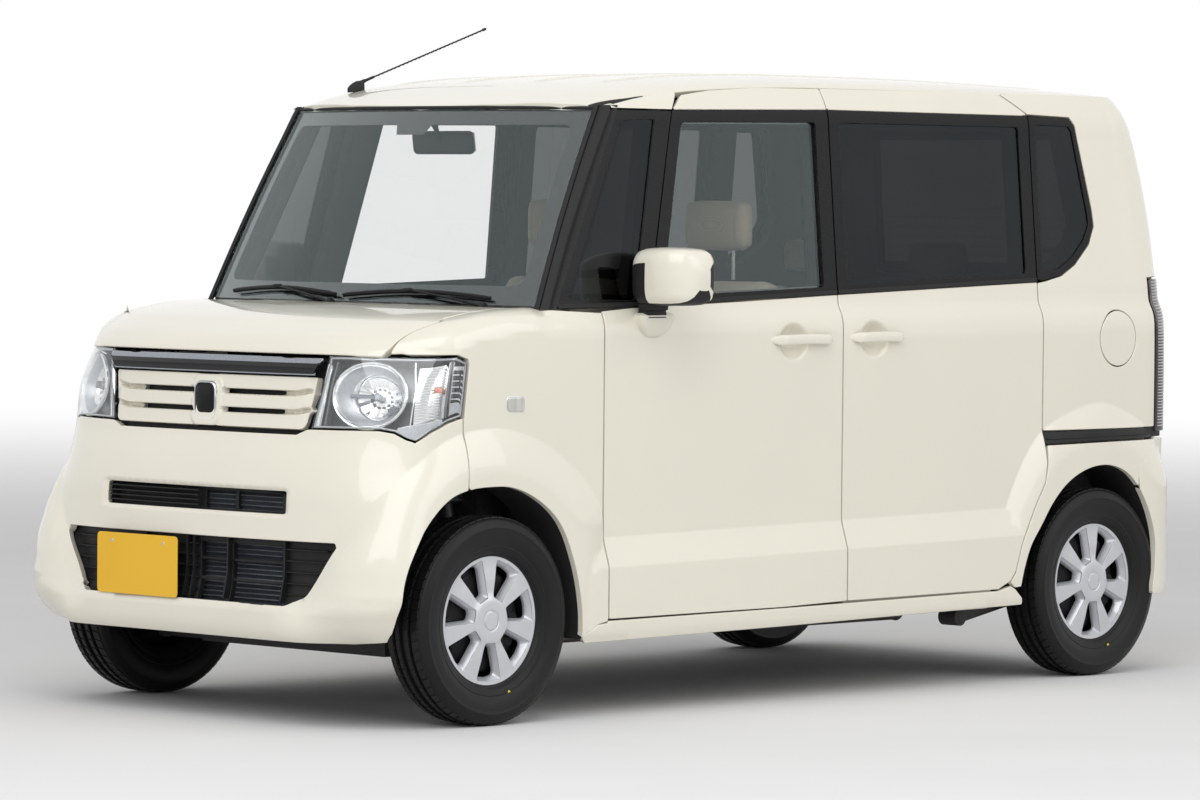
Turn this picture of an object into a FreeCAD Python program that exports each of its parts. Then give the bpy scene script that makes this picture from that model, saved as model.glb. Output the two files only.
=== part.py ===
import FreeCAD, Part
import math
import os
import Sketcher
from FreeCAD import Placement, Rotation, Vector

# A box-shaped kei car: two hinged front doors, two sliding rear doors, a bonnet and a tailgate.
# Frame: X across the car (+X is its left side), the nose points along -Y, +Z up.
# The origin is on the ground, midway along and across the car. All sizes are millimetres.

doc = FreeCAD.newDocument("kei_car")
sheet = doc.addObject("Spreadsheet::Sheet", "Sizes")

# ---------------------------------------------------------------------------------------------
# Driving dimensions: alias, millimetres (or degrees), meaning
# ---------------------------------------------------------------------------------------------
SIZES = [
    ("body_width", 1475, "over the wheel arches, without mirrors"),
    ("body_height", 1770, "to the crown of the roof"),
    ("wheelbase", 2520, "front axle to rear axle"),
    ("front_overhang", 480, "nose to front axle"),
    ("rear_overhang", 395, "rear axle to tail"),
    ("track", 1305, "between the tyres' middle planes"),
    ("tyre_diameter", 562, "outside diameter, 145/80 on a 13 inch rim"),
    ("tyre_width", 145, "section width"),
    ("rim_radius", 165, "bead seat radius"),
    ("panel_gap", 6, "shut line round each moving panel"),
    ("fit_gap", 0.3, "clearance between pieces that seat on each other"),
    ("skin_inset", 25.5, "door skin inboard of the widest line"),
    ("belt_inset", 22, "side glass line inboard of the door skin at the belt"),
    ("cant_inset", 72, "side glass line inboard of the door skin at the window top"),
    ("door_thickness", 70, "door below the belt"),
    ("sash_thickness", 38, "door frame above the belt"),
    ("frame_depth", 42, "side frame inboard of the doors"),
    ("flange_width", 45, "side frame seen inside each door opening"),
    ("sill_bottom", 202, "height of the sill's lower edge"),
    ("sill_top", 261, "height of the sill's upper edge"),
    ("crease_low", 404, "height where the lower side is widest"),
    ("crease_high", 492, "height where the lower side steps in"),
    ("shoulder", 1075, "height where the door skin starts to lean in"),
    ("belt_height", 1113, "height of the belt line at the nose end"),
    ("belt_rise", 50, "how much higher the rear quarter window starts"),
    ("window_top_drop", 105, "window top below the roof's crown"),
    ("door_top_drop", 48, "top of the doors below the roof's crown"),
    ("roof_thickness", 40, "roof panel with its lining"),
    ("roof_edge_drop", 22, "roof edge below its crown"),
    ("roof_half", 590, "half the width of the roof panel"),
    ("front_arch", 358, "radius of the front wheel arch"),
    ("rear_arch", 355, "radius of the rear wheel arch"),
    ("door_front", 417.5, "front axle to the front door's leading edge"),
    ("door_sash_front", 613, "front axle to the foot of the door's window frame"),
    ("front_door_length", 962, "front door's length at the belt"),
    ("slide_door_end", 254, "sliding door's rear edge ahead of the rear axle"),
    ("slide_door_curve", 395, "sliding door's cut-out round the rear wheel"),
    ("floor_top", 255, "height of the cabin floor"),
    ("floor_thickness", 38, "floor pan with its members"),
    ("luggage_floor", 480, "height of the luggage floor"),
    ("luggage_reach", 395, "rear axle to the luggage floor's front edge"),
    ("firewall", 217.5, "front axle to the firewall's front face"),
    ("screen_base", 209.5, "front axle to the windscreen's lower corners"),
    ("screen_slope", 0.546, "how far the windscreen leans back for each unit of height"),
    ("screen_bow", 110, "how far the windscreen bows forward in the middle"),
    ("screen_half", 655, "half the windscreen's width at its base"),
    ("screen_top_drop", 110, "windscreen's upper edge below the roof's crown"),
    ("roof_turn", 219, "windscreen's upper edge to the roof's first turn"),
    ("roof_fore", 619, "windscreen's upper edge to the roof's second turn"),
    ("roof_crest", 969, "windscreen's upper edge to the roof's highest line"),
    ("pillar_lead", 178, "windscreen's upper edge back from the pillar's cut"),
    ("antenna_setback", 202, "windscreen's upper edge to the antenna's foot"),
    ("glass_thickness", 6, "all glass"),
    ("hood_edge", 985, "height of the bonnet's leading edge"),
    ("hood_half_front", 575, "half the bonnet's width at its leading edge"),
    ("hood_half_rear", 640, "half the bonnet's width at its rear edge"),
    ("hood_setback", 45, "bonnet's rear edge ahead of the windscreen"),
    ("fender_thickness", 6, "front fender"),
    ("bumper_thickness", 25, "front and rear bumper covers"),
    ("bumper_low", 228, "height of the bumpers' lower edges"),
    ("front_bumper_top", 772, "height of the front bumper's upper edge"),
    ("bumper_seam", 112.5, "front axle to the seam of bumper and fender"),
    ("lamp_outer", 82, "front axle to the headlamp's rear end"),
    ("grille_top_half", 440, "half the grille's width at the top"),
    ("grille_low_half", 360, "half the grille's width at the bottom"),
    ("intake_top_half", 543, "half the lower opening's width at the top"),
    ("intake_low_half", 385, "half the lower opening's width at the bottom"),
    ("intake_top", 490, "height of the lower opening's upper edge"),
    ("intake_low", 318, "height of the lower opening's lower edge"),
    ("slot_half", 360, "half the upper slot's width"),
    ("slot_low", 563, "height of the upper slot's lower edge"),
    ("slot_top", 625, "height of the upper slot's upper edge"),
    ("plate_width", 330, "number plate"),
    ("plate_height", 165, "number plate"),
    ("tailgate_half", 585, "half the tailgate's width"),
    ("tailgate_low", 481, "height of the tailgate's lower edge"),
    ("tailgate_front", 180, "rear axle to the tailgate's seam on the roof"),
    ("tailgate_thickness", 45, "tailgate"),
    ("tail_lamp_low", 782, "height of the tail lamp's lower end"),
    ("tail_lamp_top", 1185, "height of the tail lamp's upper end"),
    ("tail_lamp_front", 293, "rear axle to the tail lamp's front edge"),
    ("lid_radius", 86, "fuel lid"),
    ("lid_height", 1005, "height of the fuel lid's centre"),
    ("lid_place", 96, "rear axle to the fuel lid's centre"),
    ("kingpin_low_x", 600, "lower ball joint, across"),
    ("kingpin_top_x", 480, "strut top, across"),
    ("kingpin_drop", 86, "lower ball joint below the axle"),
    ("kingpin_top", 830, "strut top, height"),
    ("spindle_radius", 22, "wheel spindles"),
    ("seat_width", 480, "front seat"),
    ("seat_inset", 32, "front seat from the side frame"),
    ("steering_wheel_radius", 180, "to the middle of the rim"),
    ("hinge_reach", 42, "door hinge axis ahead of the door's edge"),
    ("hinge_depth", 16, "door hinge axis inboard of the door skin at the upper hinge"),
    ("hinge_lean", 0.042, "how far the door hinge line leans out for each unit of drop"),
    ("hinge_low", 375, "height of the lower door hinge"),
    ("hinge_high", 930, "height of the upper door hinge"),
]
for row, (alias, value, note) in enumerate(SIZES, start=1):
    sheet.set(f"A{row}", alias)
    sheet.set(f"B{row}", str(value))
    sheet.set(f"C{row}", note)
    sheet.setAlias(f"B{row}", alias)
doc.recompute()


class Dim:
    """A size that knows both its value and the spreadsheet expression that gives it."""

    def __init__(self, value, text):
        self.value = float(value)
        self.text = text

    @staticmethod
    def of(other):
        return other if isinstance(other, Dim) else Dim(other, repr(other))

    def combine(self, other, sign, value):
        return Dim(value, f"({self.text} {sign} {Dim.of(other).text})")

    def __add__(self, other):
        return self.combine(other, "+", self.value + float(other))

    def __radd__(self, other):
        return Dim.of(other) + self

    def __sub__(self, other):
        return self.combine(other, "-", self.value - float(other))

    def __rsub__(self, other):
        return Dim.of(other) - self

    def __mul__(self, other):
        return self.combine(other, "*", self.value * float(other))

    def __rmul__(self, other):
        return Dim.of(other) * self

    def __truediv__(self, other):
        return self.combine(other, "/", self.value / float(other))

    def __neg__(self):
        return Dim(-self.value, f"(0 - {self.text})")

    def __float__(self):
        return self.value


class Numbers:
    """The sheet's cells as plain numbers, for shapes that part.py works out itself."""

    def __getattr__(self, alias):
        return float(getattr(sheet, alias))


class Cells:
    """The sheet's cells as Dims, for sizes that stay bound to the sheet."""

    def __getattr__(self, alias):
        return Dim(getattr(sheet, alias), f"Sizes.{alias}")


mm = Numbers()
cell = Cells()

# Places that follow from the driving dimensions
nose = -(mm.front_overhang + mm.wheelbase + mm.rear_overhang) / 2
tail = -nose
front_axle = nose + mm.front_overhang
rear_axle = front_axle + mm.wheelbase
half_width = mm.body_width / 2
skin = half_width - mm.skin_inset
luggage_y = rear_axle - mm.luggage_reach
axle_height = mm.tyre_diameter / 2
kingpin_low = axle_height - mm.kingpin_drop
clear_top = mm.body_height + 100
screen_foot = front_axle + mm.screen_base - mm.screen_bow
screen_head = mm.body_height - mm.screen_top_drop
screen_top_y = screen_foot + (screen_head - mm.belt_height) * mm.screen_slope
pillar_cut = screen_top_y - mm.pillar_lead
window_top = mm.body_height - mm.window_top_drop
roof_edge = mm.body_height - mm.roof_edge_drop
door_top = mm.body_height - mm.door_top_drop
nose_cell = (cell.front_overhang + cell.wheelbase + cell.rear_overhang) / -2
front_axle_cell = nose_cell + cell.front_overhang
rear_axle_cell = front_axle_cell + cell.wheelbase
axle_height_cell = cell.tyre_diameter / 2

subparts = []


def publish(item, label):
    """Keeps an object of the document as the sub-part of that name."""
    item.Label = label
    subparts.append(item)
    return item


def publish_shape(shape, label):
    """Keeps a computed shape as the sub-part of that name."""
    item = doc.addObject("Part::Feature", label)
    item.Shape = shape
    item.Placement = Placement()
    return publish(item, label)


# ---------------------------------------------------------------------------------------------
# Shapes worked out with Part's own functions
# ---------------------------------------------------------------------------------------------
PLACE = {
    "x": lambda along, u, v: Vector(along, u, v),
    "y": lambda along, u, v: Vector(u, along, v),
    "z": lambda along, u, v: Vector(u, v, along),
}


def corner_arc(before, corner, after, radius):
    """The two tangent points and the middle of the arc that rounds a corner."""
    one = (before - corner).normalize()
    two = (after - corner).normalize()
    half = one.getAngle(two) / 2
    bisector = (one + two).normalize()
    centre = corner + bisector * (radius / math.sin(half))
    run = radius / math.tan(half)
    return corner + one * run, centre - bisector * radius, corner + two * run


def outline(axis, corners, along):
    """A closed wire through (u, v[, radius]) corners, in the plane across an axis."""
    points = [PLACE[axis](along, c[0], c[1]) for c in corners]
    edges, ends = [], []
    for i, corner in enumerate(corners):
        if len(corner) > 2 and corner[2] > 0:
            after = points[(i + 1) % len(points)]
            start, middle, end = corner_arc(points[i - 1], points[i], after, corner[2])
            edges.append(Part.Arc(start, middle, end).toShape())
            ends.append((start, end))
        else:
            ends.append((points[i], points[i]))
    for i, (_, leaving) in enumerate(ends):
        arriving = ends[(i + 1) % len(ends)][0]
        if leaving.distanceToPoint(arriving) > 1e-6:
            edges.append(Part.makeLine(leaving, arriving))
    return Part.Wire(Part.__sortEdges__(edges))


def prism(axis, corners, low, high):
    """The outline's face pushed along its axis from low to high."""
    return Part.Face(outline(axis, corners, low)).extrude(PLACE[axis](high - low, 0, 0))


def block(low, high):
    """A box between two opposite corners, given in any order."""
    near = [min(pair) for pair in zip(low, high)]
    far = [max(pair) for pair in zip(low, high)]
    return Part.makeBox(far[0] - near[0], far[1] - near[1], far[2] - near[2], Vector(*near))


def across(radius, y, z, low, high):
    """A cylinder whose axis runs across the car, from x = low to x = high."""
    return Part.makeCylinder(radius, high - low, Vector(low, y, z), Vector(1, 0, 0))


def rod(radius, start, end):
    """A round bar between two points."""
    return Part.makeCylinder(radius, (end - start).Length, start, end - start)


def mirrored(shape):
    """The same shape on the car's right side."""
    return shape.mirror(Vector(0, 0, 0), Vector(1, 0, 0))


def both_sides(shape):
    """A left piece and its mirror image, as separate solids."""
    return Part.makeCompound([shape, mirrored(shape)])


def fuse(*shapes):
    """One solid from pieces that meet."""
    return shapes[0].multiFuse(list(shapes[1:])).removeSplitter()


def cut(shape, *tools):
    """What is left of a shape after several cuts."""
    for tool in tools:
        shape = shape.cut(tool)
    return shape


# The body's cross-section, from the sill up.
# Columns: height, door skin, door lining, outer face of the side frame, its inner face
lining = skin - mm.door_thickness
face = lining - mm.panel_gap
inside = face - mm.frame_depth
SIDE_ROWS = [
    (mm.sill_bottom, half_width - 12, lining, face, inside),
    (mm.sill_bottom + 33, half_width, lining, face, inside),
    (mm.crease_low, half_width, lining, face, inside),
    (mm.crease_high, skin, lining, face, inside),
    (mm.shoulder, skin, lining, face, inside),
]
for height, inset in (
    (mm.belt_height, mm.belt_inset),
    (window_top, mm.cant_inset),
    (roof_edge, skin - mm.roof_half),
):
    sash = skin - inset - mm.sash_thickness
    frame_face = sash - mm.panel_gap
    SIDE_ROWS.append((height, skin - inset, sash, frame_face, frame_face - mm.frame_depth))
SKIN, LINING, FACE, INSIDE = 1, 2, 3, 4


def side_band(outer, inner, region, outer_in=0, inner_in=0):
    """The left side wall between two columns of the cross-section, inside a (y, z) outline."""
    up = [(row[outer] - outer_in, row[0]) for row in SIDE_ROWS]
    down = [(row[inner] - inner_in, row[0]) for row in reversed(SIDE_ROWS)]
    ys = [corner[0] for corner in region]
    return prism("y", up + down, min(ys), max(ys)).common(prism("x", region, 0, half_width + 10))


def screen_slab(front, back, low, high, lean=mm.screen_slope):
    """A slab that bows as the windscreen does, between two offsets along Y from its face."""
    half = half_width
    base = front_axle + mm.screen_base + (low - mm.belt_height) * lean - mm.screen_bow
    radius = (mm.screen_half**2 + mm.screen_bow**2) / (2 * mm.screen_bow)
    drop = radius - math.sqrt(radius**2 - half**2)
    edges = []
    for offset in (front, back):
        ends = base + drop + offset
        bow = Part.Arc(Vector(half, ends, low), Vector(0, base + offset, low), Vector(-half, ends, low))
        edges.append(bow.toShape())
    for x in (-half, half):
        start = Vector(x, base + drop + front, low)
        edges.append(Part.makeLine(start, Vector(x, base + drop + back, low)))
    sheet_face = Part.Face(Part.Wire(Part.__sortEdges__(edges)))
    return sheet_face.extrude(Vector(0, (high - low) * lean, high - low))


def side_x(column, height):
    """Where a column of the cross-section is at one height."""
    for low, high in zip(SIDE_ROWS, SIDE_ROWS[1:]):
        if low[0] <= height <= high[0]:
            share = (height - low[0]) / (high[0] - low[0])
            return low[column] + (high[column] - low[column]) * share
    raise ValueError(height)


def body_block(inset):
    """The body's outside taken in by an inset: its side view, its plan and its cross-section."""
    profile = [
        (nose + 55 + inset, mm.bumper_low - 26 + inset),
        (nose + 14 + inset, mm.bumper_low + 12 + inset),
        (nose + inset, mm.bumper_low + 34 + inset),
        (nose + inset, mm.intake_low - 8),
        (nose + 20 + inset, mm.intake_low + 12),
        (nose + 28 + inset, mm.intake_top),
        (nose + 32 + inset, mm.slot_low),
        (nose + 36 + inset, mm.slot_top),
        (nose + 80 + inset, mm.front_bumper_top),
        (nose + 104 + inset, mm.hood_edge - 8),
        (nose + 112 + inset, mm.hood_edge + 22 - inset, 12),
        (nose + 190 + inset, mm.hood_edge + 58 - inset, 60),
        (screen_foot - 10, mm.belt_height - 8 - inset),
        (screen_top_y + inset, screen_head - inset),
        (screen_top_y + mm.roof_turn, mm.body_height - 45 - inset, 300),
        (screen_top_y + mm.roof_fore, mm.body_height - 8 - inset, 900),
        (screen_top_y + mm.roof_crest, mm.body_height - inset),
        (rear_axle - 602, mm.body_height - 2 - inset),
        (rear_axle + mm.tailgate_front, mm.body_height - 22 - inset),
        (tail - 165 - inset, mm.body_height - 46 - inset, 20),
        (tail - 137 - inset, mm.body_height - 80 - inset),
        (tail - 57 - inset, mm.body_height - 334),
        (tail - 25 - inset, mm.tail_lamp_top + 8),
        (tail - 15 - inset, 720),
        (tail - inset, 640),
        (tail - inset, 330),
        (tail - 27 - inset, mm.bumper_low - 26 + inset),
    ]
    left_plan = [
        (200, nose + inset),
        (380, nose + 14 + inset),
        (543, nose + 45 + inset),
        (690 - inset, nose + 85 + inset, 30),
        (half_width - inset, nose + 150 + inset, 60),
        (half_width - inset, tail - 70 - inset, 55),
        (half_width - 75 - inset, tail - inset, 30),
    ]
    plan = left_plan + [(-c[0],) + tuple(c[1:]) for c in reversed(left_plan)]
    left_section = [(row[SKIN] - inset, row[0]) for row in SIDE_ROWS[:-1]]
    left_section.append((mm.roof_half - inset, roof_edge - inset))
    left_section.append((380, mm.body_height - inset))
    section = left_section + [(-x, z) for x, z in reversed(left_section)]
    side_view = prism("x", profile, -half_width - 10, half_width + 10)
    top_view = prism("z", plan, 0, mm.body_height + 10)
    whole = side_view.common(top_view).common(prism("y", section, nose - 10, tail + 10))
    return whole.cut(screen_slab(-700, inset, mm.belt_height - 8 - inset, mm.body_height + 10))


# Side outlines, as (y, z) corners. A margin takes each one in.
door_edge = front_axle + mm.door_front
sash_foot = front_axle + mm.door_sash_front
middle_shut = door_edge + mm.front_door_length + mm.panel_gap
slide_front = middle_shut + mm.panel_gap
slide_rear = rear_axle - mm.slide_door_end
sash_lean = 0.25
belt_rear = mm.belt_height + mm.belt_rise


def front_door_outline(margin):
    """The front door: upright edges, a window frame that leans back with the pillar."""
    foot = sash_foot + margin
    low = mm.belt_height - 4 - margin
    shoulder_y = foot + sash_lean * (window_top - low)
    return [
        (door_edge + margin, mm.sill_top + mm.panel_gap + margin),
        (door_edge + margin, mm.belt_height - 4 - margin, 12),
        (foot, low),
        (shoulder_y, window_top - 20 - margin, 20),
        (shoulder_y + 65, door_top - 18 - margin, 60),
        (shoulder_y + 385, door_top - margin),
        (middle_shut - mm.panel_gap - margin, door_top - margin),
        (middle_shut - mm.panel_gap - margin, mm.sill_top + mm.panel_gap + margin),
    ]


def slide_door_outline(margin):
    """The sliding door, before the curve round the rear wheel is cut from it."""
    return [
        (slide_front - mm.panel_gap + margin, mm.sill_top + mm.panel_gap + margin),
        (slide_front - mm.panel_gap + margin, door_top - margin),
        (slide_rear - 128 - margin, door_top - margin, 30),
        (slide_rear - margin, window_top - margin, 20),
        (slide_rear - margin, mm.sill_top + mm.panel_gap + margin),
    ]


def front_window_outline(margin):
    """The glass of the front door."""
    foot = sash_foot + 44 + margin
    low = mm.belt_height + 22 + margin
    high = window_top - 32 - margin
    rear = middle_shut - mm.panel_gap - 46 - margin
    return [
        (foot, low, 10),
        (foot + sash_lean * (high - low), high, 25),
        (rear, high, 12),
        (rear, low + 24, 12),
    ]


def slide_window_outline(margin):
    """The glass of the sliding door."""
    front = slide_front + 40 + margin
    rear = slide_rear - 46 - margin
    low = mm.belt_height + 48 + margin
    high = window_top - 32 - margin
    return [(front, low, 12), (front, high, 12), (rear, high, 12), (rear, low + 26, 12)]


def rear_window_outline(margin):
    """The glass beside the luggage space, cut back at its lower rear corner."""
    front = slide_rear + 52 + margin
    return [
        (front, belt_rear + 22 + margin, 12),
        (front, window_top - 24 - margin, 12),
        (rear_axle - 66 - margin, window_top - 24 - margin, 25),
        (rear_axle + 14 - margin, mm.belt_height + 250, 20),
        (rear_axle - 128 - margin, belt_rear + 28 + margin, 20),
    ]


def front_quarter_outline(margin):
    """The small glass between the windscreen pillar and the front door."""
    foot = sash_foot - 20 - margin
    low = mm.belt_height + 18 + margin
    high = window_top - 40 - margin
    top_y = foot + sash_lean * (high - low)
    return [
        (foot - 150 + 2 * margin, low, 8),
        (top_y - 52 + 2 * margin, high, 12),
        (top_y, high, 8),
        (foot, low, 8),
    ]


# Each roof corner is (y, z): the roof's lower edge follows the tops of the doors.
ROOF_REGION = [
    (pillar_cut, window_top - 6),
    (sash_foot + 120, window_top - 6),
    (sash_foot + 205, door_top - 8),
    (sash_foot + 512, door_top + mm.panel_gap),
    (slide_rear - 122, door_top + mm.panel_gap),
    (slide_rear + 8, window_top + 2),
    (rear_axle + mm.tailgate_front, window_top + 2),
    (rear_axle + mm.tailgate_front, mm.body_height + 20),
    (pillar_cut, mm.body_height + 20),
]
BUMPER_REGION = [
    (nose - 10, 150),
    (nose - 10, mm.front_bumper_top),
    (front_axle - 262, mm.front_bumper_top),
    (front_axle - mm.bumper_seam - 55, mm.front_bumper_top - 66),
    (front_axle - mm.bumper_seam, mm.front_bumper_top - 160),
    (front_axle - mm.bumper_seam, 150),
]
REAR_BUMPER_REGION = [
    (tail + 10, 150),
    (tail + 10, 708),
    (tail - 56, 708),
    (tail - 130, 694),
    (tail - 226, 618),
    (tail - 226, 150),
]
front_house = across(mm.front_arch, front_axle, axle_height, -half_width - 20, half_width + 20)
rear_house = across(mm.rear_arch, rear_axle, axle_height, 540, half_width + 20).common(
    block((0, nose, 0), (half_width + 20, rear_axle + 290, mm.body_height))
)
outside = body_block(0)


def walls(thickness):
    """The body's outer walls at one thickness, open below."""
    hollow = fuse(body_block(thickness), body_block(thickness).translated(Vector(0, 0, -100)))
    return outside.cut(hollow)


# ---------------------------------------------------------------------------------------------
# Doors, their windows and mirrors
# ---------------------------------------------------------------------------------------------
hinge_y = door_edge - mm.hinge_reach
HINGE_HEIGHTS = (mm.hinge_low, mm.hinge_high)
barrel_radius = 8
pin_radius = 4
barrel_half = 20
lug_length = 12
hem = 4
hem_depth = 14


def hinge_point(height):
    """A point of the door's hinge line, which leans out towards the sill."""
    return Vector(skin - mm.hinge_depth + mm.hinge_lean * (mm.hinge_high - height), hinge_y, height)


def hinge_arm(height):
    """The door's half of a hinge: a cranked arm that ends in a barrel round the pin."""
    x = hinge_point(height).x
    arm = [
        (x - 5, hinge_y - 5),
        (x + 4, hinge_y + 5),
        (x - 33, hinge_y + 13),
        (x - 33, door_edge + hem_depth + 4),
        (x - 46, door_edge + hem_depth + 4),
        (x - 46, hinge_y + 4),
    ]
    crank = prism("z", arm, height - barrel_half + 5, height + barrel_half - 5)
    ends = hinge_point(height - barrel_half), hinge_point(height + barrel_half)
    return crank.fuse(rod(barrel_radius, *ends)).cut(rod(pin_radius + mm.fit_gap, *ends))


def hinge_bracket(height):
    """The body's half of a hinge: a pin between two lugs on the pillar."""
    reach = barrel_half + mm.fit_gap + lug_length
    parts = [rod(pin_radius, hinge_point(height - reach), hinge_point(height + reach))]
    for sign in (-1, 1):
        start = hinge_point(height + sign * (barrel_half + mm.fit_gap))
        end = hinge_point(height + sign * reach)
        parts.append(rod(barrel_radius, start, end))
        near = height + sign * (barrel_half + 3)
        parts.append(block((face - 10, hinge_y - 7, near), (end.x - 2, hinge_y + 7, height + sign * reach)))
    return fuse(*parts)


front_panel = side_band(SKIN, LINING, front_door_outline(0))
hem_region = [
    (door_edge - 5, mm.sill_bottom),
    (door_edge - 5, mm.belt_height),
    (door_edge + hem_depth, mm.belt_height),
    (door_edge + hem_depth, mm.sill_bottom),
]
front_panel = cut(
    front_panel,
    prism("x", front_window_outline(0), 300, half_width + 10),
    side_band(SKIN, INSIDE, hem_region, hem),
)
front_door = fuse(front_panel, *[hinge_arm(height) for height in HINGE_HEIGHTS])
glass_in = (12, 12 + mm.glass_thickness)
front_glass = side_band(SKIN, SKIN, front_window_outline(mm.fit_gap), *glass_in)

# The mirror: a foot on the door skin, a short arm and the housing
mirror_y = door_edge + 62
mirror_z = mm.belt_height + 85
MIRROR_HEAD = [
    (skin + 2, mirror_y - 2, 12),
    (skin + 30, mirror_y - 24, 12),
    (skin + 125, mirror_y - 22, 22),
    (skin + 146, mirror_y + 10, 12),
    (skin + 146, mirror_y + 50, 8),
    (skin + 6, mirror_y + 50, 8),
]
mirror_head = prism("z", MIRROR_HEAD, mirror_z - 78, mirror_z + 78)
mirror_knee = Vector(skin + 18, mirror_y + 70, mirror_z - 122)
mirror_arm = rod(14, mirror_knee, Vector(skin + 55, mirror_y + 25, mirror_z - 70))
mirror_arm = mirror_arm.common(block((skin + mm.fit_gap, nose, 0), (skin + 200, tail, clear_top)))
foot_low = Vector(skin + mm.fit_gap, mirror_y + 10, mirror_z - 165)
mirror_foot = block(foot_low, (skin + 16, mirror_y + 110, mirror_z - 86))
door_mirror = fuse(mirror_head, mirror_arm, mirror_foot)

slide_panel = side_band(SKIN, LINING, slide_door_outline(mm.panel_gap))
slide_door = cut(
    slide_panel,
    across(mm.slide_door_curve, rear_axle, axle_height, 0, half_width + 10),
    prism("x", slide_window_outline(0), 300, half_width + 10),
)
SEALS = ((slide_front + 10, 290), (slide_rear - 60, 700), (slide_front + 10, 1300))
for seal_y, seal_z in SEALS:
    seal_x = face + mm.fit_gap
    if seal_z > mm.belt_height:
        seal_x = side_x(FACE, seal_z) + 1
    slide_door = slide_door.fuse(block((seal_x, seal_y, seal_z), (seal_x + 14, seal_y + 30, seal_z + 40)))
slide_glass = side_band(SKIN, SKIN, slide_window_outline(mm.fit_gap), *glass_in)

publish_shape(front_door, "left_front_door")
publish_shape(mirrored(front_door), "right_front_door")
publish_shape(front_glass, "left_front_window")
publish_shape(mirrored(front_glass), "right_front_window")
publish_shape(door_mirror, "left_mirror")
publish_shape(mirrored(door_mirror), "right_mirror")
publish_shape(both_sides(slide_door), "sliding_doors")
publish_shape(both_sides(slide_glass), "sliding_door_windows")

# ---------------------------------------------------------------------------------------------
# Side frames: sills, pillars, rear quarters, and what is seen inside the door openings
# ---------------------------------------------------------------------------------------------
flange = mm.flange_width
pillar_front = [
    (hinge_y - 22, mm.belt_height - 40),
    (hinge_y - 100, mm.belt_height - 8),
    (hinge_y - 100, mm.belt_height + 30),
    (screen_top_y + 132, window_top + 40),
    (screen_top_y + 322, roof_edge + 20),
]
FRAME_REGION = [
    (hinge_y - 22, mm.sill_bottom),
    *pillar_front,
    (tail + 10, roof_edge + 20),
    (tail + 10, mm.sill_bottom),
]
inner_wall = side_band(FACE, INSIDE, FRAME_REGION)
inner_wall = cut(
    inner_wall,
    prism("x", front_door_outline(flange), 0, half_width),
    cut(
        prism("x", slide_door_outline(flange), 0, half_width),
        across(mm.slide_door_curve + flange, rear_axle, axle_height, 0, half_width),
    ),
)
SILL_REGION = [
    (hinge_y - 22, mm.sill_bottom),
    (hinge_y - 22, mm.sill_top),
    (slide_rear, mm.sill_top),
    (slide_rear, mm.sill_bottom),
]
QUARTER_REGION = [
    (slide_rear + mm.panel_gap, mm.sill_bottom),
    (slide_rear + mm.panel_gap, window_top - 6),
    (slide_rear - 60, door_top - 20),
    (slide_rear - 60, roof_edge + 20),
    (tail + 10, roof_edge + 20),
    (tail + 10, mm.sill_bottom),
]
PILLAR_REGION = [
    (hinge_y - 100, mm.belt_height + 4),
    (sash_foot - mm.panel_gap, mm.belt_height + 4),
    (sash_foot - mm.panel_gap + sash_lean * (window_top - mm.belt_height), window_top - 20),
    (sash_foot + 190, door_top - 12),
    (sash_foot + 190, roof_edge),
    (pillar_cut, roof_edge),
]
outer_sill = side_band(SKIN, INSIDE, SILL_REGION, 0, -1)
quarter = side_band(SKIN, INSIDE, QUARTER_REGION, 0, -1)
pillar = side_band(SKIN, INSIDE, PILLAR_REGION, 0, -1)
frame = fuse(inner_wall, outer_sill, quarter, pillar)
glass_set = 4
screen_back = glass_set + mm.glass_thickness
screen_ahead = screen_slab(-700, screen_back + mm.fit_gap, mm.belt_height - 40, clear_top)
lid_y = rear_axle + mm.lid_place
lid_half_y = mm.lid_radius - 3
lid_half_z = mm.lid_radius + 4
LID_SHELF = 7


def lid_outline(margin):
    """The fuel lid's rounded square."""
    return [
        (lid_y - lid_half_y + margin, mm.lid_height - lid_half_z + margin, 34),
        (lid_y - lid_half_y + margin, mm.lid_height + lid_half_z - margin, 34),
        (lid_y + lid_half_y - margin, mm.lid_height + lid_half_z - margin, 34),
        (lid_y + lid_half_y - margin, mm.lid_height - lid_half_z + margin, 34),
    ]


LAMP_REGION = [
    (rear_axle + mm.tail_lamp_front, mm.tail_lamp_low - 60),
    (rear_axle + mm.tail_lamp_front - 6, mm.tail_lamp_top),
    (tail + 10, mm.tail_lamp_top),
    (tail + 10, mm.tail_lamp_low - 60),
]
tailgate_space = block(
    (0, rear_axle + mm.tailgate_front, mm.tailgate_low - mm.panel_gap),
    (mm.tailgate_half + mm.panel_gap, tail + 10, mm.body_height + 20),
)
lamp_space = prism("x", LAMP_REGION, mm.tailgate_half + mm.panel_gap, half_width + 10)
frame = cut(
    frame.common(outside),
    front_house.common(block((0, nose, 0), (half_width + 20, hinge_y - 30, clear_top))),
    rear_house,
    screen_ahead.common(block((0, nose, mm.belt_height), (half_width, 0, clear_top))),
    prism("x", ROOF_REGION, 0, half_width + 10),
    prism("x", REAR_BUMPER_REGION, 0, half_width + 10),
    prism("x", rear_window_outline(0), 300, half_width + 10),
    prism("x", front_quarter_outline(0), 300, half_width + 10),
    lamp_space,
    tailgate_space,
)
frame = fuse(frame, *[hinge_bracket(height) for height in HINGE_HEIGHTS])
left_frame = cut(
    frame,
    prism("x", lid_outline(0), skin - LID_SHELF, half_width + 10),
    prism("x", lid_outline(14), skin - 60, half_width + 10),
)
publish_shape(left_frame, "left_side_frame")
publish_shape(mirrored(frame), "right_side_frame")
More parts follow.
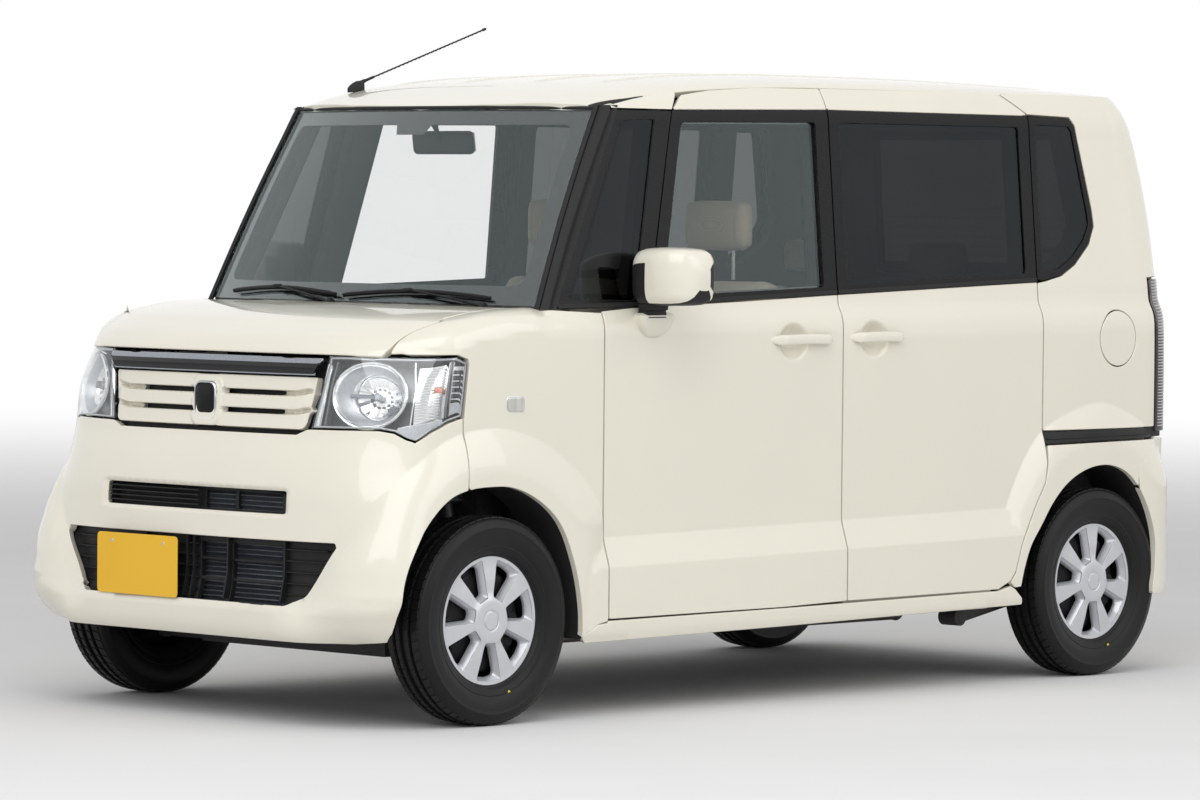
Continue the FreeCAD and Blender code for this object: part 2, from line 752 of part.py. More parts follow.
quarter_glass = Part.makeCompound([
    side_band(SKIN, SKIN, front_quarter_outline(mm.fit_gap), *glass_in),
    side_band(SKIN, SKIN, rear_window_outline(mm.fit_gap), *glass_in),
])
publish_shape(both_sides(quarter_glass), "quarter_windows")

fuel_lid = prism("x", lid_outline(mm.panel_gap - 1), skin - LID_SHELF + mm.fit_gap, skin)
publish_shape(fuel_lid, "fuel_lid")

# ---------------------------------------------------------------------------------------------
# Roof, bonnet, fenders, bumpers and tailgate
# ---------------------------------------------------------------------------------------------
roof_walls = walls(mm.roof_thickness)
roof = roof_walls.common(prism("x", ROOF_REGION, -half_width - 10, half_width + 10))
publish_shape(roof, "roof_panel")

# Windscreen: one bowed sheet between the pillars, the cowl and the roof
screen_top = screen_head - 8
screen_top_half = side_x(FACE, screen_top) - mm.fit_gap
SCREEN_FRONT = [
    (mm.screen_half - 6, mm.belt_height + 6),
    (screen_top_half, screen_top),
    (-screen_top_half, screen_top),
    (-mm.screen_half + 6, mm.belt_height + 6),
]
screen = screen_slab(glass_set, screen_back, mm.belt_height, mm.body_height)
screen = screen.common(prism("y", SCREEN_FRONT, nose, 0))
publish_shape(screen, "windscreen")

hood_front = nose + 104


def hood_outline(margin):
    """The bonnet in plan; its rear edge is cut to the windscreen's bow."""
    front = hood_front - 2 + margin
    rear = front_axle + mm.screen_base + 40
    left = [(mm.hood_half_front - margin, front), (mm.hood_half_rear - margin, rear)]
    return left + [(-x, y) for x, y in reversed(left)]


hood_walls = walls(26)
before_screen = screen_slab(-700, -mm.hood_setback, 0, mm.body_height, 0)
hood = hood_walls.common(prism("z", hood_outline(mm.panel_gap), mm.hood_edge - 4, mm.body_height))
hood = hood.common(before_screen)
publish_shape(hood, "hood")

LAMP_SIDE = [
    (nose - 10, 764),
    (nose - 10, mm.hood_edge + 4),
    (front_axle - mm.lamp_outer, mm.hood_edge + 6),
    (front_axle - mm.lamp_outer - 16, 822),
    (front_axle - 262, 764),
]
LAMP_FRONT = [
    (mm.grille_top_half + 4, mm.hood_edge + 6),
    (mm.grille_low_half + 8, 776),
    (half_width + 10, 764),
    (half_width + 10, mm.hood_edge + 6),
]
lamp_zone = prism("x", LAMP_SIDE, mm.grille_low_half, half_width + 10)
lamp_zone = lamp_zone.common(prism("y", LAMP_FRONT, nose - 10, front_axle))

FENDER_REGION = [
    (front_axle - 262, mm.front_bumper_top + 2),
    (front_axle - 420, mm.front_bumper_top + 2),
    (front_axle - 420, mm.belt_height - 6),
    (door_edge - mm.panel_gap, mm.belt_height - 6),
    (door_edge - mm.panel_gap, mm.sill_top + 2),
    (front_axle - mm.bumper_seam + 2, mm.sill_top + 2),
    (front_axle - mm.bumper_seam + 2, mm.front_bumper_top - 158),
    (front_axle - mm.bumper_seam - 53, mm.front_bumper_top - 64),
]
hood_space = prism("z", hood_outline(0), mm.hood_edge - 200, mm.body_height)
fender = walls(mm.fender_thickness).common(prism("x", FENDER_REGION, 300, half_width + 10))
fender = cut(
    fender,
    hood_space,
    front_house,
    lamp_zone,
    block((0, nose, 0), (mm.hood_half_front, nose + 200, mm.body_height)),
)
publish_shape(both_sides(fender), "front_fenders")

headlamp = body_block(1).cut(body_block(60)).common(lamp_zone)
headlamp = cut(headlamp, hood_space, front_house)
publish_shape(both_sides(headlamp), "headlamps")

GRILLE_FRONT = [
    (mm.grille_top_half, mm.hood_edge - 8),
    (mm.grille_low_half + 2, mm.front_bumper_top + 1),
    (-mm.grille_low_half - 2, mm.front_bumper_top + 1),
    (-mm.grille_top_half, mm.hood_edge - 8),
]
grille = body_block(4).cut(body_block(34)).common(prism("y", GRILLE_FRONT, nose - 10, nose + 260))
SLATS = (800, 872)
for side in (1, -1):
    for low in SLATS:
        slot = block((side * 90, nose, low), (side * 340, nose + 300, low + 38))
        grille = grille.cut(slot)
BUFFERS = (-300, 300)
for x in BUFFERS:
    foot = Vector(x, nose + 124, mm.hood_edge - 20)
    grille = fuse(grille, rod(8, foot, foot + Vector(0, 0, 16 - mm.fit_gap)))
publish_shape(grille, "grille")

bumper = walls(mm.bumper_thickness).common(prism("x", BUMPER_REGION, -half_width - 10, half_width + 10))
INTAKE = [
    (mm.intake_top_half, mm.intake_top, 12),
    (mm.intake_low_half, mm.intake_low, 12),
    (-mm.intake_low_half, mm.intake_low, 12),
    (-mm.intake_top_half, mm.intake_top, 12),
]
bumper = cut(
    bumper,
    front_house,
    lamp_zone,
    mirrored(lamp_zone),
    prism("y", INTAKE, nose - 10, nose + 300),
    block((-mm.slot_half, nose - 10, mm.slot_low), (mm.slot_half, nose + 300, mm.slot_top)),
)
plate_x = -175
plate_face = nose + 4
plate_back = plate_face + 3
plate_boss = block(
    (plate_x - 50, plate_back + mm.fit_gap, mm.intake_top - 30),
    (plate_x + 50, nose + 45, mm.intake_top + 30),
)
bumper = fuse(bumper, plate_boss)
publish_shape(bumper, "front_bumper")

rear_bumper = walls(mm.bumper_thickness).common(
    prism("x", REAR_BUMPER_REGION, -half_width - 10, half_width + 10)
)
rear_bumper = cut(
    rear_bumper,
    rear_house,
    mirrored(rear_house),
    tailgate_space,
    mirrored(tailgate_space),
    lamp_space,
    mirrored(lamp_space),
)
publish_shape(rear_bumper, "rear_bumper")

tail_lamp = body_block(1).cut(body_block(45)).common(lamp_space)
tail_lamp = tail_lamp.common(
    block((0, rear_axle + mm.tail_lamp_front + 1, 712), (half_width, tail, mm.tail_lamp_top - 1))
)
tail_lamp = tail_lamp.common(block((mm.tailgate_half + mm.panel_gap + 1, 0, 0), (half_width, tail, clear_top)))
publish_shape(both_sides(tail_lamp), "tail_lamps")

# Tailgate: a deep panel with the rear window cut through it
tailgate_zone = block(
    (-mm.tailgate_half, rear_axle + mm.tailgate_front + mm.panel_gap, mm.tailgate_low),
    (mm.tailgate_half, tail + 10, mm.body_height + 20),
)
tailgate = walls(mm.tailgate_thickness).common(tailgate_zone)


def rear_glass_outline(margin):
    """The tailgate's window as (x, z) corners."""
    low = mm.tail_lamp_top - 20 + margin
    high = window_top - 10 - margin
    left = [(525 - margin, low, 40), (500 - margin, high, 40)]
    return left + [(-x, z, r) for x, z, r in reversed(left)]


tailgate = tailgate.cut(prism("y", rear_glass_outline(0), tail - 400, tail + 10))
tailgate_glass = body_block(8).cut(body_block(8 + mm.glass_thickness))
tailgate_glass = tailgate_glass.common(prism("y", rear_glass_outline(mm.fit_gap), tail - 400, tail + 10))
publish_shape(tailgate, "tailgate")
publish_shape(tailgate_glass, "tailgate_window")


# ---------------------------------------------------------------------------------------------
# Pieces bound to the sheet: boxes, bars and turned parts
# ---------------------------------------------------------------------------------------------
def bind(item, sizes):
    """Sets an object's properties from the sheet."""
    for name, size in sizes.items():
        item.setExpression(name, Dim.of(size).text)
    return item


def set_place(item, x, y, z):
    """Ties an object's position to the sheet."""
    names = ("Placement.Base.x", "Placement.Base.y", "Placement.Base.z")
    return bind(item, dict(zip(names, (x, y, z))))


def bound_box(name, low, size):
    """A box from its lowest corner and its size."""
    item = doc.addObject("Part::Box", name)
    bind(item, {"Length": size[0], "Width": size[1], "Height": size[2]})
    return set_place(item, *low)


def profile_sketch(body, role, corners, name):
    """A closed sketch on one of a body's own planes, every corner tied to the sheet."""
    sketch = body.newObject("Sketcher::SketchObject", name)
    plane = next(item for item in body.Origin.OriginFeatures if item.Role == role)
    sketch.AttachmentSupport = [(plane, "")]
    sketch.MapMode = "FlatFace"
    points = [Vector(float(u), float(v), 0) for u, v in corners]
    count = len(points)
    for i, point in enumerate(points):
        sketch.addGeometry(Part.LineSegment(point, points[(i + 1) % count]), False)
    for i in range(count):
        sketch.addConstraint(Sketcher.Constraint("Coincident", i, 2, (i + 1) % count, 1))
    for i, corner in enumerate(corners):
        for kind, size in zip(("DistanceX", "DistanceY"), corner):
            constraint = Sketcher.Constraint(kind, -1, 1, i, 1, float(size))
            index = sketch.addConstraint(constraint)
            sketch.setExpression(f"Constraints[{index}]", Dim.of(size).text)
    return sketch


def turned_body(label, corners, turn, place):
    """A PartDesign body turned about X from an (x, radius) outline, then placed."""
    body = doc.addObject("PartDesign::Body", label)
    sketch = profile_sketch(body, "XZ_Plane", corners, label + "_outline")
    revolution = body.newObject("PartDesign::Revolution", label + "_turned")
    revolution.Profile = sketch
    revolution.ReferenceAxis = (sketch, ["H_Axis"])
    revolution.Angle = 360
    body.Placement = Placement(Vector(), turn)
    set_place(body, *place)
    return body


# Wheels and tyres. Columns: label, side (+1 is the car's left), axle's place along the car
WHEELS = [
    ("left_front", 1, front_axle_cell),
    ("right_front", -1, front_axle_cell),
    ("left_rear", 1, rear_axle_cell),
    ("right_rear", -1, rear_axle_cell),
]
bead = cell.rim_radius
bore = cell.spindle_radius + cell.fit_gap
flange_top = bead + 13
WHEEL_OUTLINE = [
    (-63, flange_top), (-57, flange_top), (-57, bead), (57, bead), (57, flange_top),
    (63, flange_top), (63, bead - 9), (52, bead - 15), (48, bead - 45), (40, 60), (40, bore),
    (-8, bore), (-8, 55), (28, 62), (38, bead - 47), (38, bead - 8), (-63, bead - 8),
]
outer = cell.tyre_diameter / 2
bulge = cell.tyre_width / 2
seat = bead + cell.fit_gap
TYRE_OUTLINE = [
    (-56.7, seat), (56.7, seat), (56.7, flange_top + 1), (bulge - 6, flange_top + 12),
    (bulge, outer - 62), (bulge, outer - 42), (bulge - 6, outer - 18), (bulge - 14, outer - 5),
    (bulge - 26, outer), (26 - bulge, outer), (14 - bulge, outer - 5), (6 - bulge, outer - 18),
    (-bulge, outer - 42), (-bulge, outer - 62), (6 - bulge, flange_top + 12), (-56.7, flange_top + 1),
]
for label, side, axle_y in WHEELS:
    turn = Rotation() if side > 0 else Rotation(Vector(0, 0, 1), 180)
    place = (cell.track * side / 2, axle_y, axle_height_cell)
    publish(turned_body(label + "_wheel", WHEEL_OUTLINE, turn, place), label + "_wheel")
    publish(turned_body(label + "_tyre", TYRE_OUTLINE, turn, place), label + "_tyre")

# ---------------------------------------------------------------------------------------------
# Steering knuckles, struts, subframe and rear axle
# ---------------------------------------------------------------------------------------------
ball_joint = Vector(mm.kingpin_low_x, front_axle, kingpin_low)
strut_top = Vector(mm.kingpin_top_x, front_axle, mm.kingpin_top)
kingpin = (strut_top - ball_joint).normalize()
hub_run = (axle_height - kingpin_low) / kingpin.z
carrier_run = hub_run + 135
hub_point = ball_joint + kingpin * hub_run
wheel_x = mm.track / 2
spindle_end = Vector(wheel_x + 36, front_axle, axle_height)
carrier = rod(17, ball_joint + kingpin * mm.fit_gap, ball_joint + kingpin * carrier_run)
spindle = rod(mm.spindle_radius, hub_point, spindle_end)
hub_flange = rod(50, hub_point, Vector(wheel_x - 20, front_axle, axle_height))
steering_arm = rod(11, ball_joint + kingpin * 40, ball_joint + kingpin * 40 + Vector(-30, 105, 0))
knuckle = fuse(carrier, spindle, hub_flange, steering_arm)
publish_shape(knuckle, "left_knuckle")
publish_shape(mirrored(knuckle), "right_knuckle")

strut_foot = ball_joint + kingpin * (carrier_run + mm.fit_gap)
strut_body = rod(20, strut_foot, strut_top)
spring_seat = rod(55, strut_foot + kingpin * 175, strut_foot + kingpin * 181)
spring = rod(50, strut_foot + kingpin * 181, strut_top - kingpin * 12)
publish_shape(both_sides(fuse(strut_body, spring_seat, spring)), "front_struts")

rail_x = 370
tower_top = mm.kingpin_top + 4
rails = block((rail_x - 22, nose + 130, 290), (rail_x + 22, front_axle + mm.firewall - mm.fit_gap, 350))
arm_end = ball_joint - kingpin * 34
stub = rod(15, ball_joint, arm_end)
arm_low = kingpin_low - 29
joint_x = mm.kingpin_low_x
lower_arm = block((rail_x - 60, front_axle - 24, arm_low), (joint_x + 8, front_axle + 24, arm_low + 22))
step_low = Vector(joint_x - 40, front_axle - 40, arm_low + 10)
arm_step = block(step_low, (joint_x + 40, front_axle + 40, kingpin_low + 5))
lower_arm = fuse(lower_arm.cut(arm_step), stub)
apron = block((rail_x + 20, front_axle - 85, 300), (rail_x + 34, front_axle + 90, tower_top + 16))
tower_out = mm.kingpin_top_x + 70
tower = block((rail_x + 20, front_axle - 85, tower_top), (tower_out, front_axle + 90, tower_top + 16))
hanger = block((rail_x - 60, front_axle - 70, arm_low), (rail_x - 10, front_axle + 70, 292))
left_half = fuse(rails, lower_arm, hanger, apron, tower)
crossmember = block((-rail_x, front_axle - 70, arm_low), (rail_x, front_axle + 70, 214))
nose_beam = block((-rail_x - 22, nose + 130, 290), (rail_x + 22, nose + 170, 350))
bumper_stay = block((rail_x - 15, nose + 40.5, 296), (rail_x + 15, nose + 132, 316))
left_half = fuse(left_half, bumper_stay)
tow_socket = rod(8, Vector(rail_x, nose + 130, 334), Vector(rail_x, nose + 170, 334))
subframe = fuse(left_half, mirrored(left_half), crossmember, nose_beam)
subframe = cut(subframe, tow_socket, mirrored(tow_socket))
publish_shape(subframe, "front_subframe")

engine = bound_box(
    "engine_block",
    (-300, front_axle_cell - 170, 214 + cell.fit_gap),
    (600, 330, 560),
)
publish(engine, "engine")

rear_spindle = rod(
    mm.spindle_radius,
    Vector(wheel_x - 115, rear_axle, axle_height),
    Vector(wheel_x + 36, rear_axle, axle_height),
)
drum_centre = Vector(wheel_x - 36, rear_axle, axle_height)
rear_drum = rod(95, drum_centre - Vector(26, 0, 0), drum_centre + Vector(26, 0, 0))
trailing_arm = prism("x", [
    (rear_axle + 40, axle_height - 30, 10),
    (rear_axle + 40, axle_height + 30, 10),
    (rear_axle - 430, 205, 10),
    (rear_axle - 430, 165, 10),
], 500, 545)
pivot = rod(26, Vector(490, rear_axle - 430, 185), Vector(555, rear_axle - 430, 185))
floor_low = mm.floor_top - mm.floor_thickness
pivot_stand = block((495, rear_axle - 450, 185), (550, rear_axle - 425, floor_low - mm.fit_gap))
half_axle = fuse(trailing_arm, rear_spindle, rear_drum, pivot, pivot_stand)
cross_beam = rod(34, Vector(-510, rear_axle - 120, 252), Vector(510, rear_axle - 120, 252))
publish_shape(fuse(half_axle, mirrored(half_axle), cross_beam), "rear_axle")

# ---------------------------------------------------------------------------------------------
# Floor, firewall, wheel houses, fuel tank and exhaust
# ---------------------------------------------------------------------------------------------
floor_half = inside - mm.fit_gap
firewall_y = front_axle + mm.firewall
toe_y = front_axle + 335
kick_x = 425
sheet_wall = 15
front_floor = block((-floor_half, toe_y, floor_low), (floor_half, luggage_y, mm.floor_top))
wall_back = firewall_y + sheet_wall
upper_wall = block((-floor_half, firewall_y, 650), (floor_half, wall_back, mm.belt_height - 55))
lower_wall = block((-kick_x, firewall_y, floor_low), (kick_x, firewall_y + sheet_wall, 665))
toe_floor = block((-kick_x, firewall_y, floor_low), (kick_x, toe_y + 2, mm.floor_top))
arch_pieces = []
for side in (1, -1):
    arch_pieces += [
        block((side * (kick_x - 15), toe_y, floor_low), (side * floor_half, toe_y + sheet_wall, 665)),
        block((side * (kick_x - 15), firewall_y, 650), (side * floor_half, toe_y + 2, 665)),
        block((side * (kick_x - 15), firewall_y, floor_low), (side * kick_x, toe_y + 2, 665)),
    ]
raised_low = mm.luggage_floor - 30
inner_arch = 540
rear_end = tail - 85
luggage = block((-inner_arch, luggage_y, raised_low), (inner_arch, rear_end, mm.luggage_floor))
riser = block((-floor_half, luggage_y - 15, floor_low), (floor_half, luggage_y, mm.luggage_floor))
rear_panel = block((-560, rear_end - 15, 330), (560, rear_end, mm.luggage_floor))
side_pieces = []
for side in (1, -1):
    near, far = side * (inner_arch - 12), side * inner_arch
    side_pieces += [
        block((near, luggage_y - 2, 330), (far, rear_end, 655)),
        block((near, luggage_y - 2, 643), (side * floor_half, rear_end, 655)),
    ]
latch = block((-40, rear_end - 15, 470), (40, tail - mm.tailgate_thickness - mm.fit_gap, 520))
floor_pan = fuse(front_floor, upper_wall, lower_wall, toe_floor, luggage, riser, rear_panel, latch,
                 *arch_pieces, *side_pieces)
publish_shape(floor_pan, "floor_pan")

tank_top = cell.floor_top - cell.floor_thickness - cell.fit_gap
tank = bound_box("tank_block", (-420, 120, tank_top - 62), (620, 520, 62))
publish(tank, "fuel_tank")
PIPE = (
    Vector(150, front_axle + 175, 186),
    Vector(290, front_axle + 420, 182),
    Vector(290, rear_axle - 420, 182),
    Vector(-120, rear_axle + 60, 192),
)
pipe_runs = [rod(20, a, b) for a, b in zip(PIPE, PIPE[1:])]
pipe_joints = [Part.makeSphere(23, point) for point in PIPE[1:3]]
muffler = prism("x", [
    (rear_axle + 50, 170, 40), (rear_axle + 50, 300, 40),
    (rear_axle + 210, 300, 40), (rear_axle + 210, 170, 40),
], -380, 200)
tail_pipe = rod(17, Vector(-330, rear_axle + 200, 215), Vector(-330, tail - 60, 215))
hanger_rods = [
    rod(6, Vector(x, rear_axle + 130, 290), Vector(x, rear_axle + 130, raised_low - mm.fit_gap))
    for x in (-300, 120)
]
front_hanger = rod(6, Vector(290, -200, 190), Vector(290, -200, floor_low - mm.fit_gap))
exhaust = fuse(*pipe_runs, *pipe_joints, muffler, tail_pipe, front_hanger, *hanger_rods)
publish_shape(exhaust, "exhaust")

# ---------------------------------------------------------------------------------------------
# Inside the cabin
# ---------------------------------------------------------------------------------------------
dash_half = inside - 6
dash_back = firewall_y + sheet_wall + mm.fit_gap
DASH = [
    (dash_back, 700),
    (dash_back, mm.belt_height - 62),
    (dash_back + 130, mm.belt_height - 40, 60),
    (dash_back + 300, mm.belt_height - 95, 40),
    (dash_back + 320, 880, 50),
    (dash_back + 230, 700, 40),
]
dash = prism("x", DASH, -dash_half, dash_half)
driver_x = -floor_half + mm.seat_inset + mm.seat_width / 2
wheel_centre = Vector(driver_x, dash_back + 480, 960)
column_lean = math.radians(28)
column_axis = Vector(0, math.cos(column_lean), math.sin(column_lean))
column_start = wheel_centre - column_axis * 30
column = rod(34, column_start - column_axis * 190, column_start)
binnacle = prism("x", [
    (dash_back + 120, mm.belt_height - 60),
    (dash_back + 160, mm.belt_height - 12, 25),
    (dash_back + 290, mm.belt_height - 25, 25),
    (dash_back + 290, mm.belt_height - 110),
], driver_x - 150, driver_x + 150)
console = block((-170, dash_back + 160, 560), (170, dash_back + 300, 720))
publish_shape(fuse(dash, column, binnacle, console), "dashboard")

steer_hub = rod(30, wheel_centre - column_axis * (30 - mm.fit_gap), wheel_centre + column_axis * 12)
rim_ring = Part.makeTorus(mm.steering_wheel_radius, 14, wheel_centre, column_axis)
spokes = []
for angle in (0, 180, 270):
    across_wheel = Vector(math.cos(math.radians(angle)), 0, 0)
    up_wheel = Vector(0, -column_axis.z, column_axis.y) * math.sin(math.radians(angle))
    reach = (across_wheel + up_wheel) * mm.steering_wheel_radius
    spokes.append(rod(10, wheel_centre, wheel_centre + reach))
publish_shape(fuse(steer_hub, rim_ring, *spokes), "steering_wheel")


def seat_shape(half, front, hip, base_top, back_top):
    """A cushion and a backrest on a plinth, as one closed solid."""
    cushion = [
        (front, mm.floor_top + mm.fit_gap),
        (front, base_top, 60),
        (hip, base_top - 25, 30),
        (hip + 130, back_top, 32),
        (hip + 220, back_top, 32),
        (hip + 110, mm.floor_top + mm.fit_gap),
    ]
    return prism("x", cushion, -half, half)


front_seat = seat_shape(mm.seat_width / 2, -560, -110, 640, 1240)
head_rest = prism("x", [(20, 1243, 20), (45, 1420, 25), (110, 1420, 25), (105, 1243, 20)], -130, 130)
posts = [rod(6, Vector(x, 62, 1200), Vector(x, 62, 1300)) for x in (-60, 60)]
front_seat = fuse(front_seat, head_rest, *posts)
publish_shape(
    Part.makeCompound([
        front_seat.translated(Vector(-driver_x, 0, 0)),
        front_seat.translated(Vector(driver_x, 0, 0)),
    ]),
    "front_seats",
)
rear_seat = seat_shape(inner_arch - 20, 480, 930, 640, 1180)
rear_seat = rear_seat.cut(block((-700, luggage_y - 16, 0), (700, 2000, mm.luggage_floor + 1)))
publish_shape(rear_seat, "rear_seat")

# ---------------------------------------------------------------------------------------------
# Plates, cowl, wipers, radiator and antenna
# ---------------------------------------------------------------------------------------------
plate = bound_box(
    "front_plate_blank",
    (Dim.of(plate_x) - cell.plate_width / 2, nose_cell + 4, cell.intake_low + 5),
    (cell.plate_width, 3, cell.plate_height),
)
publish(plate, "front_number_plate")
rear_plate = bound_box(
    "rear_plate_blank",
    (cell.plate_width / -2, tail - 15 + cell.fit_gap, 726),
    (cell.plate_width, 3, cell.plate_height),
)
publish(rear_plate, "rear_number_plate")

radiator = bound_box("radiator_core", (-345, nose_cell + 80, 290), (690, 50 - cell.fit_gap, 330))
publish(radiator, "radiator")

cowl = prism("z", [(610, nose + 400), (610, front_axle + 300), (-610, front_axle + 300), (-610, nose + 400)],
             mm.belt_height - 50, mm.belt_height - 14)
cowl = cowl.common(screen_slab(-mm.hood_setback + mm.panel_gap + 3, 120, 0, mm.body_height, 0))
cowl = cowl.cut(screen_slab(0, 300, mm.belt_height - 80, mm.body_height))
cowl_shelf = block(
    (-560, front_axle + mm.screen_base - 120, mm.belt_height - 55 + mm.fit_gap),
    (560, firewall_y + sheet_wall, mm.belt_height - 46),
)
cowl = fuse(cowl.cut(mirrored(frame)).cut(frame), cowl_shelf)
publish_shape(cowl, "cowl_panel")

# Wipers: a blade laid just off the glass, an arm and a pivot in the cowl
blade_face = screen_slab(-16, -mm.fit_gap + 4, mm.belt_height - 40, mm.body_height)


def wiper(pivot_x, tip_x, pivot_z, tip_z):
    """One wiper, cut from a thin wall that follows the glass."""
    span = Vector(tip_x - pivot_x, 0, tip_z - pivot_z)
    side = Vector(-span.z, 0, span.x).normalize() * 6
    start = Vector(pivot_x, 0, pivot_z)
    end = Vector(tip_x, 0, tip_z)
    corners = [start - side, end - side, end + side, start + side]
    strip = prism("y", [(c.x, c.z) for c in corners], nose, front_axle + 700)
    return strip.common(blade_face)


passenger_wiper = wiper(100, 560, mm.belt_height + 12, mm.belt_height + 30)
driver_wiper = wiper(-520, 60, mm.belt_height + 14, mm.belt_height + 22)
publish_shape(Part.makeCompound([passenger_wiper, driver_wiper]), "wipers")

antenna_foot = Vector(-478, screen_top_y + mm.antenna_setback, mm.body_height - 48)
antenna_tip = antenna_foot + Vector(0, 538, 181)
antenna_base = rod(14, antenna_foot - Vector(0, 0, 20), antenna_foot + Vector(0, 0, 18))
antenna = fuse(rod(3.5, antenna_foot + Vector(0, 6, 6), antenna_tip), antenna_base)
publish_shape(antenna.cut(outside), "antenna")

# ---------------------------------------------------------------------------------------------
# Check every object, then write each sub-part
# ---------------------------------------------------------------------------------------------
doc.recompute()
for item in doc.Objects:
    if "Invalid" in item.State or "Error" in item.State:
        raise RuntimeError(f"{item.Label} did not build: {item.State}")
for item in subparts:
    shape = item.Shape
    if shape.isNull() or not shape.isValid():
        raise RuntimeError(f"{item.Label} is not a valid shape")
os.makedirs("parts", exist_ok=True)
for item in subparts:
    item.Shape.exportStep(f"parts/{item.Label}.step")
    box = item.Shape.BoundBox
    size = f"{box.XMin:.0f}..{box.XMax:.0f} {box.YMin:.0f}..{box.YMax:.0f} {box.ZMin:.0f}..{box.ZMax:.0f}"
    print(item.Label, len(item.Shape.Solids), size)
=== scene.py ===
"""A small box-shaped car: sheet-metal skins, glass, lamps, wheels and cabin."""

import logging
import math
from dataclasses import dataclass
from enum import Enum
from typing import Callable, Iterable, Sequence

import bmesh
import bpy
import numpy as np
from mathutils import Matrix, Vector
from mathutils.geometry import delaunay_2d_cdt


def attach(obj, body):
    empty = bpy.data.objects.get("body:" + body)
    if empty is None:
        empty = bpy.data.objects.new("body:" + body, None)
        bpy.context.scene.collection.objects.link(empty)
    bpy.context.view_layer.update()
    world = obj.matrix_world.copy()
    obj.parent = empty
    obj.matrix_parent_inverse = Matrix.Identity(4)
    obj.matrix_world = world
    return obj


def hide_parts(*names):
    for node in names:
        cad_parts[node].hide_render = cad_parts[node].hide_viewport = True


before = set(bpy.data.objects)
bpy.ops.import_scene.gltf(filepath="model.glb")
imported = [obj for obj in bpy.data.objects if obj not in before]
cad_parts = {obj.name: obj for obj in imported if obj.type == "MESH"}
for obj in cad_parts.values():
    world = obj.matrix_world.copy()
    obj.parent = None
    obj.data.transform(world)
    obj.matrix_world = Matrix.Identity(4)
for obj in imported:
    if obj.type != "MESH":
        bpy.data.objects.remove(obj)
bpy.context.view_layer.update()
log = logging.getLogger("kei_car")

MM = 0.001
NOSE = -1697.5
TAIL = 1697.5
SIDE_ZERO = 2312.5
FRONT_AXLE = -1217.5
REAR_AXLE = 1302.5
FLARE = 25.5
SKIN_LIFT = 1.2
HANDLE_SKIN = 713.0
BONNET_EDGE = 958.0
FAR = 1e5
SKY_DIM = 0.56
FLOOR_SIZE = 60.0
SOFT_LAMPS = (
    ("key_lamp", (3.5, -6.0, 6.5), 8.0, 390.0),
    ("fill_lamp", (7.5, 2.5, 4.5), 6.5, 165.0),
)

Line = Sequence[tuple[float, float]]


def ramp(t: np.ndarray) -> np.ndarray:
    """Return the smooth step of t between 0 and 1."""
    t = np.clip(t, 0.0, 1.0)
    return t * t * (3.0 - 2.0 * t)


def through(x: np.ndarray, knots: Line) -> np.ndarray:
    """Run a smooth curve through knots and read it at x.

    Args:
        x: Places to read, held between the first and last knot.
        knots: Pairs of place and value, in rising order.

    Returns:
        The curve's values.
    """
    k = np.array(knots, float)
    t, v = k[:, 0], k[:, 1]
    d = np.diff(v) / np.diff(t)
    m = np.concatenate(([d[0]], (d[:-1] + d[1:]) / 2.0, [d[-1]]))
    m[1:-1] = np.where(d[:-1] * d[1:] <= 0, 0.0, m[1:-1])
    x = np.clip(x, t[0], t[-1])
    i = np.clip(np.searchsorted(t, x, side="right") - 1, 0, len(t) - 2)
    h = t[i + 1] - t[i]
    s = (x - t[i]) / h
    rise = (3.0 - 2.0 * s) * s * s
    return (
        (1.0 - rise) * v[i]
        + rise * v[i + 1]
        + (s - 2 * s**2 + s**3) * h * m[i]
        + (s**3 - s**2) * h * m[i + 1]
    )


def distance(points: np.ndarray, line: Line) -> np.ndarray:
    """Measure how far each point of the plane lies from a line of points."""
    path = np.array(line, float)
    a, ab = path[:-1], np.diff(path, axis=0)
    ap = points[:, None, :] - a[None]
    t = np.clip((ap * ab).sum(2) / (ab * ab).sum(1), 0, 1)
    return np.sqrt(((ap - t[..., None] * ab) ** 2).sum(2).min(1))


def inside(points: np.ndarray, polygon: Line) -> np.ndarray:
    """Tell which points of the plane lie inside a polygon."""
    p = np.array(polygon, float)
    q = np.roll(p, -1, 0)
    x, y = points[:, 0:1], points[:, 1:2]
    crosses = (p[:, 1] > y) != (q[:, 1] > y)
    with np.errstate(divide="ignore", invalid="ignore"):
        at = (q[:, 0] - p[:, 0]) * (y - p[:, 1]) / (q[:, 1] - p[:, 1]) + p[:, 0]
    return (crosses & (x < at)).sum(1) % 2 == 1


def curved(points: Line, step: float) -> list[tuple[float, float]]:
    """Draw a smooth curve through points and read it at even steps."""
    p = np.array(points, float)
    run = np.concatenate(([0.0], np.cumsum(np.hypot(*np.diff(p, axis=0).T))))
    at = np.linspace(0.0, run[-1], max(int(run[-1] / step), 2) + 1)
    sides = [through(at, list(zip(run, p[:, k]))) for k in (0, 1)]
    return [(float(a), float(b)) for a, b in zip(*sides)]


def beside(points: Line, away: float) -> list[tuple[float, float]]:
    """Draw a line at a distance beside another."""
    p = np.array(points, float)
    along = np.gradient(p, axis=0)
    along /= np.hypot(along[:, 0], along[:, 1])[:, None]
    return [(float(a), float(b)) for a, b in p + away * np.stack([-along[:, 1], along[:, 0]], 1)]


def side_line(points: Line) -> list[tuple[float, float]]:
    """Turn points given as (y, z) on the car's side into (u, z) on the body form."""
    return [(y + SIDE_ZERO, z) for y, z in points]


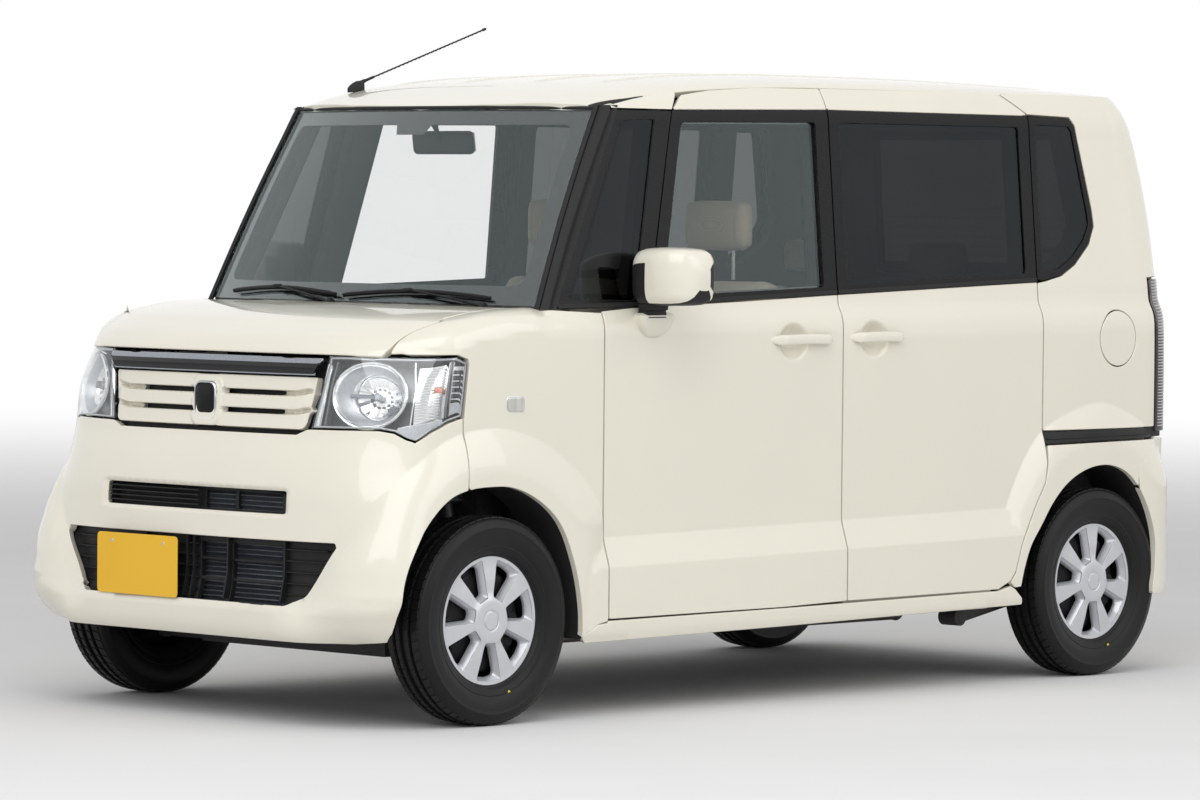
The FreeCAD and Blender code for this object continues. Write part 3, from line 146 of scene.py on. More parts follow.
@dataclass(frozen=True)
class BodyForm:
    """The painted body's outer surface, in millimetres.

    u runs along the plan outline: it equals x across the nose, turns the corner, and
    equals y + 2312.5 along the side. w equals z on the walls and runs on over the
    shoulder towards the middle of the bonnet.
    """

    square_x: Line = (
        (0, 0), (200, 200), (380, 380), (480, 479), (560, 557), (620, 613), (665, 653), (705, 684), (745, 704),
        (790, 711.5), (850, 712), (1100, 712)
    )
    square_y: Line = (
        (0, 0), (200, 2), (380, 14), (480, 27), (560, 43), (620, 59), (665, 78), (705, 103), (745, 136),
        (790, 176), (850, 235), (1100, 485)
    )
    round_x: Line = (
        (0, 0), (200, 200), (380, 378), (480, 473), (560, 541), (620, 588), (665, 620), (705, 646), (745, 668),
        (790, 688), (850, 704), (920, 711), (1000, 712), (1100, 712)
    )
    round_y: Line = (
        (0, 0), (200, 3), (380, 17), (480, 36), (560, 65), (620, 97), (665, 127), (705, 157), (745, 189),
        (790, 228), (850, 280), (920, 330), (1000, 385), (1100, 485)
    )
    roundness: Line = (
        (420, 0), (500, 0.1), (600, 0.3), (700, 0.54), (800, 0.43), (880, 0.48), (940, 0.73), (985, 0.97),
        (1100, 1.0)
    )
    fall: Line = (
        (190, 70), (202, 56), (222, 24), (240, 10), (262, 2), (300, 0), (316, 5), (350, 20), (490, 28),
        (563, 32), (625, 36), (700, 53), (772, 80), (860, 92), (977, 104), (1010, 112), (1100, 150)
    )
    shoulder: Line = ((0, 12), (500, 12), (620, 14), (700, 22), (800, 34), (900, 48), (1000, 58), (1200, 60))
    bonnet: Line = (
        (100, 985), (112, 1004), (125, 1018), (142, 1034), (190, 1060), (235, 1080), (332, 1101), (432, 1113),
        (570, 1119), (660, 1124), (760, 1134)
    )
    bow_front: Line = ((0, 0), (200, 3), (378, 17), (473, 36), (541, 62), (588, 86), (640, 118), (720, 170))
    inset: Line = (
        (1040, 0), (1066, 2), (1090, 9), (1113, 20.5), (1160, 25.5), (1400, 47), (1600, 64.5), (1650, 69),
        (1690, 84), (1732, 110), (1748, 124), (1790, 150)
    )
    tail_x: Line = ((-260, 712), (-110, 711), (-60, 701), (-20, 681), (30, 642), (90, 585), (675, 0))
    tail_y: Line = (
        (-260, -260), (-110, -111), (-60, -66), (-20, -37), (30, -18), (90, -8), (300, -2), (675, 0)
    )
    tail_fall: Line = (
        (202, -52), (240, -33), (300, -25.5), (500, -25.5), (640, -18), (700, -15), (1193, -25), (1436, -57),
        (1690, -137), (1724, -160), (1760, -230)
    )
    front_flare: Line = tuple(
        curved(
            (
                (1520, 150), (1519, 470), (1504, 566), (1454, 630), (1355, 708), (1237, 766), (1094, 791),
                (952, 778), (860, 758), (791, 727), (720, 672), (650, 604), (601, 546), (557, 494), (535, 474),
                (452, 347)
            ),
            24.0
        )
    )
    front_shut: Line = ((402, 325), (200, 321), (0, 320), (0, 150))
    rear_flare: Line = tuple(
        curved(
            (
                (3193, 505), (3227, 571), (3285, 662), (3355, 733), (3480, 785), (3620, 813), (3755, 783),
                (3844, 742), (3900, 690), (3960, 645), (4060, 640), (4740, 640)
            ),
            24.0
        )
    )
    rear_shut: Line = ((4740, 150), (3192, 150))
    corner_lift: Line = (
        (200, -75), (222, -58), (262, -24), (300, -2), (330, 16), (362, 24), (430, 20), (525, 8), (620, 0)
    )

    def bow(self, x: np.ndarray, y: np.ndarray) -> np.ndarray:
        """Tell how far a line across the bonnet is swept back at x."""
        t = np.clip((y - NOSE - 104.0) / 480.0, 0, 1)
        a = np.abs(x)
        return (1 - t) * through(a, self.bow_front) + t * 110.0 * (a / 655.0) ** 2

    def top(self, x: np.ndarray, y: np.ndarray) -> np.ndarray:
        """Return the bonnet's height at a place in plan."""
        return through(y - NOSE - self.bow(x, y), self.bonnet) - 5.0 * (x / 620.0) ** 2

    def plan(self, u: np.ndarray, z: np.ndarray) -> tuple[np.ndarray, np.ndarray]:
        """Return the wall's place in plan, for u at or above zero."""
        b = through(z, self.roundness)
        x = (1 - b) * through(u, self.square_x) + b * through(u, self.round_x)
        y = (1 - b) * through(u, self.square_y) + b * through(u, self.round_y)
        y = np.where(u > 1100, u - 615.0, y)
        y = NOSE + y + through(z, self.fall) * (1 - ramp((u - 620.0) / 420.0))
        v = u - TAIL - SIDE_ZERO
        back = through(z, self.tail_fall) * ramp((v + 330.0) / 270.0)
        x = np.where(v > -260, through(v, self.tail_x), x)
        y = np.where(v > -330, np.where(v > -260, TAIL + through(v, self.tail_y), y) + back, y)
        return x, y

    def lift(self, u: np.ndarray, z: np.ndarray) -> np.ndarray:
        """Return how far flares and the lower band stand out of the wall."""
        uz = np.stack([u, z], 1)
        y = u - SIDE_ZERO
        low = 404.0 + (y + 821.0) * 0.0155
        t = np.clip((z - low) / 86.0, 0, 1)
        soft = 0.07
        t = np.where(
            t < soft, t * t / (2 * soft),
            np.where(t > 1 - soft, 1 - soft - (1 - t) ** 2 / (2 * soft), t - soft / 2)
        )
        band = (1 - t / (1 - soft)) * ramp((y + 960.0) / 100.0) * (y < 1060.0)
        flare = np.zeros_like(u)
        for line, shut, reach in (
            (self.front_flare, self.front_shut, 120.0), (self.rear_flare, self.rear_shut, 110.0)
        ):
            within = inside(uz, [*line, *shut])
            d = distance(uz, line)
            flare = np.maximum(flare, np.where(within, 1 - (1 - np.clip(d / reach, 0, 1)) ** 2, 0.0))
        flare = flare * ramp((u - 130.0) / 380.0)
        sill = 1 - 0.5 * ramp((240.0 - z) / 40.0)
        corner = through(z, self.corner_lift) * ramp((u - 440.0) / 180.0) * (1 - ramp((u - 735.0) / 110.0))
        slot = np.stack([np.maximum(u - 352.0, 0), np.maximum(np.abs(z - 594.0) - 26.0, 0)], 1)
        recess = -11.0 * (1 - ramp(np.hypot(slot[:, 0] * 0.55, slot[:, 1]) / 17.0))
        swell = FLARE * sill * np.maximum(band, flare)
        return swell + corner * (flare > 0) * np.clip(flare * 1.6, 0, 1) + recess * (u < 460)

    def __call__(self, uw: np.ndarray) -> np.ndarray:
        """Map points of the form's sheet to space.

        Args:
            uw: Rows of (u, w); a u below zero is the car's other side.

        Returns:
            Rows of (x, y, z).
        """
        sign = np.where(uw[:, 0] < 0, -1.0, 1.0)
        u, w = np.abs(uw[:, 0]), uw[:, 1]
        radius = through(u, self.shoulder)
        edge = np.minimum(w, 985.0)
        x, y = self.plan(u, edge)
        start = self.top(x, y) - radius
        start = np.where(y > -1000.0, 1e4, start)
        turn = np.clip((w - start) / radius, 0, math.pi / 2)
        delta = radius * (1 - np.cos(turn)) + np.maximum(w - start - radius * math.pi / 2, 0)
        z = np.where(w > start, 0.0, w)
        x0, y0 = self.plan(u, np.minimum(w, np.maximum(start, 985.0)))
        h = 1.0
        xa, ya = self.plan(np.maximum(u - h, 0), np.minimum(w, 985.0))
        xb, yb = self.plan(u + h, np.minimum(w, 985.0))
        nx, ny = yb - ya, -(xb - xa)
        size = np.hypot(nx, ny)
        nx, ny = nx / size, ny / size
        out = self.lift(u, w) - delta + SKIN_LIFT
        x, y = x0 + nx * out, y0 + ny * out
        over = self.top(x, y) - radius + radius * np.sin(turn)
        z = np.where(w > start, over, w)
        x = x - np.where(
            y > -1060.0, through(z, self.inset), 0.0
        ) * ramp((y + 1060.0) / 60.0) * np.minimum(x / 712.0, 1.0)
        return np.stack([x * sign, y, z], 1)


def rounded(points: Line, radius: float | Sequence[float], steps: int = 5) -> list[tuple[float, float]]:
    """Round the corners of a closed outline.

    Args:
        points: The outline's corners.
        radius: One radius for all corners, or one for each.
        steps: Points on each arc less one.

    Returns:
        The rounded outline.
    """
    p = np.array(points, float)
    n = len(p)
    radii = [radius] * n if isinstance(radius, (int, float)) else list(radius)
    out: list[tuple[float, float]] = []
    for i in range(n):
        a, b, c = p[i - 1], p[i], p[(i + 1) % n]
        d0, d1 = a - b, c - b
        l0, l1 = np.linalg.norm(d0), np.linalg.norm(d1)
        d0, d1 = d0 / l0, d1 / l1
        angle = math.acos(float(np.clip(d0 @ d1, -1, 1)))
        if radii[i] <= 0 or angle > 3.1:
            out.append(tuple(b))
            continue
        back = min(radii[i] / math.tan(angle / 2), 0.48 * l0, 0.48 * l1)
        s, e = b + d0 * back, b + d1 * back
        for k in range(steps + 1):
            t = k / steps
            out.append(tuple((1 - t) ** 2 * s + 2 * t * (1 - t) * b + t * t * e))
    return out


def dense(points: Line, step: float, closed: bool = True) -> np.ndarray:
    """Add points along an outline so that no stretch is longer than step."""
    p = np.array(points, float)
    q = np.roll(p, -1, 0) if closed else p[1:]
    out = []
    for a, b in zip(p, q):
        n = max(1, int(math.ceil(np.linalg.norm(b - a) / step)))
        out.extend(a + (b - a) * k / n for k in range(n))
    if not closed:
        out.append(p[-1])
    return np.array(out)


def shrink(loop: np.ndarray, by: float) -> np.ndarray:
    """Move a closed loop's points inward, to the left of its course."""
    before, after = loop - np.roll(loop, 1, 0), np.roll(loop, -1, 0) - loop
    before /= np.maximum(np.linalg.norm(before, axis=1), 1e-9)[:, None]
    after /= np.maximum(np.linalg.norm(after, axis=1), 1e-9)[:, None]
    normal = np.stack([-(before + after)[:, 1], (before + after)[:, 0]], 1)
    size = np.maximum(np.linalg.norm(normal, axis=1), 0.8)
    return loop + normal * (2.0 * by / size**2)[:, None]


def area(loop: np.ndarray) -> float:
    """Return a loop's signed area."""
    x, y = loop[:, 0], loop[:, 1]
    return 0.5 * float(np.sum(x * np.roll(y, -1) - np.roll(x, -1) * y))


class Shape:
    """Collects vertices, faces and normals of one piece, in millimetres."""

    def __init__(self) -> None:
        """Start with nothing."""
        self.verts: list[np.ndarray] = []
        self.faces: list[tuple[int, ...]] = []
        self.slots: list[int] = []
        self.normals: list[np.ndarray] = []
        self.count = 0

    def add(
        self, verts: np.ndarray, faces: Iterable[Sequence[int]], slot: int = 0,
        normals: np.ndarray | None = None
    ) -> "Shape":
        """Add a patch.

        Args:
            verts: Rows of (x, y, z).
            faces: Corner numbers within verts.
            slot: Material number.
            normals: Shading normals, or None where faces give them.

        Returns:
            The shape itself.
        """
        verts = np.asarray(verts, float)
        self.verts.append(verts)
        self.normals.append(np.zeros_like(verts) if normals is None else normals)
        for f in faces:
            self.faces.append(tuple(int(i) + self.count for i in f))
            self.slots.append(slot)
        self.count += len(verts)
        return self

    def join(self, other: "Shape", slot: int | None = None) -> "Shape":
        """Add another shape's faces."""
        for v, n in zip(other.verts, other.normals):
            self.verts.append(v)
            self.normals.append(n)
        self.faces += [tuple(i + self.count for i in f) for f in other.faces]
        self.slots += other.slots if slot is None else [slot] * len(other.slots)
        self.count += other.count
        return self

    def moved(self, change: Callable[[np.ndarray], np.ndarray], flip: bool = False) -> "Shape":
        """Return a copy with its points passed through a function."""
        out = Shape()
        out.verts = [change(v.copy()) for v in self.verts]
        out.normals = []
        for v, n, w in zip(self.verts, self.normals, out.verts):
            if np.any(n):
                tip = change(v + n * 0.01)
                d = tip - w
                n = d / np.maximum(np.linalg.norm(d, axis=1), 1e-12)[:, None]
            out.normals.append(n)
        out.faces = [f[::-1] for f in self.faces] if flip else list(self.faces)
        out.slots, out.count = list(self.slots), self.count
        return out

    def mirrored(self) -> "Shape":
        """Return a copy on the car's other side."""
        return self.moved(lambda v: v * [-1.0, 1.0, 1.0], flip=True)

    def both(self) -> "Shape":
        """Return this shape with its mirror copy."""
        return Shape().join(self).join(self.mirrored())

    def build(
        self, name: str, materials: Sequence[bpy.types.Material], body: str, slot: str,
        replaces: Sequence[str] = (), angle: float = 32.0
    ) -> bpy.types.Object:
        """Make the piece and let it ride on its body.

        Args:
            name: The piece's name.
            materials: Its finishes, by slot number.
            body: The frame body that it moves with.
            slot: The record's material slot; not used.
            replaces: Frame nodes that it stands for.
            angle: Edges sharper than this many degrees stay sharp.

        Returns:
            The object.
        """
        mesh = bpy.data.meshes.new(name)
        verts = np.concatenate(self.verts) * MM
        mesh.from_pydata(verts.tolist(), [], self.faces)
        for material in materials:
            mesh.materials.append(material)
        mesh.polygons.foreach_set("material_index", self.slots)
        mesh.shade_smooth()
        mesh.set_sharp_from_angle(angle=math.radians(angle))
        mesh.update()
        normals = np.concatenate(self.normals)
        if np.any(normals):
            known = np.abs(normals).sum(1) > 0
            flat = np.zeros(len(mesh.loops) * 3, np.float32)
            mesh.corner_normals.foreach_get("vector", flat)
            flat = flat.reshape(-1, 3)
            at = np.zeros(len(mesh.loops), np.int32)
            mesh.loops.foreach_get("vertex_index", at)
            use = known[at]
            flat[use] = normals[at][use]
            mesh.normals_split_custom_set(flat.tolist())
        piece = bpy.data.objects.new(name, mesh)
        bpy.context.scene.collection.objects.link(piece)
        return finish_piece(piece, body, replaces)


def finish_piece(
    piece: bpy.types.Object, body: str, replaces: Sequence[str] = ()
) -> bpy.types.Object:
    """Tie a finished object to its body and hide the nodes that it stands for."""
    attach(piece, body)
    if replaces:
        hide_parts(*replaces)
    log.info("%s: %d faces on %s", piece.name, len(piece.data.polygons), body)
    return piece


def normals_of(surface: Callable[[np.ndarray], np.ndarray], ab: np.ndarray, h: float = 1.0) -> np.ndarray:
    """Return unit normals of a mapped sheet."""
    da = surface(ab + [h, 0]) - surface(ab - [h, 0])
    db = surface(ab + [0, h]) - surface(ab - [0, h])
    n = np.cross(da, db)
    return n / np.maximum(np.linalg.norm(n, axis=1), 1e-9)[:, None]


def steady(normal: np.ndarray, points: np.ndarray, tris: Sequence[Sequence[int]]) -> np.ndarray:
    """Replace normals that disagree with the mesh by the mesh's own."""
    t = np.array(tris)
    flat = np.cross(points[t[:, 1]] - points[t[:, 0]], points[t[:, 2]] - points[t[:, 0]])
    total = np.zeros_like(points)
    for k in range(3):
        np.add.at(total, t[:, k], flat)
    total /= np.maximum(np.linalg.norm(total, axis=1), 1e-9)[:, None]
    agree = (total * normal).sum(1)
    return np.where(((agree < 0.8) & (np.linalg.norm(total, axis=1) > 0.5))[:, None], total, normal)


def steady_ring(normal: np.ndarray) -> np.ndarray:
    """Replace a ring's stray normals by their neighbours' mean."""
    near = sum(np.roll(normal, k, 0) for k in (-2, -1, 1, 2))
    near /= np.maximum(np.linalg.norm(near, axis=1), 1e-9)[:, None]
    return np.where(((near * normal).sum(1) < 0.6)[:, None], near, normal)


def panel(
    surface: Callable[[np.ndarray], np.ndarray],
    outline: Line,
    holes: Sequence[Line] = (),
    lines: Sequence[Line] = (),
    step: float = 24.0,
    radius: float = 2.5,
    hem: float = 12.0,
    flip: bool = False,
    lift: float = 0.0,
    slot: int = 0,
    back: bool = False,
    edge_step: float = 12.0,
    rim_slot: int | None = None,
) -> Shape:
    """Cut a sheet with hemmed edges from a mapped surface.

    Args:
        surface: Maps rows of (a, b) to space.
        outline: The sheet's outline in (a, b).
        holes: Outlines of its openings.
        lines: Lines that its mesh follows, where the surface creases.
        step: Spacing of the mesh.
        radius: Radius of the rolled edge.
        hem: Depth of the edge's return.
        flip: Turn the sheet over.
        lift: Distance outward from the surface.
        slot: Material number.
        back: Close the back with a second skin.
        edge_step: Spacing of the points on the edges.
        rim_slot: Material number of the returns.

    Returns:
        The sheet as a shape.
    """
    loops = []
    for k, loop in enumerate([outline, *holes]):
        ring = dense(loop, edge_step)
        if (area(ring) < 0) == (k == 0):
            ring = ring[::-1]
        loops.append(ring)
    rings = [shrink(ring, radius) for ring in loops]
    outer, inner = rings[0], rings[1:]
    low, high = outer.min(0), outer.max(0)
    a, b = np.meshgrid(np.arange(low[0] + step / 2, high[0], step), np.arange(low[1] + step / 2, high[1], step))
    a = a + (np.arange(a.shape[0]) % 2)[:, None] * step / 2
    grid = np.stack([a.ravel(), b.ravel()], 1)
    keep = inside(grid, outer)
    for ring in inner:
        keep &= ~inside(grid, ring)
    grid = grid[keep]
    close = np.full(len(grid), 1e9)
    for ring in rings:
        close = np.minimum(close, distance(grid, np.vstack([ring, ring[:1]])))
    extra = []
    for line in lines:
        pts = dense(line, step * 0.6, closed=False)
        ok = inside(pts, outer)
        for ring in inner:
            ok &= ~inside(pts, ring)
        pts = pts[ok]
        if len(pts):
            far = np.full(len(pts), 1e9)
            for ring in rings:
                far = np.minimum(far, distance(pts, np.vstack([ring, ring[:1]])))
            extra.append(pts[far > 2.0])
            close = np.minimum(close, np.maximum(distance(grid, line), 0) + step * 0.12)
    grid = grid[close > step * 0.42]
    points = np.vstack(rings + extra + [grid])
    edges, start = [], 0
    for ring in rings:
        n = len(ring)
        edges += [(start + i, start + (i + 1) % n) for i in range(n)]
        start += n
    made = delaunay_2d_cdt([Vector(p) for p in points], edges, [], 0, 1e-4)
    flat = np.array([tuple(v) for v in made[0]])
    tris = [f for f in made[2]]
    centre = np.array([flat[list(f)].mean(0) for f in tris])
    good = inside(centre, outer)
    for ring in inner:
        good &= ~inside(centre, ring)
    tris = [tuple(f) for f, g in zip(tris, good) if g]
    side = -1.0 if flip else 1.0
    normal = normals_of(surface, flat) * side
    tris = [t[::-1] for t in tris] if flip else tris
    face = surface(flat)
    normal = steady(normal, face, tris)
    face = face + normal * lift
    shape = Shape().add(face, tris, slot, normal)
    if back:
        shape.add(surface(flat) + normal * (lift - hem), [t[::-1] for t in tris], slot, -normal)
    rim_slot = slot if rim_slot is None else rim_slot
    for ring in rings:
        base = surface(ring)
        n = steady_ring(normals_of(surface, ring) * side)
        along = np.roll(base, -1, 0) - np.roll(base, 1, 0)
        out = np.cross(along, n) * side
        out /= np.maximum(np.linalg.norm(out, axis=1), 1e-9)[:, None]
        rows, turned = [], []
        for angle in (0.0, 30.0, 60.0, 90.0):
            t = math.radians(angle)
            rows.append(base + n * (lift - radius * (1 - math.cos(t))) + out * radius * math.sin(t))
            turned.append(n * math.cos(t) + out * math.sin(t))
        rows.append(base + n * (lift - hem) + out * radius)
        turned.append(out)
        m = len(ring)
        faces = []
        for r in range(len(rows) - 1):
            for i in range(m):
                j = (i + 1) % m
                q = (r * m + i, (r + 1) * m + i, (r + 1) * m + j, r * m + j)
                faces.append(q[::-1] if flip else q)
        shape.add(np.vstack(rows), faces, rim_slot, np.vstack(turned))
    return shape


def loft(
    rings: Sequence[np.ndarray], closed: bool = True, cap_start: bool = False, cap_end: bool = False,
    slot: int = 0
) -> Shape:
    """Join rings of equal length by faces.

    Args:
        rings: The rings, each rows of (x, y, z).
        closed: Whether each ring closes on itself.
        cap_start: Close the first ring.
        cap_end: Close the last ring.
        slot: Material number.

    Returns:
        The lofted shape.
    """
    n = len(rings[0])
    faces: list[tuple[int, ...]] = []
    for r in range(len(rings) - 1):
        for i in range(n if closed else n - 1):
            j = (i + 1) % n
            faces.append((r * n + i, r * n + j, (r + 1) * n + j, (r + 1) * n + i))
    if cap_start:
        faces.append(tuple(range(n))[::-1])
    if cap_end:
        faces.append(tuple((len(rings) - 1) * n + i for i in range(n)))
    return Shape().add(np.vstack(rings), faces, slot)


def turned(profile: Line, steps: int = 64, slot: int = 0, closed: bool = False) -> Shape:
    """Turn a profile of (radius, along) about the X axis, which it runs along."""
    rings = []
    for k in range(steps):
        t = 2 * math.pi * k / steps
        rings.append(np.array([(a, r * math.cos(t), r * math.sin(t)) for r, a in profile]))
    rings.append(rings[0])
    m = len(profile)
    verts = np.vstack(rings[:-1])
    faces = []
    for k in range(steps):
        k2 = (k + 1) % steps
        for i in range(m if closed else m - 1):
            j = (i + 1) % m
            faces.append((k * m + i, k * m + j, k2 * m + j, k2 * m + i))
    return Shape().add(verts, faces, slot)


def tube(
    path: Sequence[Sequence[float]], radius: float | Sequence[float], sides: int = 12, slot: int = 0,
    caps: bool = True, squash: float = 1.0
) -> Shape:
    """Sweep a round section along a path of points."""
    p = np.array(path, float)
    radii = np.full(len(p), radius) if isinstance(radius, (int, float)) else np.array(radius, float)
    tangent = np.gradient(p, axis=0)
    tangent /= np.linalg.norm(tangent, axis=1)[:, None]
    side = np.cross(tangent[0], [0, 0, 1.0])
    if np.linalg.norm(side) < 1e-3:
        side = np.array([1.0, 0, 0])
    side /= np.linalg.norm(side)
    rings = []
    for c, t, r in zip(p, tangent, radii):
        side = side - t * (side @ t)
        side /= np.linalg.norm(side)
        up = np.cross(side, t)
        angle = np.linspace(0, 2 * math.pi, sides, endpoint=False)
        rings.append(c + r * (np.cos(angle)[:, None] * side + squash * np.sin(angle)[:, None] * up))
    return loft(rings, cap_start=caps, cap_end=caps, slot=slot)


def softbox(
    low: Sequence[float], high: Sequence[float], radius: float = 3.0, steps: int = 3, slot: int = 0
) -> Shape:
    """Make a block with rounded edges between two corners."""
    low, high = np.array(low, float), np.array(high, float)
    radius = min(radius, 0.49 * float((high - low).min()))
    centre, half = (low + high) / 2, (high - low) / 2 - radius
    verts, faces, rows = [], [], 2 * (steps + 1)
    angles = [math.pi / 2 * k / steps for k in range(steps + 1)]
    ring = [(k + 1, a + k * math.pi / 2) for k in range(4) for a in angles]
    sx, sy = (1, -1, -1, 1), (1, 1, -1, -1)
    lat = [(-1, -math.pi / 2 + a) for a in angles] + [(1, a) for a in angles]
    for sz, e in lat:
        for q, a in ring:
            verts.append(
                centre + [
                    half[0] * sx[q - 1] + radius * math.cos(e) * math.cos(a),
                    half[1] * sy[q - 1] + radius * math.cos(e) * math.sin(a),
                    half[2] * sz + radius * math.sin(e)
                ]
            )
    n = len(ring)
    for r in range(rows - 1):
        for i in range(n):
            j = (i + 1) % n
            faces.append((r * n + i, r * n + j, (r + 1) * n + j, (r + 1) * n + i))
    faces.append(tuple(range(n))[::-1])
    faces.append(tuple((rows - 1) * n + i for i in range(n)))
    return Shape().add(np.array(verts), faces, slot)


class Sock:
    """A shader socket that takes part in sums and products."""

    def __init__(self, graph: "Graph", socket: bpy.types.NodeSocket) -> None:
        """Wrap one output socket."""
        self.graph, self.socket = graph, socket

    def _math(self, operation: str, a: object, b: object) -> "Sock":
        """Add one Math node."""
        return self.graph.node("ShaderNodeMath", {"operation": operation}, {0: a, 1: b})

    def __add__(self, other: object) -> "Sock":
        """Return the sum."""
        return self._math("ADD", self, other)

    def __sub__(self, other: object) -> "Sock":
        """Return the difference."""
        return self._math("SUBTRACT", self, other)

    def __mul__(self, other: object) -> "Sock":
        """Return the product."""
        return self._math("MULTIPLY", self, other)

    def __truediv__(self, other: object) -> "Sock":
        """Return the quotient."""
        return self._math("DIVIDE", self, other)

    def __rsub__(self, other: object) -> "Sock":
        """Return other less this."""
        return self._math("SUBTRACT", other, self)

    __radd__, __rmul__ = __add__, __mul__

    def between(self, low: float, high: float) -> "Sock":
        """Map low..high to 0..1, held at the ends."""
        settings = {"clamp": True, "interpolation_type": "SMOOTHSTEP"}
        return self.graph.node("ShaderNodeMapRange", settings, {0: self, 1: low, 2: high, 3: 0.0, 4: 1.0})


class Graph:
    """A material's node tree, built from calls."""

    def __init__(self, material: bpy.types.Material) -> None:
        """Clear the tree and add its output."""
        material.use_nodes = True
        self.tree = material.node_tree
        self.tree.nodes.clear()
        self.output = self.tree.nodes.new("ShaderNodeOutputMaterial")

    def node(
        self, kind: str, settings: dict[str, object] | None = None, inputs: dict[object, object] | None = None,
        output: object = 0
    ) -> Sock:
        """Add a node.

        Args:
            kind: The node's type.
            settings: Its properties, set first.
            inputs: Values or links by socket number or name.
            output: The output socket to return.

        Returns:
            The wrapped output.
        """
        made = self.tree.nodes.new(kind)
        for key, value in (settings or {}).items():
            setattr(made, key, value)
        for key, value in (inputs or {}).items():
            if isinstance(value, Sock):
                self.tree.links.new(value.socket, made.inputs[key])
            elif value is not None:
                made.inputs[key].default_value = value
        return Sock(self, made.outputs[output])

    def coordinates(self) -> Sock:
        """Return the piece's own coordinates."""
        return self.node("ShaderNodeTexCoord", output="Object")

    def noise(self, scale: float, detail: float = 2.0, stretch: tuple[float, float, float] = (1, 1, 1)) -> Sock:
        """Return a noise pattern of a scale per metre."""
        place = self.node("ShaderNodeMapping", {}, {0: self.coordinates(), 3: stretch})
        return self.node("ShaderNodeTexNoise", {}, {"Vector": place, "Scale": scale, "Detail": detail})

    def mix(self, factor: object, a: Sequence[float] | Sock, b: Sequence[float] | Sock) -> Sock:
        """Blend two colours."""
        made = self.tree.nodes.new("ShaderNodeMix")
        made.data_type = "RGBA"
        for key, value in ((0, factor), (6, a), (7, b)):
            if isinstance(value, Sock):
                self.tree.links.new(value.socket, made.inputs[key])
            else:
                made.inputs[key].default_value = value if key == 0 else (*value[:3], 1.0)
        return Sock(self, made.outputs[2])

    def bump(self, height: Sock, strength: float, distance_m: float) -> Sock:
        """Turn a height into a normal."""
        return self.node("ShaderNodeBump", {}, {"Strength": strength, "Distance": distance_m, "Height": height})

    def finish(self, shader: Sock) -> None:
        """Send a shader to the output."""
        self.tree.links.new(shader.socket, self.output.inputs[0])


class Pattern(Enum):
    """What a finish shows close up."""

    PEARL = "pearl"
    GRAIN = "grain"
    WEAVE = "weave"
    CARPET = "carpet"
    CAST = "cast"
    BRUSHED = "brushed"
    RUBBER = "rubber"
    SMOOTH = "smooth"
    GROUND = "ground"


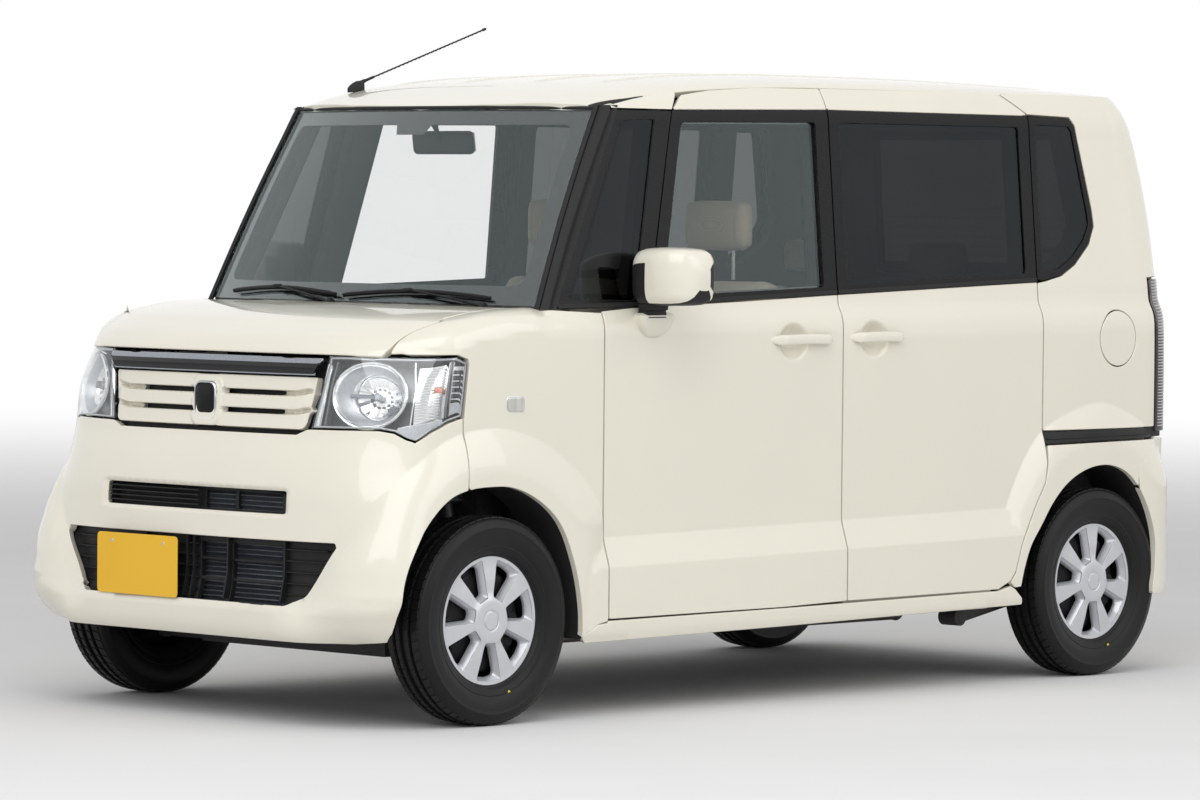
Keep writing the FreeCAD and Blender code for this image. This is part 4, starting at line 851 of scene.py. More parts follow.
@dataclass(frozen=True)
class Finish:
    """One finish of the car."""

    name: str
    colour: tuple[float, float, float]
    rough: float = 0.4
    metal: float = 0.0
    pattern: Pattern = Pattern.SMOOTH
    scale: float = 400.0
    depth: float = 0.3
    second: tuple[float, float, float] | None = None
    coat: float = 0.0
    clear: float = 0.0
    ior: float = 1.45
    sheen: float = 0.0
    glow: float = 0.0
    shine: float = 0.5
    film: float | None = None

    def material(self) -> bpy.types.Material:
        """Return the finish's material, made at its first use."""
        found = bpy.data.materials.get(self.name)
        if found:
            return found
        made = bpy.data.materials.new(self.name)
        graph = Graph(made)
        second = self.second or tuple(0.9 * c for c in self.colour)
        height: Sock | None = None
        if self.pattern is Pattern.WEAVE:
            place = graph.coordinates()
            waves = [
                graph.node(
                    "ShaderNodeTexWave", {"wave_type": "BANDS", "bands_direction": way},
                    {"Vector": place, "Scale": self.scale, "Distortion": 0.6, "Detail Scale": 4.0}
                )
                for way in ("X", "Z", "Y")
            ]
            cloth = graph.noise(self.scale * 0.6, 3.0)
            height = (waves[0] * waves[1] + waves[2] * 0.5) * 0.6 + cloth * 0.5
            tone = height.between(0.1, 0.9)
        elif self.pattern is Pattern.CARPET:
            height = graph.noise(self.scale, 5.0)
            tone = height.between(0.35, 0.7)
        elif self.pattern is Pattern.BRUSHED:
            height = graph.noise(self.scale, 3.0, (1.0, 1.0, 0.08))
            tone = height.between(0.2, 0.8)
        elif self.pattern is Pattern.GROUND:
            wide = graph.noise(7.0, 4.0)
            height = graph.noise(self.scale, 4.0)
            tone = (wide * 0.7 + height * 0.3).between(0.35, 0.65)
        elif self.pattern is Pattern.GRAIN:
            cells = graph.node(
                "ShaderNodeTexVoronoi", {"feature": "SMOOTH_F1"},
                {"Vector": graph.coordinates(), "Scale": self.scale, "Smoothness": 0.6}
            )
            height = cells * 0.7 + graph.noise(self.scale * 0.5, 2.0) * 0.5
            tone = graph.noise(18.0, 3.0).between(0.3, 0.7)
        elif self.pattern is Pattern.PEARL:
            height = graph.noise(self.scale, 2.0)
            tone = (graph.noise(2600.0, 1.0) * 0.6 + graph.noise(3.0, 2.0) * 0.4).between(0.35, 0.65)
        else:
            height = graph.noise(self.scale, 4.0)
            tone = height.between(0.3, 0.7)
        colour = graph.mix(tone, self.colour, second)
        rough = (tone - 0.5) * (0.25 * self.rough) + self.rough
        inputs: dict[object, object] = {
            "Base Color": colour,
            "Roughness": rough,
            "Metallic": self.metal,
            "IOR": self.ior,
            "Coat Weight": self.coat,
            "Coat Roughness": 0.03,
            "Specular IOR Level": self.shine,
            "Transmission Weight": self.clear,
            "Sheen Weight": self.sheen,
            "Sheen Roughness": 0.5,
        }
        if self.depth > 0:
            inputs["Normal"] = graph.bump(height, self.depth, 0.4 / self.scale)
        if self.film is not None:
            tilt = graph.node("ShaderNodeLayerWeight", {}, {"Blend": 0.5}, output="Facing")
            square = tilt * tilt
            inputs["Alpha"] = square * square * tilt * (0.96 * (1.0 - self.film)) + (0.03 + self.film)
        if self.glow > 0:
            inputs["Emission Color"] = (*self.colour, 1.0)
            inputs["Emission Strength"] = self.glow
        graph.finish(graph.node("ShaderNodeBsdfPrincipled", {}, inputs))
        made.diffuse_color = (*self.colour, 1.0)
        return made


@dataclass(frozen=True)
class TwoTone:
    """Inner paint below a height and black above it, for doors and pillars."""

    name: str
    low: Finish
    high: Finish
    height: float

    def material(self) -> bpy.types.Material:
        """Return the finish's material, made at its first use."""
        found = bpy.data.materials.get(self.name)
        if found:
            return found
        made = bpy.data.materials.new(self.name)
        graph = Graph(made)
        place = graph.node("ShaderNodeSeparateXYZ", {}, {0: graph.coordinates()}, output="Z")
        above = graph.node("ShaderNodeMath", {"operation": "GREATER_THAN"}, {0: place, 1: self.height})
        grain = graph.noise(700.0, 3.0)
        low = graph.mix(grain.between(0.3, 0.7), self.low.colour, self.low.second or self.low.colour)
        high = graph.mix(grain.between(0.3, 0.7), self.high.colour, self.high.second or self.high.colour)
        colour = graph.mix(above, low, high)
        rough = above * (self.high.rough - self.low.rough) + self.low.rough
        normal = graph.bump(grain, 0.05, 0.0005)
        graph.finish(
            graph.node(
                "ShaderNodeBsdfPrincipled", {}, {"Base Color": colour, "Roughness": rough, "Normal": normal}
            )
        )
        return made


PAINT = Finish(
    "ivory_pearl_paint", (0.80, 0.765, 0.655), 0.34, 0.0, Pattern.PEARL, 900.0, 0.012, (0.775, 0.745, 0.64),
    coat=0.9
)
PAINT_INNER = Finish(
    "ivory_inner_paint", (0.70, 0.67, 0.57), 0.42, 0.0, Pattern.PEARL, 700.0, 0.03, (0.66, 0.63, 0.54), coat=0.3
)
GLOSS_BLACK = Finish(
    "gloss_black_trim", (0.006, 0.006, 0.007), 0.25, 0.0, Pattern.SMOOTH, 300.0, 0.01, (0.008, 0.008, 0.009),
    shine=0.22
)
BLACK = Finish(
    "grained_black_plastic", (0.013, 0.013, 0.014), 0.45, 0.0, Pattern.GRAIN, 1400.0, 0.25,
    (0.020, 0.020, 0.021), shine=0.25
)
SEAL = Finish(
    "soft_black_rubber", (0.014, 0.014, 0.014), 0.62, 0.0, Pattern.RUBBER, 800.0, 0.2, (0.02, 0.02, 0.02),
    shine=0.3
)
UNDERBODY = Finish(
    "underbody_coating", (0.03, 0.03, 0.032), 0.7, 0.0, Pattern.CAST, 160.0, 0.5, (0.055, 0.052, 0.048)
)
CHROME = Finish(
    "bright_chrome", (0.80, 0.81, 0.83), 0.07, 1.0, Pattern.SMOOTH, 200.0, 0.004, (0.76, 0.77, 0.79)
)
DARK_CHROME = Finish(
    "smoked_chrome", (0.34, 0.355, 0.39), 0.12, 1.0, Pattern.SMOOTH, 200.0, 0.006, (0.29, 0.305, 0.34)
)
REFLECTOR = Finish(
    "lamp_reflector", (0.86, 0.87, 0.88), 0.10, 1.0, Pattern.SMOOTH, 120.0, 0.01, (0.8, 0.81, 0.82)
)
STEEL = Finish(
    "zinc_plated_steel", (0.42, 0.42, 0.41), 0.38, 1.0, Pattern.BRUSHED, 500.0, 0.08, (0.34, 0.34, 0.33)
)
CAST = Finish("cast_iron_parts", (0.12, 0.12, 0.122), 0.55, 0.8, Pattern.CAST, 220.0, 0.4, (0.07, 0.068, 0.066))
ALUMINIUM = Finish(
    "fin_aluminium", (0.42, 0.44, 0.47), 0.4, 0.9, Pattern.BRUSHED, 600.0, 0.1, (0.33, 0.35, 0.38)
)
WHEEL_SILVER = Finish(
    "wheel_cover_silver", (0.60, 0.61, 0.64), 0.28, 0.35, Pattern.PEARL, 1600.0, 0.015, (0.55, 0.56, 0.59),
    coat=0.5
)
TYRE = Finish(
    "tyre_rubber", (0.007, 0.007, 0.0075), 0.42, 0.0, Pattern.RUBBER, 420.0, 0.10, (0.011, 0.011, 0.0108),
    shine=0.25
)
CLEAR_GLASS = Finish(
    "clear_window_glass", (0.52, 0.60, 0.60), 0.02, 1.0, Pattern.SMOOTH, 3.0, 0.0, (0.50, 0.585, 0.585),
    ior=1.5, film=0.05
)
DARK_GLASS = Finish(
    "privacy_glass", (0.040, 0.044, 0.047), 0.02, 1.0, Pattern.SMOOTH, 3.0, 0.0, (0.036, 0.040, 0.043), ior=1.5,
    film=0.68
)
LENS = Finish(
    "clear_lamp_lens", (0.85, 0.87, 0.88), 0.02, 1.0, Pattern.SMOOTH, 3.0, 0.0, (0.83, 0.855, 0.87), ior=1.45,
    film=0.03
)
FRIT = Finish(
    "black_glass_band", (0.010, 0.010, 0.011), 0.16, 0.0, Pattern.SMOOTH, 200.0, 0.0, (0.012, 0.012, 0.013),
    coat=0.7
)
RED_LENS = Finish(
    "red_lamp_lens", (0.42, 0.010, 0.012), 0.12, 0.0, Pattern.SMOOTH, 300.0, 0.02, (0.30, 0.006, 0.008),
    coat=0.9
)
SMOKE_LENS = Finish(
    "smoked_lamp_lens", (0.045, 0.03, 0.032), 0.08, 0.0, Pattern.SMOOTH, 300.0, 0.01, (0.03, 0.022, 0.023),
    coat=0.9
)
AMBER = Finish(
    "amber_bulb", (0.72, 0.17, 0.03), 0.2, 0.0, Pattern.SMOOTH, 300.0, 0.02, (0.6, 0.12, 0.02), coat=0.6
)
PLATE = Finish(
    "plate_yellow_enamel", (0.86, 0.50, 0.015), 0.35, 0.0, Pattern.PEARL, 600.0, 0.03, (0.82, 0.46, 0.012),
    coat=0.3
)
FABRIC = Finish(
    "beige_seat_cloth", (0.50, 0.45, 0.37), 0.9, 0.0, Pattern.WEAVE, 420.0, 0.5, (0.36, 0.32, 0.26), sheen=0.25
)
CABIN_LIGHT = Finish(
    "light_cabin_plastic", (0.52, 0.48, 0.40), 0.6, 0.0, Pattern.GRAIN, 1200.0, 0.25, (0.48, 0.44, 0.37)
)
CABIN_GREY = Finish(
    "grey_cabin_plastic", (0.13, 0.13, 0.135), 0.55, 0.0, Pattern.GRAIN, 1200.0, 0.3, (0.10, 0.10, 0.105)
)
HEADLINER = Finish(
    "headliner_felt", (0.60, 0.57, 0.50), 0.95, 0.0, Pattern.CARPET, 700.0, 0.3, (0.53, 0.50, 0.44)
)
CARPET = Finish(
    "cabin_carpet", (0.10, 0.095, 0.09), 0.95, 0.0, Pattern.CARPET, 500.0, 0.9, (0.055, 0.052, 0.05)
)
FLOOR = Finish(
    "pale_studio_floor", (0.80, 0.80, 0.80), 0.8, 0.0, Pattern.GROUND, 60.0, 0.05, (0.785, 0.785, 0.785)
)


class Studio:
    """The floor, the light and the camera."""

    eye = (11.3191, -11.6505, 1.4005)
    forward = (-0.69915, 0.71410, -0.03547)
    upward = (-0.03161, 0.01869, 0.99933)
    lens = 167.9

    def build(self) -> None:
        """Make the stage."""
        scene = bpy.context.scene
        scene.view_settings.view_transform = "Standard"
        self._world(scene)
        self._floor()
        self._lamps()
        self._camera(scene)

    def _world(self, scene: bpy.types.Scene) -> None:
        """Light the scene from a pale sky that shows as white."""
        world = bpy.data.worlds.new("studio_sky")
        scene.world = world
        world.use_nodes = True
        tree = world.node_tree
        tree.nodes.clear()
        out = tree.nodes.new("ShaderNodeOutputWorld")
        path = tree.nodes.new("ShaderNodeLightPath")
        shown = tree.nodes.new("ShaderNodeMath")
        shown.operation = "MAXIMUM"
        tree.links.new(path.outputs["Is Camera Ray"], shown.inputs[0])
        tree.links.new(path.outputs["Is Transmission Ray"], shown.inputs[1])
        either = tree.nodes.new("ShaderNodeMath")
        either.operation = "MAXIMUM"
        tree.links.new(shown.outputs[0], either.inputs[0])
        tree.links.new(path.outputs["Is Glossy Ray"], either.inputs[1])
        strength = tree.nodes.new("ShaderNodeMapRange")
        tree.links.new(either.outputs[0], strength.inputs[0])
        strength.inputs[3].default_value = SKY_DIM
        strength.inputs[4].default_value = 1.0
        sky = tree.nodes.new("ShaderNodeBackground")
        sky.inputs[0].default_value = (1.0, 1.0, 1.0, 1.0)
        tree.links.new(strength.outputs[0], sky.inputs[1])
        tree.links.new(sky.outputs[0], out.inputs[0])

    def _floor(self) -> None:
        """Lay a wide pale floor that fades into the sky."""
        rings = 24
        mesh = bpy.data.meshes.new("studio_floor")
        grid = bmesh.new()
        bmesh.ops.create_grid(grid, x_segments=rings, y_segments=rings, size=FLOOR_SIZE)
        grid.to_mesh(mesh)
        grid.free()
        floor = bpy.data.objects.new("studio_floor", mesh)
        bpy.context.scene.collection.objects.link(floor)
        material = FLOOR.material()
        graph = Graph(material)
        wide = graph.noise(1.5, 3.0)
        colour = graph.mix(wide.between(0.3, 0.7), FLOOR.colour, FLOOR.second)
        matt = graph.node(
            "ShaderNodeBsdfPrincipled", {}, {"Base Color": colour, "Roughness": 0.85, "Specular IOR Level": 0.1}
        )
        pale = graph.node("ShaderNodeEmission", {}, {"Color": (1, 1, 1, 1), "Strength": 1.0})
        reach = graph.node(
            "ShaderNodeVectorMath", {"operation": "LENGTH"}, {0: graph.coordinates()}, output="Value"
        )
        seen = graph.node("ShaderNodeLightPath", {}, {}, output="Is Camera Ray")
        graph.finish(
            graph.node("ShaderNodeMixShader", {}, {0: reach.between(5.0, 22.0) * seen, 1: matt, 2: pale})
        )
        mesh.materials.append(material)

    def _lamps(self) -> None:
        """Hang two large soft lamps."""
        for name, place, size, power in SOFT_LAMPS:
            lamp = bpy.data.lights.new(name, "AREA")
            lamp.energy, lamp.size = power, size
            holder = bpy.data.objects.new(name, lamp)
            holder.location = place
            aim = Vector((0.0, 0.0, 0.8)) - Vector(place)
            holder.rotation_euler = aim.to_track_quat("-Z", "Y").to_euler()
            bpy.context.scene.collection.objects.link(holder)

    def _camera(self, scene: bpy.types.Scene) -> None:
        """Set the camera."""
        lens = bpy.data.cameras.new("camera")
        lens.lens, lens.sensor_width = self.lens, 36.0
        lens.clip_end = 200.0
        camera = bpy.data.objects.new("camera", lens)
        back = -Vector(self.forward).normalized()
        right = Vector(self.upward).cross(back).normalized()
        up = back.cross(right)
        turn = Matrix((right, up, back)).transposed().to_4x4()
        camera.matrix_world = Matrix.Translation(self.eye) @ turn
        scene.collection.objects.link(camera)
        scene.camera = camera


FORM = BodyForm()


def rear_sheet(ab: np.ndarray) -> np.ndarray:
    """Map (signed distance from the tail's middle, z) to space."""
    u = TAIL + SIDE_ZERO + 675.0 - np.abs(ab[:, 0])
    p = FORM(np.stack([u, ab[:, 1]], 1))
    p[:, 0] *= np.where(ab[:, 0] < 0, -1.0, 1.0)
    return p


def screen_sheet(xz: np.ndarray) -> np.ndarray:
    """Map (x, z) to the windscreen's outer face."""
    x, z = xz[:, 0], xz[:, 1]
    y = -1118.0 + 110.0 * (x / 655.0) ** 2 + 0.546 * (z - 1113.0) - 9.0 * np.sin(
        np.pi * np.clip((z - 1113.0) / 547.0, 0, 1)
    )
    return np.stack([x, y, z], 1)


ROOF_RUN: Line = (
    (-840, 1652), (-819, 1661), (-720, 1692), (-600, 1722), (-420, 1746), (-200, 1761), (150, 1770),
    (700, 1768.5), (1200, 1758), (1440, 1750), (1500, 1745), (1540, 1722), (1560, 1690)
)
ROOF_FALL: Line = ((0, 0), (300, 1.5), (420, 5), (500, 11), (550, 19), (585, 29), (605, 41), (620, 58))


def roof_sheet(xy: np.ndarray) -> np.ndarray:
    """Map (x, y) to the roof, with its long shallow ribs."""
    x, y = xy[:, 0], xy[:, 1]
    z = through(y, ROOF_RUN) - through(np.abs(x), ROOF_FALL)
    ribs = sum(ramp((16.0 - np.abs(np.abs(x) - c)) / 9.0) for c in (140.0, 400.0))
    middle = ramp((y + 560.0) / 90.0) * (1 - ramp((y - 1330.0) / 90.0))
    z = z + 4.5 * middle * ribs
    return np.stack([x, y, z], 1)


BONNET_RUN: Line = (
    (0, 104.5), (12, 106), (30, 117), (60, 140), (110, 186), (170, 244), (300, 373), (450, 522), (620, 690)
)


def bonnet_sheet(ab: np.ndarray) -> np.ndarray:
    """Map (x, distance back from the bonnet's leading edge) to space."""
    x, s = ab[:, 0], ab[:, 1]
    y = NOSE + through(s, BONNET_RUN)
    for _ in range(3):
        y = NOSE + through(s, BONNET_RUN) + FORM.bow(x, y)
    over = through(y - NOSE - FORM.bow(x, y), FORM.bonnet) - 5.0 * (x / 620.0) ** 2
    z = np.where(s < 12, np.minimum(over, 985.0 + s), over)
    return np.stack([x, y, z], 1)


ARCH_FRONT: Line = curved(
    (
        (730, 262), (736, 301), (734, 366), (744, 431), (772, 496), (820, 560), (893, 612), (981, 634),
        (1095, 640), (1205, 616), (1317, 540), (1378, 426), (1409, 301), (1412, 218)
    ),
    14.0
)
ARCH_REAR: Line = curved(
    (
        (931, 283), (948, 340), (975, 400), (1023, 461), (1076, 527), (1141, 581), (1225, 618), (1311, 630),
        (1378, 620), (1435, 595), (1488, 553), (1536, 490), (1565, 430), (1577, 370), (1574, 320), (1566, 262)
    ),
    14.0
)
LAMP_EDGE: Line = (
    (403, 792), (443, 965), (441, 986), (905, 986), (985, 974), (992, 966), (968, 826), (884, 813), (800, 790),
    (738, 763), (705, 771), (667, 787), (623, 793), (555, 793)
)
BELT: Line = ((-1010, 1110), (-794, 1103), (-677, 1111), (-241, 1125), (177, 1142), (1050, 1174))


def belt(y: float) -> float:
    """Return the height of the painted panels' upper edge."""
    return float(np.interp(y, [p[0] for p in BELT], [p[1] for p in BELT]))


@dataclass
class Bodywork:
    """The painted outer panels."""

    gap: float = 2.5
    door_front: float = -800.0
    door_middle: float = 168.0
    door_rear: float = 1050.0
    handle_front: tuple[float, float] = (-40.0, 1012.0)
    handle_rear: tuple[float, float] = (300.0, 1016.0)

    def build(self) -> None:
        """Build every panel."""
        paint = [PAINT.material(), BLACK.material(), GLOSS_BLACK.material()]
        self._doors(paint)
        self._front(paint)
        self._quarters(paint)
        self._roof(paint)
        self._tail(paint)

    def _dented(self, place: tuple[float, float]) -> Callable[[np.ndarray], np.ndarray]:
        """Return the side form with a finger recess round a place."""
        centre = np.array([place[0] + SIDE_ZERO, place[1]])

        def sheet(uw: np.ndarray) -> np.ndarray:
            """Map points of the dented side."""
            p = FORM(uw)
            r = np.hypot((uw[:, 0] - centre[0]) / 66.0, (uw[:, 1] - centre[1]) / 58.0)
            p[:, 0] -= np.sign(p[:, 0]) * 26.0 * (1 - ramp((r - 0.35) / 0.65))
            return p

        return sheet

    def _dent_lines(self, place: tuple[float, float]) -> list[Line]:
        """Return rings of points round a finger recess."""
        rings = []
        for r in (0.2, 0.4, 0.55, 0.7, 0.85, 1.0, 1.12):
            a = np.linspace(0, 2 * math.pi, 28)
            rings.append(
                [(place[0] + SIDE_ZERO + 66 * r * math.cos(t), place[1] + 58 * r * math.sin(t)) for t in a]
            )
        return rings

    def _band_lines(self, start: float, end: float) -> list[Line]:
        """Return the lower creases between two places."""
        lines = []
        for low in (404.0, 410.0, 484.0, 490.0):
            lines.append(
                [
                    (start + SIDE_ZERO, low + (start + 821) * 0.0155),
                    (end + SIDE_ZERO, low + (end + 821) * 0.0155)
                ]
            )
        return lines

    def _doors(self, paint: list[bpy.types.Material]) -> None:
        """Build the hinged and the sliding doors' skins."""
        g, y0, y1, y2 = self.gap, self.door_front, self.door_middle, self.door_rear
        low = side_line([(y0 + g, 268), (-97, 269), (127, 274), (y1 - g, 275)])
        top = side_line([(y1 - g, belt(y1)), (-241, belt(-241)), (-677, belt(-677)), (y0 + g, belt(y0))])
        outline = rounded(low + top, [6, 0, 0, 6, 4, 0, 0, 4])
        front = panel(
            self._dented(self.handle_front), outline,
            lines=self._dent_lines(self.handle_front) + self._band_lines(y0 + 8, y1 - 8), step=26, hem=60,
            back=True
        )
        strip = rounded(
            side_line([(-470, 1656), (y1 - g, 1667), (y1 - g, 1727), (-92, 1725), (-300, 1713), (-418, 1698)]),
            [3, 3, 3, 0, 0, 12]
        )
        front.join(panel(FORM, strip, step=22, hem=12))
        for side, shape in (("left", front), ("right", front.mirrored())):
            shape.build(f"{side}_front_door_skin", paint, f"{side}_door", "body_paint", [f"{side}_front_door"])
        low = side_line(
            [
                (y1 + g, 275), (828, 279), (880, 300), (904, 326), (933, 409), (990, 515), (1036, 585),
                (y2 - g, 640)
            ]
        )
        top = side_line([(y2 - g, belt(y2)), (600, belt(600)), (y1 + g, belt(y1))])
        outline = rounded(low + top, [6, 20, 30, 30, 80, 60, 30, 20, 4, 0, 4])
        crease = [p for p in FORM.rear_flare if p[0] < 3400]
        flare = [beside(crease, off) for off in (-5, 0, 5, 12, 24, 40)]
        rear = panel(
            self._dented(self.handle_rear), outline,
            lines=self._dent_lines(self.handle_rear) + self._band_lines(y1 + 8, 930) + flare, step=26, hem=48,
            back=True
        )
        strip = rounded(
            side_line(
                [
                    (y1 + g, 1667), (1024, 1665), (y2 - g, 1668), (960, 1722), (921, 1730), (186, 1728),
                    (y1 + g, 1727)
                ]
            ),
            [3, 0, 3, 20, 0, 0, 3]
        )
        rear.join(panel(FORM, strip, step=22, hem=12))
        rear.both().build("sliding_door_skins", paint, "car_body", "body_paint", ["sliding_doors"])

    def _front(self, paint: list[bpy.types.Material]) -> None:
        """Build the bumper, the fenders and the bonnet."""
        g = self.gap
        half = [
            (0, 774), (356, 774), (392, 788), (403, 789), (555, 790), (623, 790), (667, 784), (705, 768),
            (738, 760), (800, 787), (884, 810), (966, 823), (970, 700),
            *[p for p in ARCH_FRONT[::-1] if p[0] < 971], (712, 236), (603, 228), (182, 228), (0, 228)
        ]
        outline = half + [(-u, z) for u, z in half[-2:0:-1]]
        slot = rounded([(-361, 565), (361, 565), (361, 623), (-361, 623)], 9)
        mouth = rounded(
            [
                (-403, 325), (403, 325), (455, 352), (545, 482), (540, 494), (-540, 494), (-545, 482),
                (-455, 352)
            ],
            [40, 40, 40, 8, 8, 8, 8, 40]
        )
        lines = []
        crease = [p for p in FORM.front_flare if p[0] < 960 and p[1] > 345]
        for off in (-12, -5, 0, 5, 12, 24):
            near = beside(crease, off)
            lines += [near, [(-u, z) for u, z in near]]
        for z in (250, 275, 300, 330, 352, 366, 380):
            lines.append([(-700, z), (700, z)])
        for d in (6, 16, 26):
            lines.append(
                rounded(
                    [(-361 - d, 565 - d), (361 + d, 565 - d), (361 + d, 623 + d), (-361 - d, 623 + d)], 9 + d
                )
            )
        bumper = panel(FORM, outline, [slot, mouth], lines, step=24, hem=22, back=True, edge_step=9)
        bumper.build("front_bumper_cover", paint, "car_body", "body_paint", ["front_bumper"])
        arch = [p for p in ARCH_FRONT if p[0] > 980]
        seam = [
            (975, 640), (975, 822), (978, 828), (998, 966), (990, 980), (905, 991), (628, 991), (638, 1006),
            (657, 1022), (690, 1052), (735, 1075), (800, 1096), (900, 1120), (1000, 1141), (1120, 1162),
            (1232, 1180), (1262, 1168), (1292, 1130), (1315, 1108)
        ]
        seam = seam[:6] + curved(seam[6:16], 16.0) + seam[16:]
        rear = side_line([(-1000, 1106), (-800 - g, 1099), (-800 - g, 268), (-806, 262)])
        outline = seam + rear[1:] + [(1470, 255), (1415, 222)] + [p for p in arch[::-1]]
        crease = [p for p in FORM.front_flare if p[0] > 960 and p[1] > 200]
        lines = [beside(crease, off) for off in (-5, 0, 5, 12, 24, 40)]
        fender = panel(FORM, outline, [], lines, step=22, hem=18, back=True)
        fender.both().build("front_fender_skins", paint, "car_body", "body_paint", ["front_fenders"])
        rim = FORM(dense([p for p in seam if p[1] > 1000][:-3], 20.0, closed=False))
        back = [
            float(
                np.interp(
                    y - NOSE - float(FORM.bow(np.array(x), np.array(y))), [r for _, r in BONNET_RUN],
                    [s for s, _ in BONNET_RUN]
                )
            ) for x,
            y in rim[:, :2]
        ]
        edge = [(0, 2), (300, 2), (480, 2), (float(rim[0, 0]) - 16, 3)] + [
            (float(x) - 4.0, max(s, 12.0)) for x, s in zip(rim[:, 0], back)
        ]
        edge += [(edge[-1][0] - 40.0, 446), (300, 452), (0, 454)]
        outline = edge + [(-x, s) for x, s in edge[-2:0:-1]]
        bonnet = panel(
            bonnet_sheet, outline, [], [[(-600, s), (600, s)] for s in (5, 9, 14, 20, 28, 40, 55)], step=26,
            hem=26, radius=3, back=True
        )
        bonnet.build("bonnet_skin", paint, "bonnet", "body_paint", ["hood"])

    def _quarters(self, paint: list[bpy.types.Material]) -> None:
        """Build the rear quarters and the sills."""
        g, y2 = self.gap, self.door_rear
        upper = side_line([(y2 + g, 738), (1300, 738), (1586, 738)]) + [
            (3899, 1186), (3960, 1190), (4018, 1186), (4018, 712), (4093, 712), (4093, 900), (4093, 1300),
            (4093, 1560), (4093, 1700), (4085, 1722), (4050, 1730), (3960, 1731), (3850, 1731)
        ]
        upper += side_line(
            [
                (1240, 1731), (1050, 1731), (968, 1731), (965, 1725), (y2 + g, 1669.5), (1242, 1664),
                (1262, 1640), (1322, 1390), (1328, 1340), (1300, 1285), (1230, 1225), (1164, 1192),
                (1085, 1176), (y2 + g, 1172)
            ]
        )
        hole = [
            (1399 + SIDE_ZERO + 88 * math.cos(t), 1006 + 86 * math.sin(t))
            for t in np.linspace(0, 2 * math.pi, 48, endpoint=False)
        ]
        crease = [p for p in FORM.rear_flare if p[1] > 500]
        lines = [beside(crease, off) for off in (-5, 0, 5, 12, 24, 40)]
        left = panel(FORM, upper, [hole], lines, step=26, hem=14)
        right = panel(FORM, upper, [], lines, step=26, hem=14).mirrored()
        lower = side_line(
            [
                (1056, 694), (y2 + g, 640), (1039, 583), (993, 513), (936, 407), (908, 324), (884, 297),
                (905, 281)
            ] + [p for p in ARCH_REAR if p[0] < 1489] + [(1478, 612), (1560, 688), (1600, 702)]
        )
        lower_panel = panel(FORM, lower, [], lines, step=22, hem=16)
        left.join(lower_panel)
        right.join(lower_panel.mirrored())
        strip = side_line([(y2 - 12, 734), (y2 - 12, 698), (1600, 708), (1640, 708), (1640, 738), (1586, 738)])
        sill = side_line(
            [
                (-806, 257), (-801, 263), (-101, 266), (828, 274), (884, 286), (905, 277), (936, 250),
                (938, 228), (-100, 212), (-880, 204), (-900, 222), (-842, 255)
            ]
        )
        sill_panel = panel(FORM, sill, [], step=20, hem=14, radius=4)
        left.join(sill_panel)
        right.join(sill_panel.mirrored())
        rows = []
        for t in np.linspace(0.0, 1.0, 9):
            low_y, high_y = -712.0 + 238.0 * np.linspace(0, 1, 14), -700.0 + 278.0 * np.linspace(0, 1, 14)
            low_edge = FORM(np.stack([low_y + SIDE_ZERO, np.full(14, 1656.5)], 1))
            high_x = np.full(14, 603.0)
            high_edge = roof_sheet(np.stack([high_x, high_y], 1)) + [0.0, 0.0, -1.0]
            row = low_edge * (1 - t) + high_edge * t
            row += np.array([0.5, 0.0, 0.8]) * (9.0 * math.sin(math.pi * t))
            rows.append(row)
        under = [rows[-1] - [0.0, 0.0, 14.0]]
        cant = loft([rows[0] - [14.0, 0.0, 0.0], *rows, *under], closed=False)
        left.join(cant)
        right.join(cant.mirrored())
        left.build("left_body_side_skin", paint, "car_body", "body_paint")
        right.build("right_body_side_skin", paint, "car_body", "body_paint")
        rail = panel(FORM, strip, [], step=20, hem=6, lift=-3.0, radius=1.5)
        rail.join(
            panel(
                FORM, side_line([(y2 + 8, 711), (1570, 718), (1570, 723), (y2 + 8, 716)]), step=8, hem=3,
                lift=0.5, radius=1.0, slot=0
            )
        )
        rail.both().build("sliding_door_rails", [BLACK.material()], "car_body", "black_plastic")
        lid = [
            (1399 + SIDE_ZERO + 84.5 * math.cos(t), 1006 + 82.5 * math.sin(t))
            for t in np.linspace(0, 2 * math.pi, 48, endpoint=False)
        ]
        flap = panel(FORM, lid, [], step=20, hem=8, lift=0.2, back=True)
        flap.join(softbox((690, 1318, 990), (704, 1340, 1022), 3))
        flap.build("fuel_lid_skin", paint, "fuel_flap", "body_paint", ["fuel_lid"])

    def _roof(self, paint: list[bpy.types.Material]) -> None:
        """Build the roof."""
        half = [
            (0, -822), (300, -800), (500, -765), (588, -728), (601, -700), (606, -420), (606, 0), (606, 900),
            (604, 1300), (600, 1400), (588, 1462), (562, 1500), (524, 1510), (480, 1500), (400, 1493), (0, 1491)
        ]
        outline = half + [(-x, y) for x, y in half[-2:0:-1]]
        lines = [
            [(s * x, -700), (s * x, 1480)]
            for s in (-1, 1) for x in (122, 129, 150, 158, 382, 389, 410, 418, 500, 550, 575, 590)
        ]
        panel(
            roof_sheet, outline, [], lines, step=34, hem=20, radius=3, back=True
        ).build("roof_skin", paint, "car_body", "body_paint", ["roof_panel"])

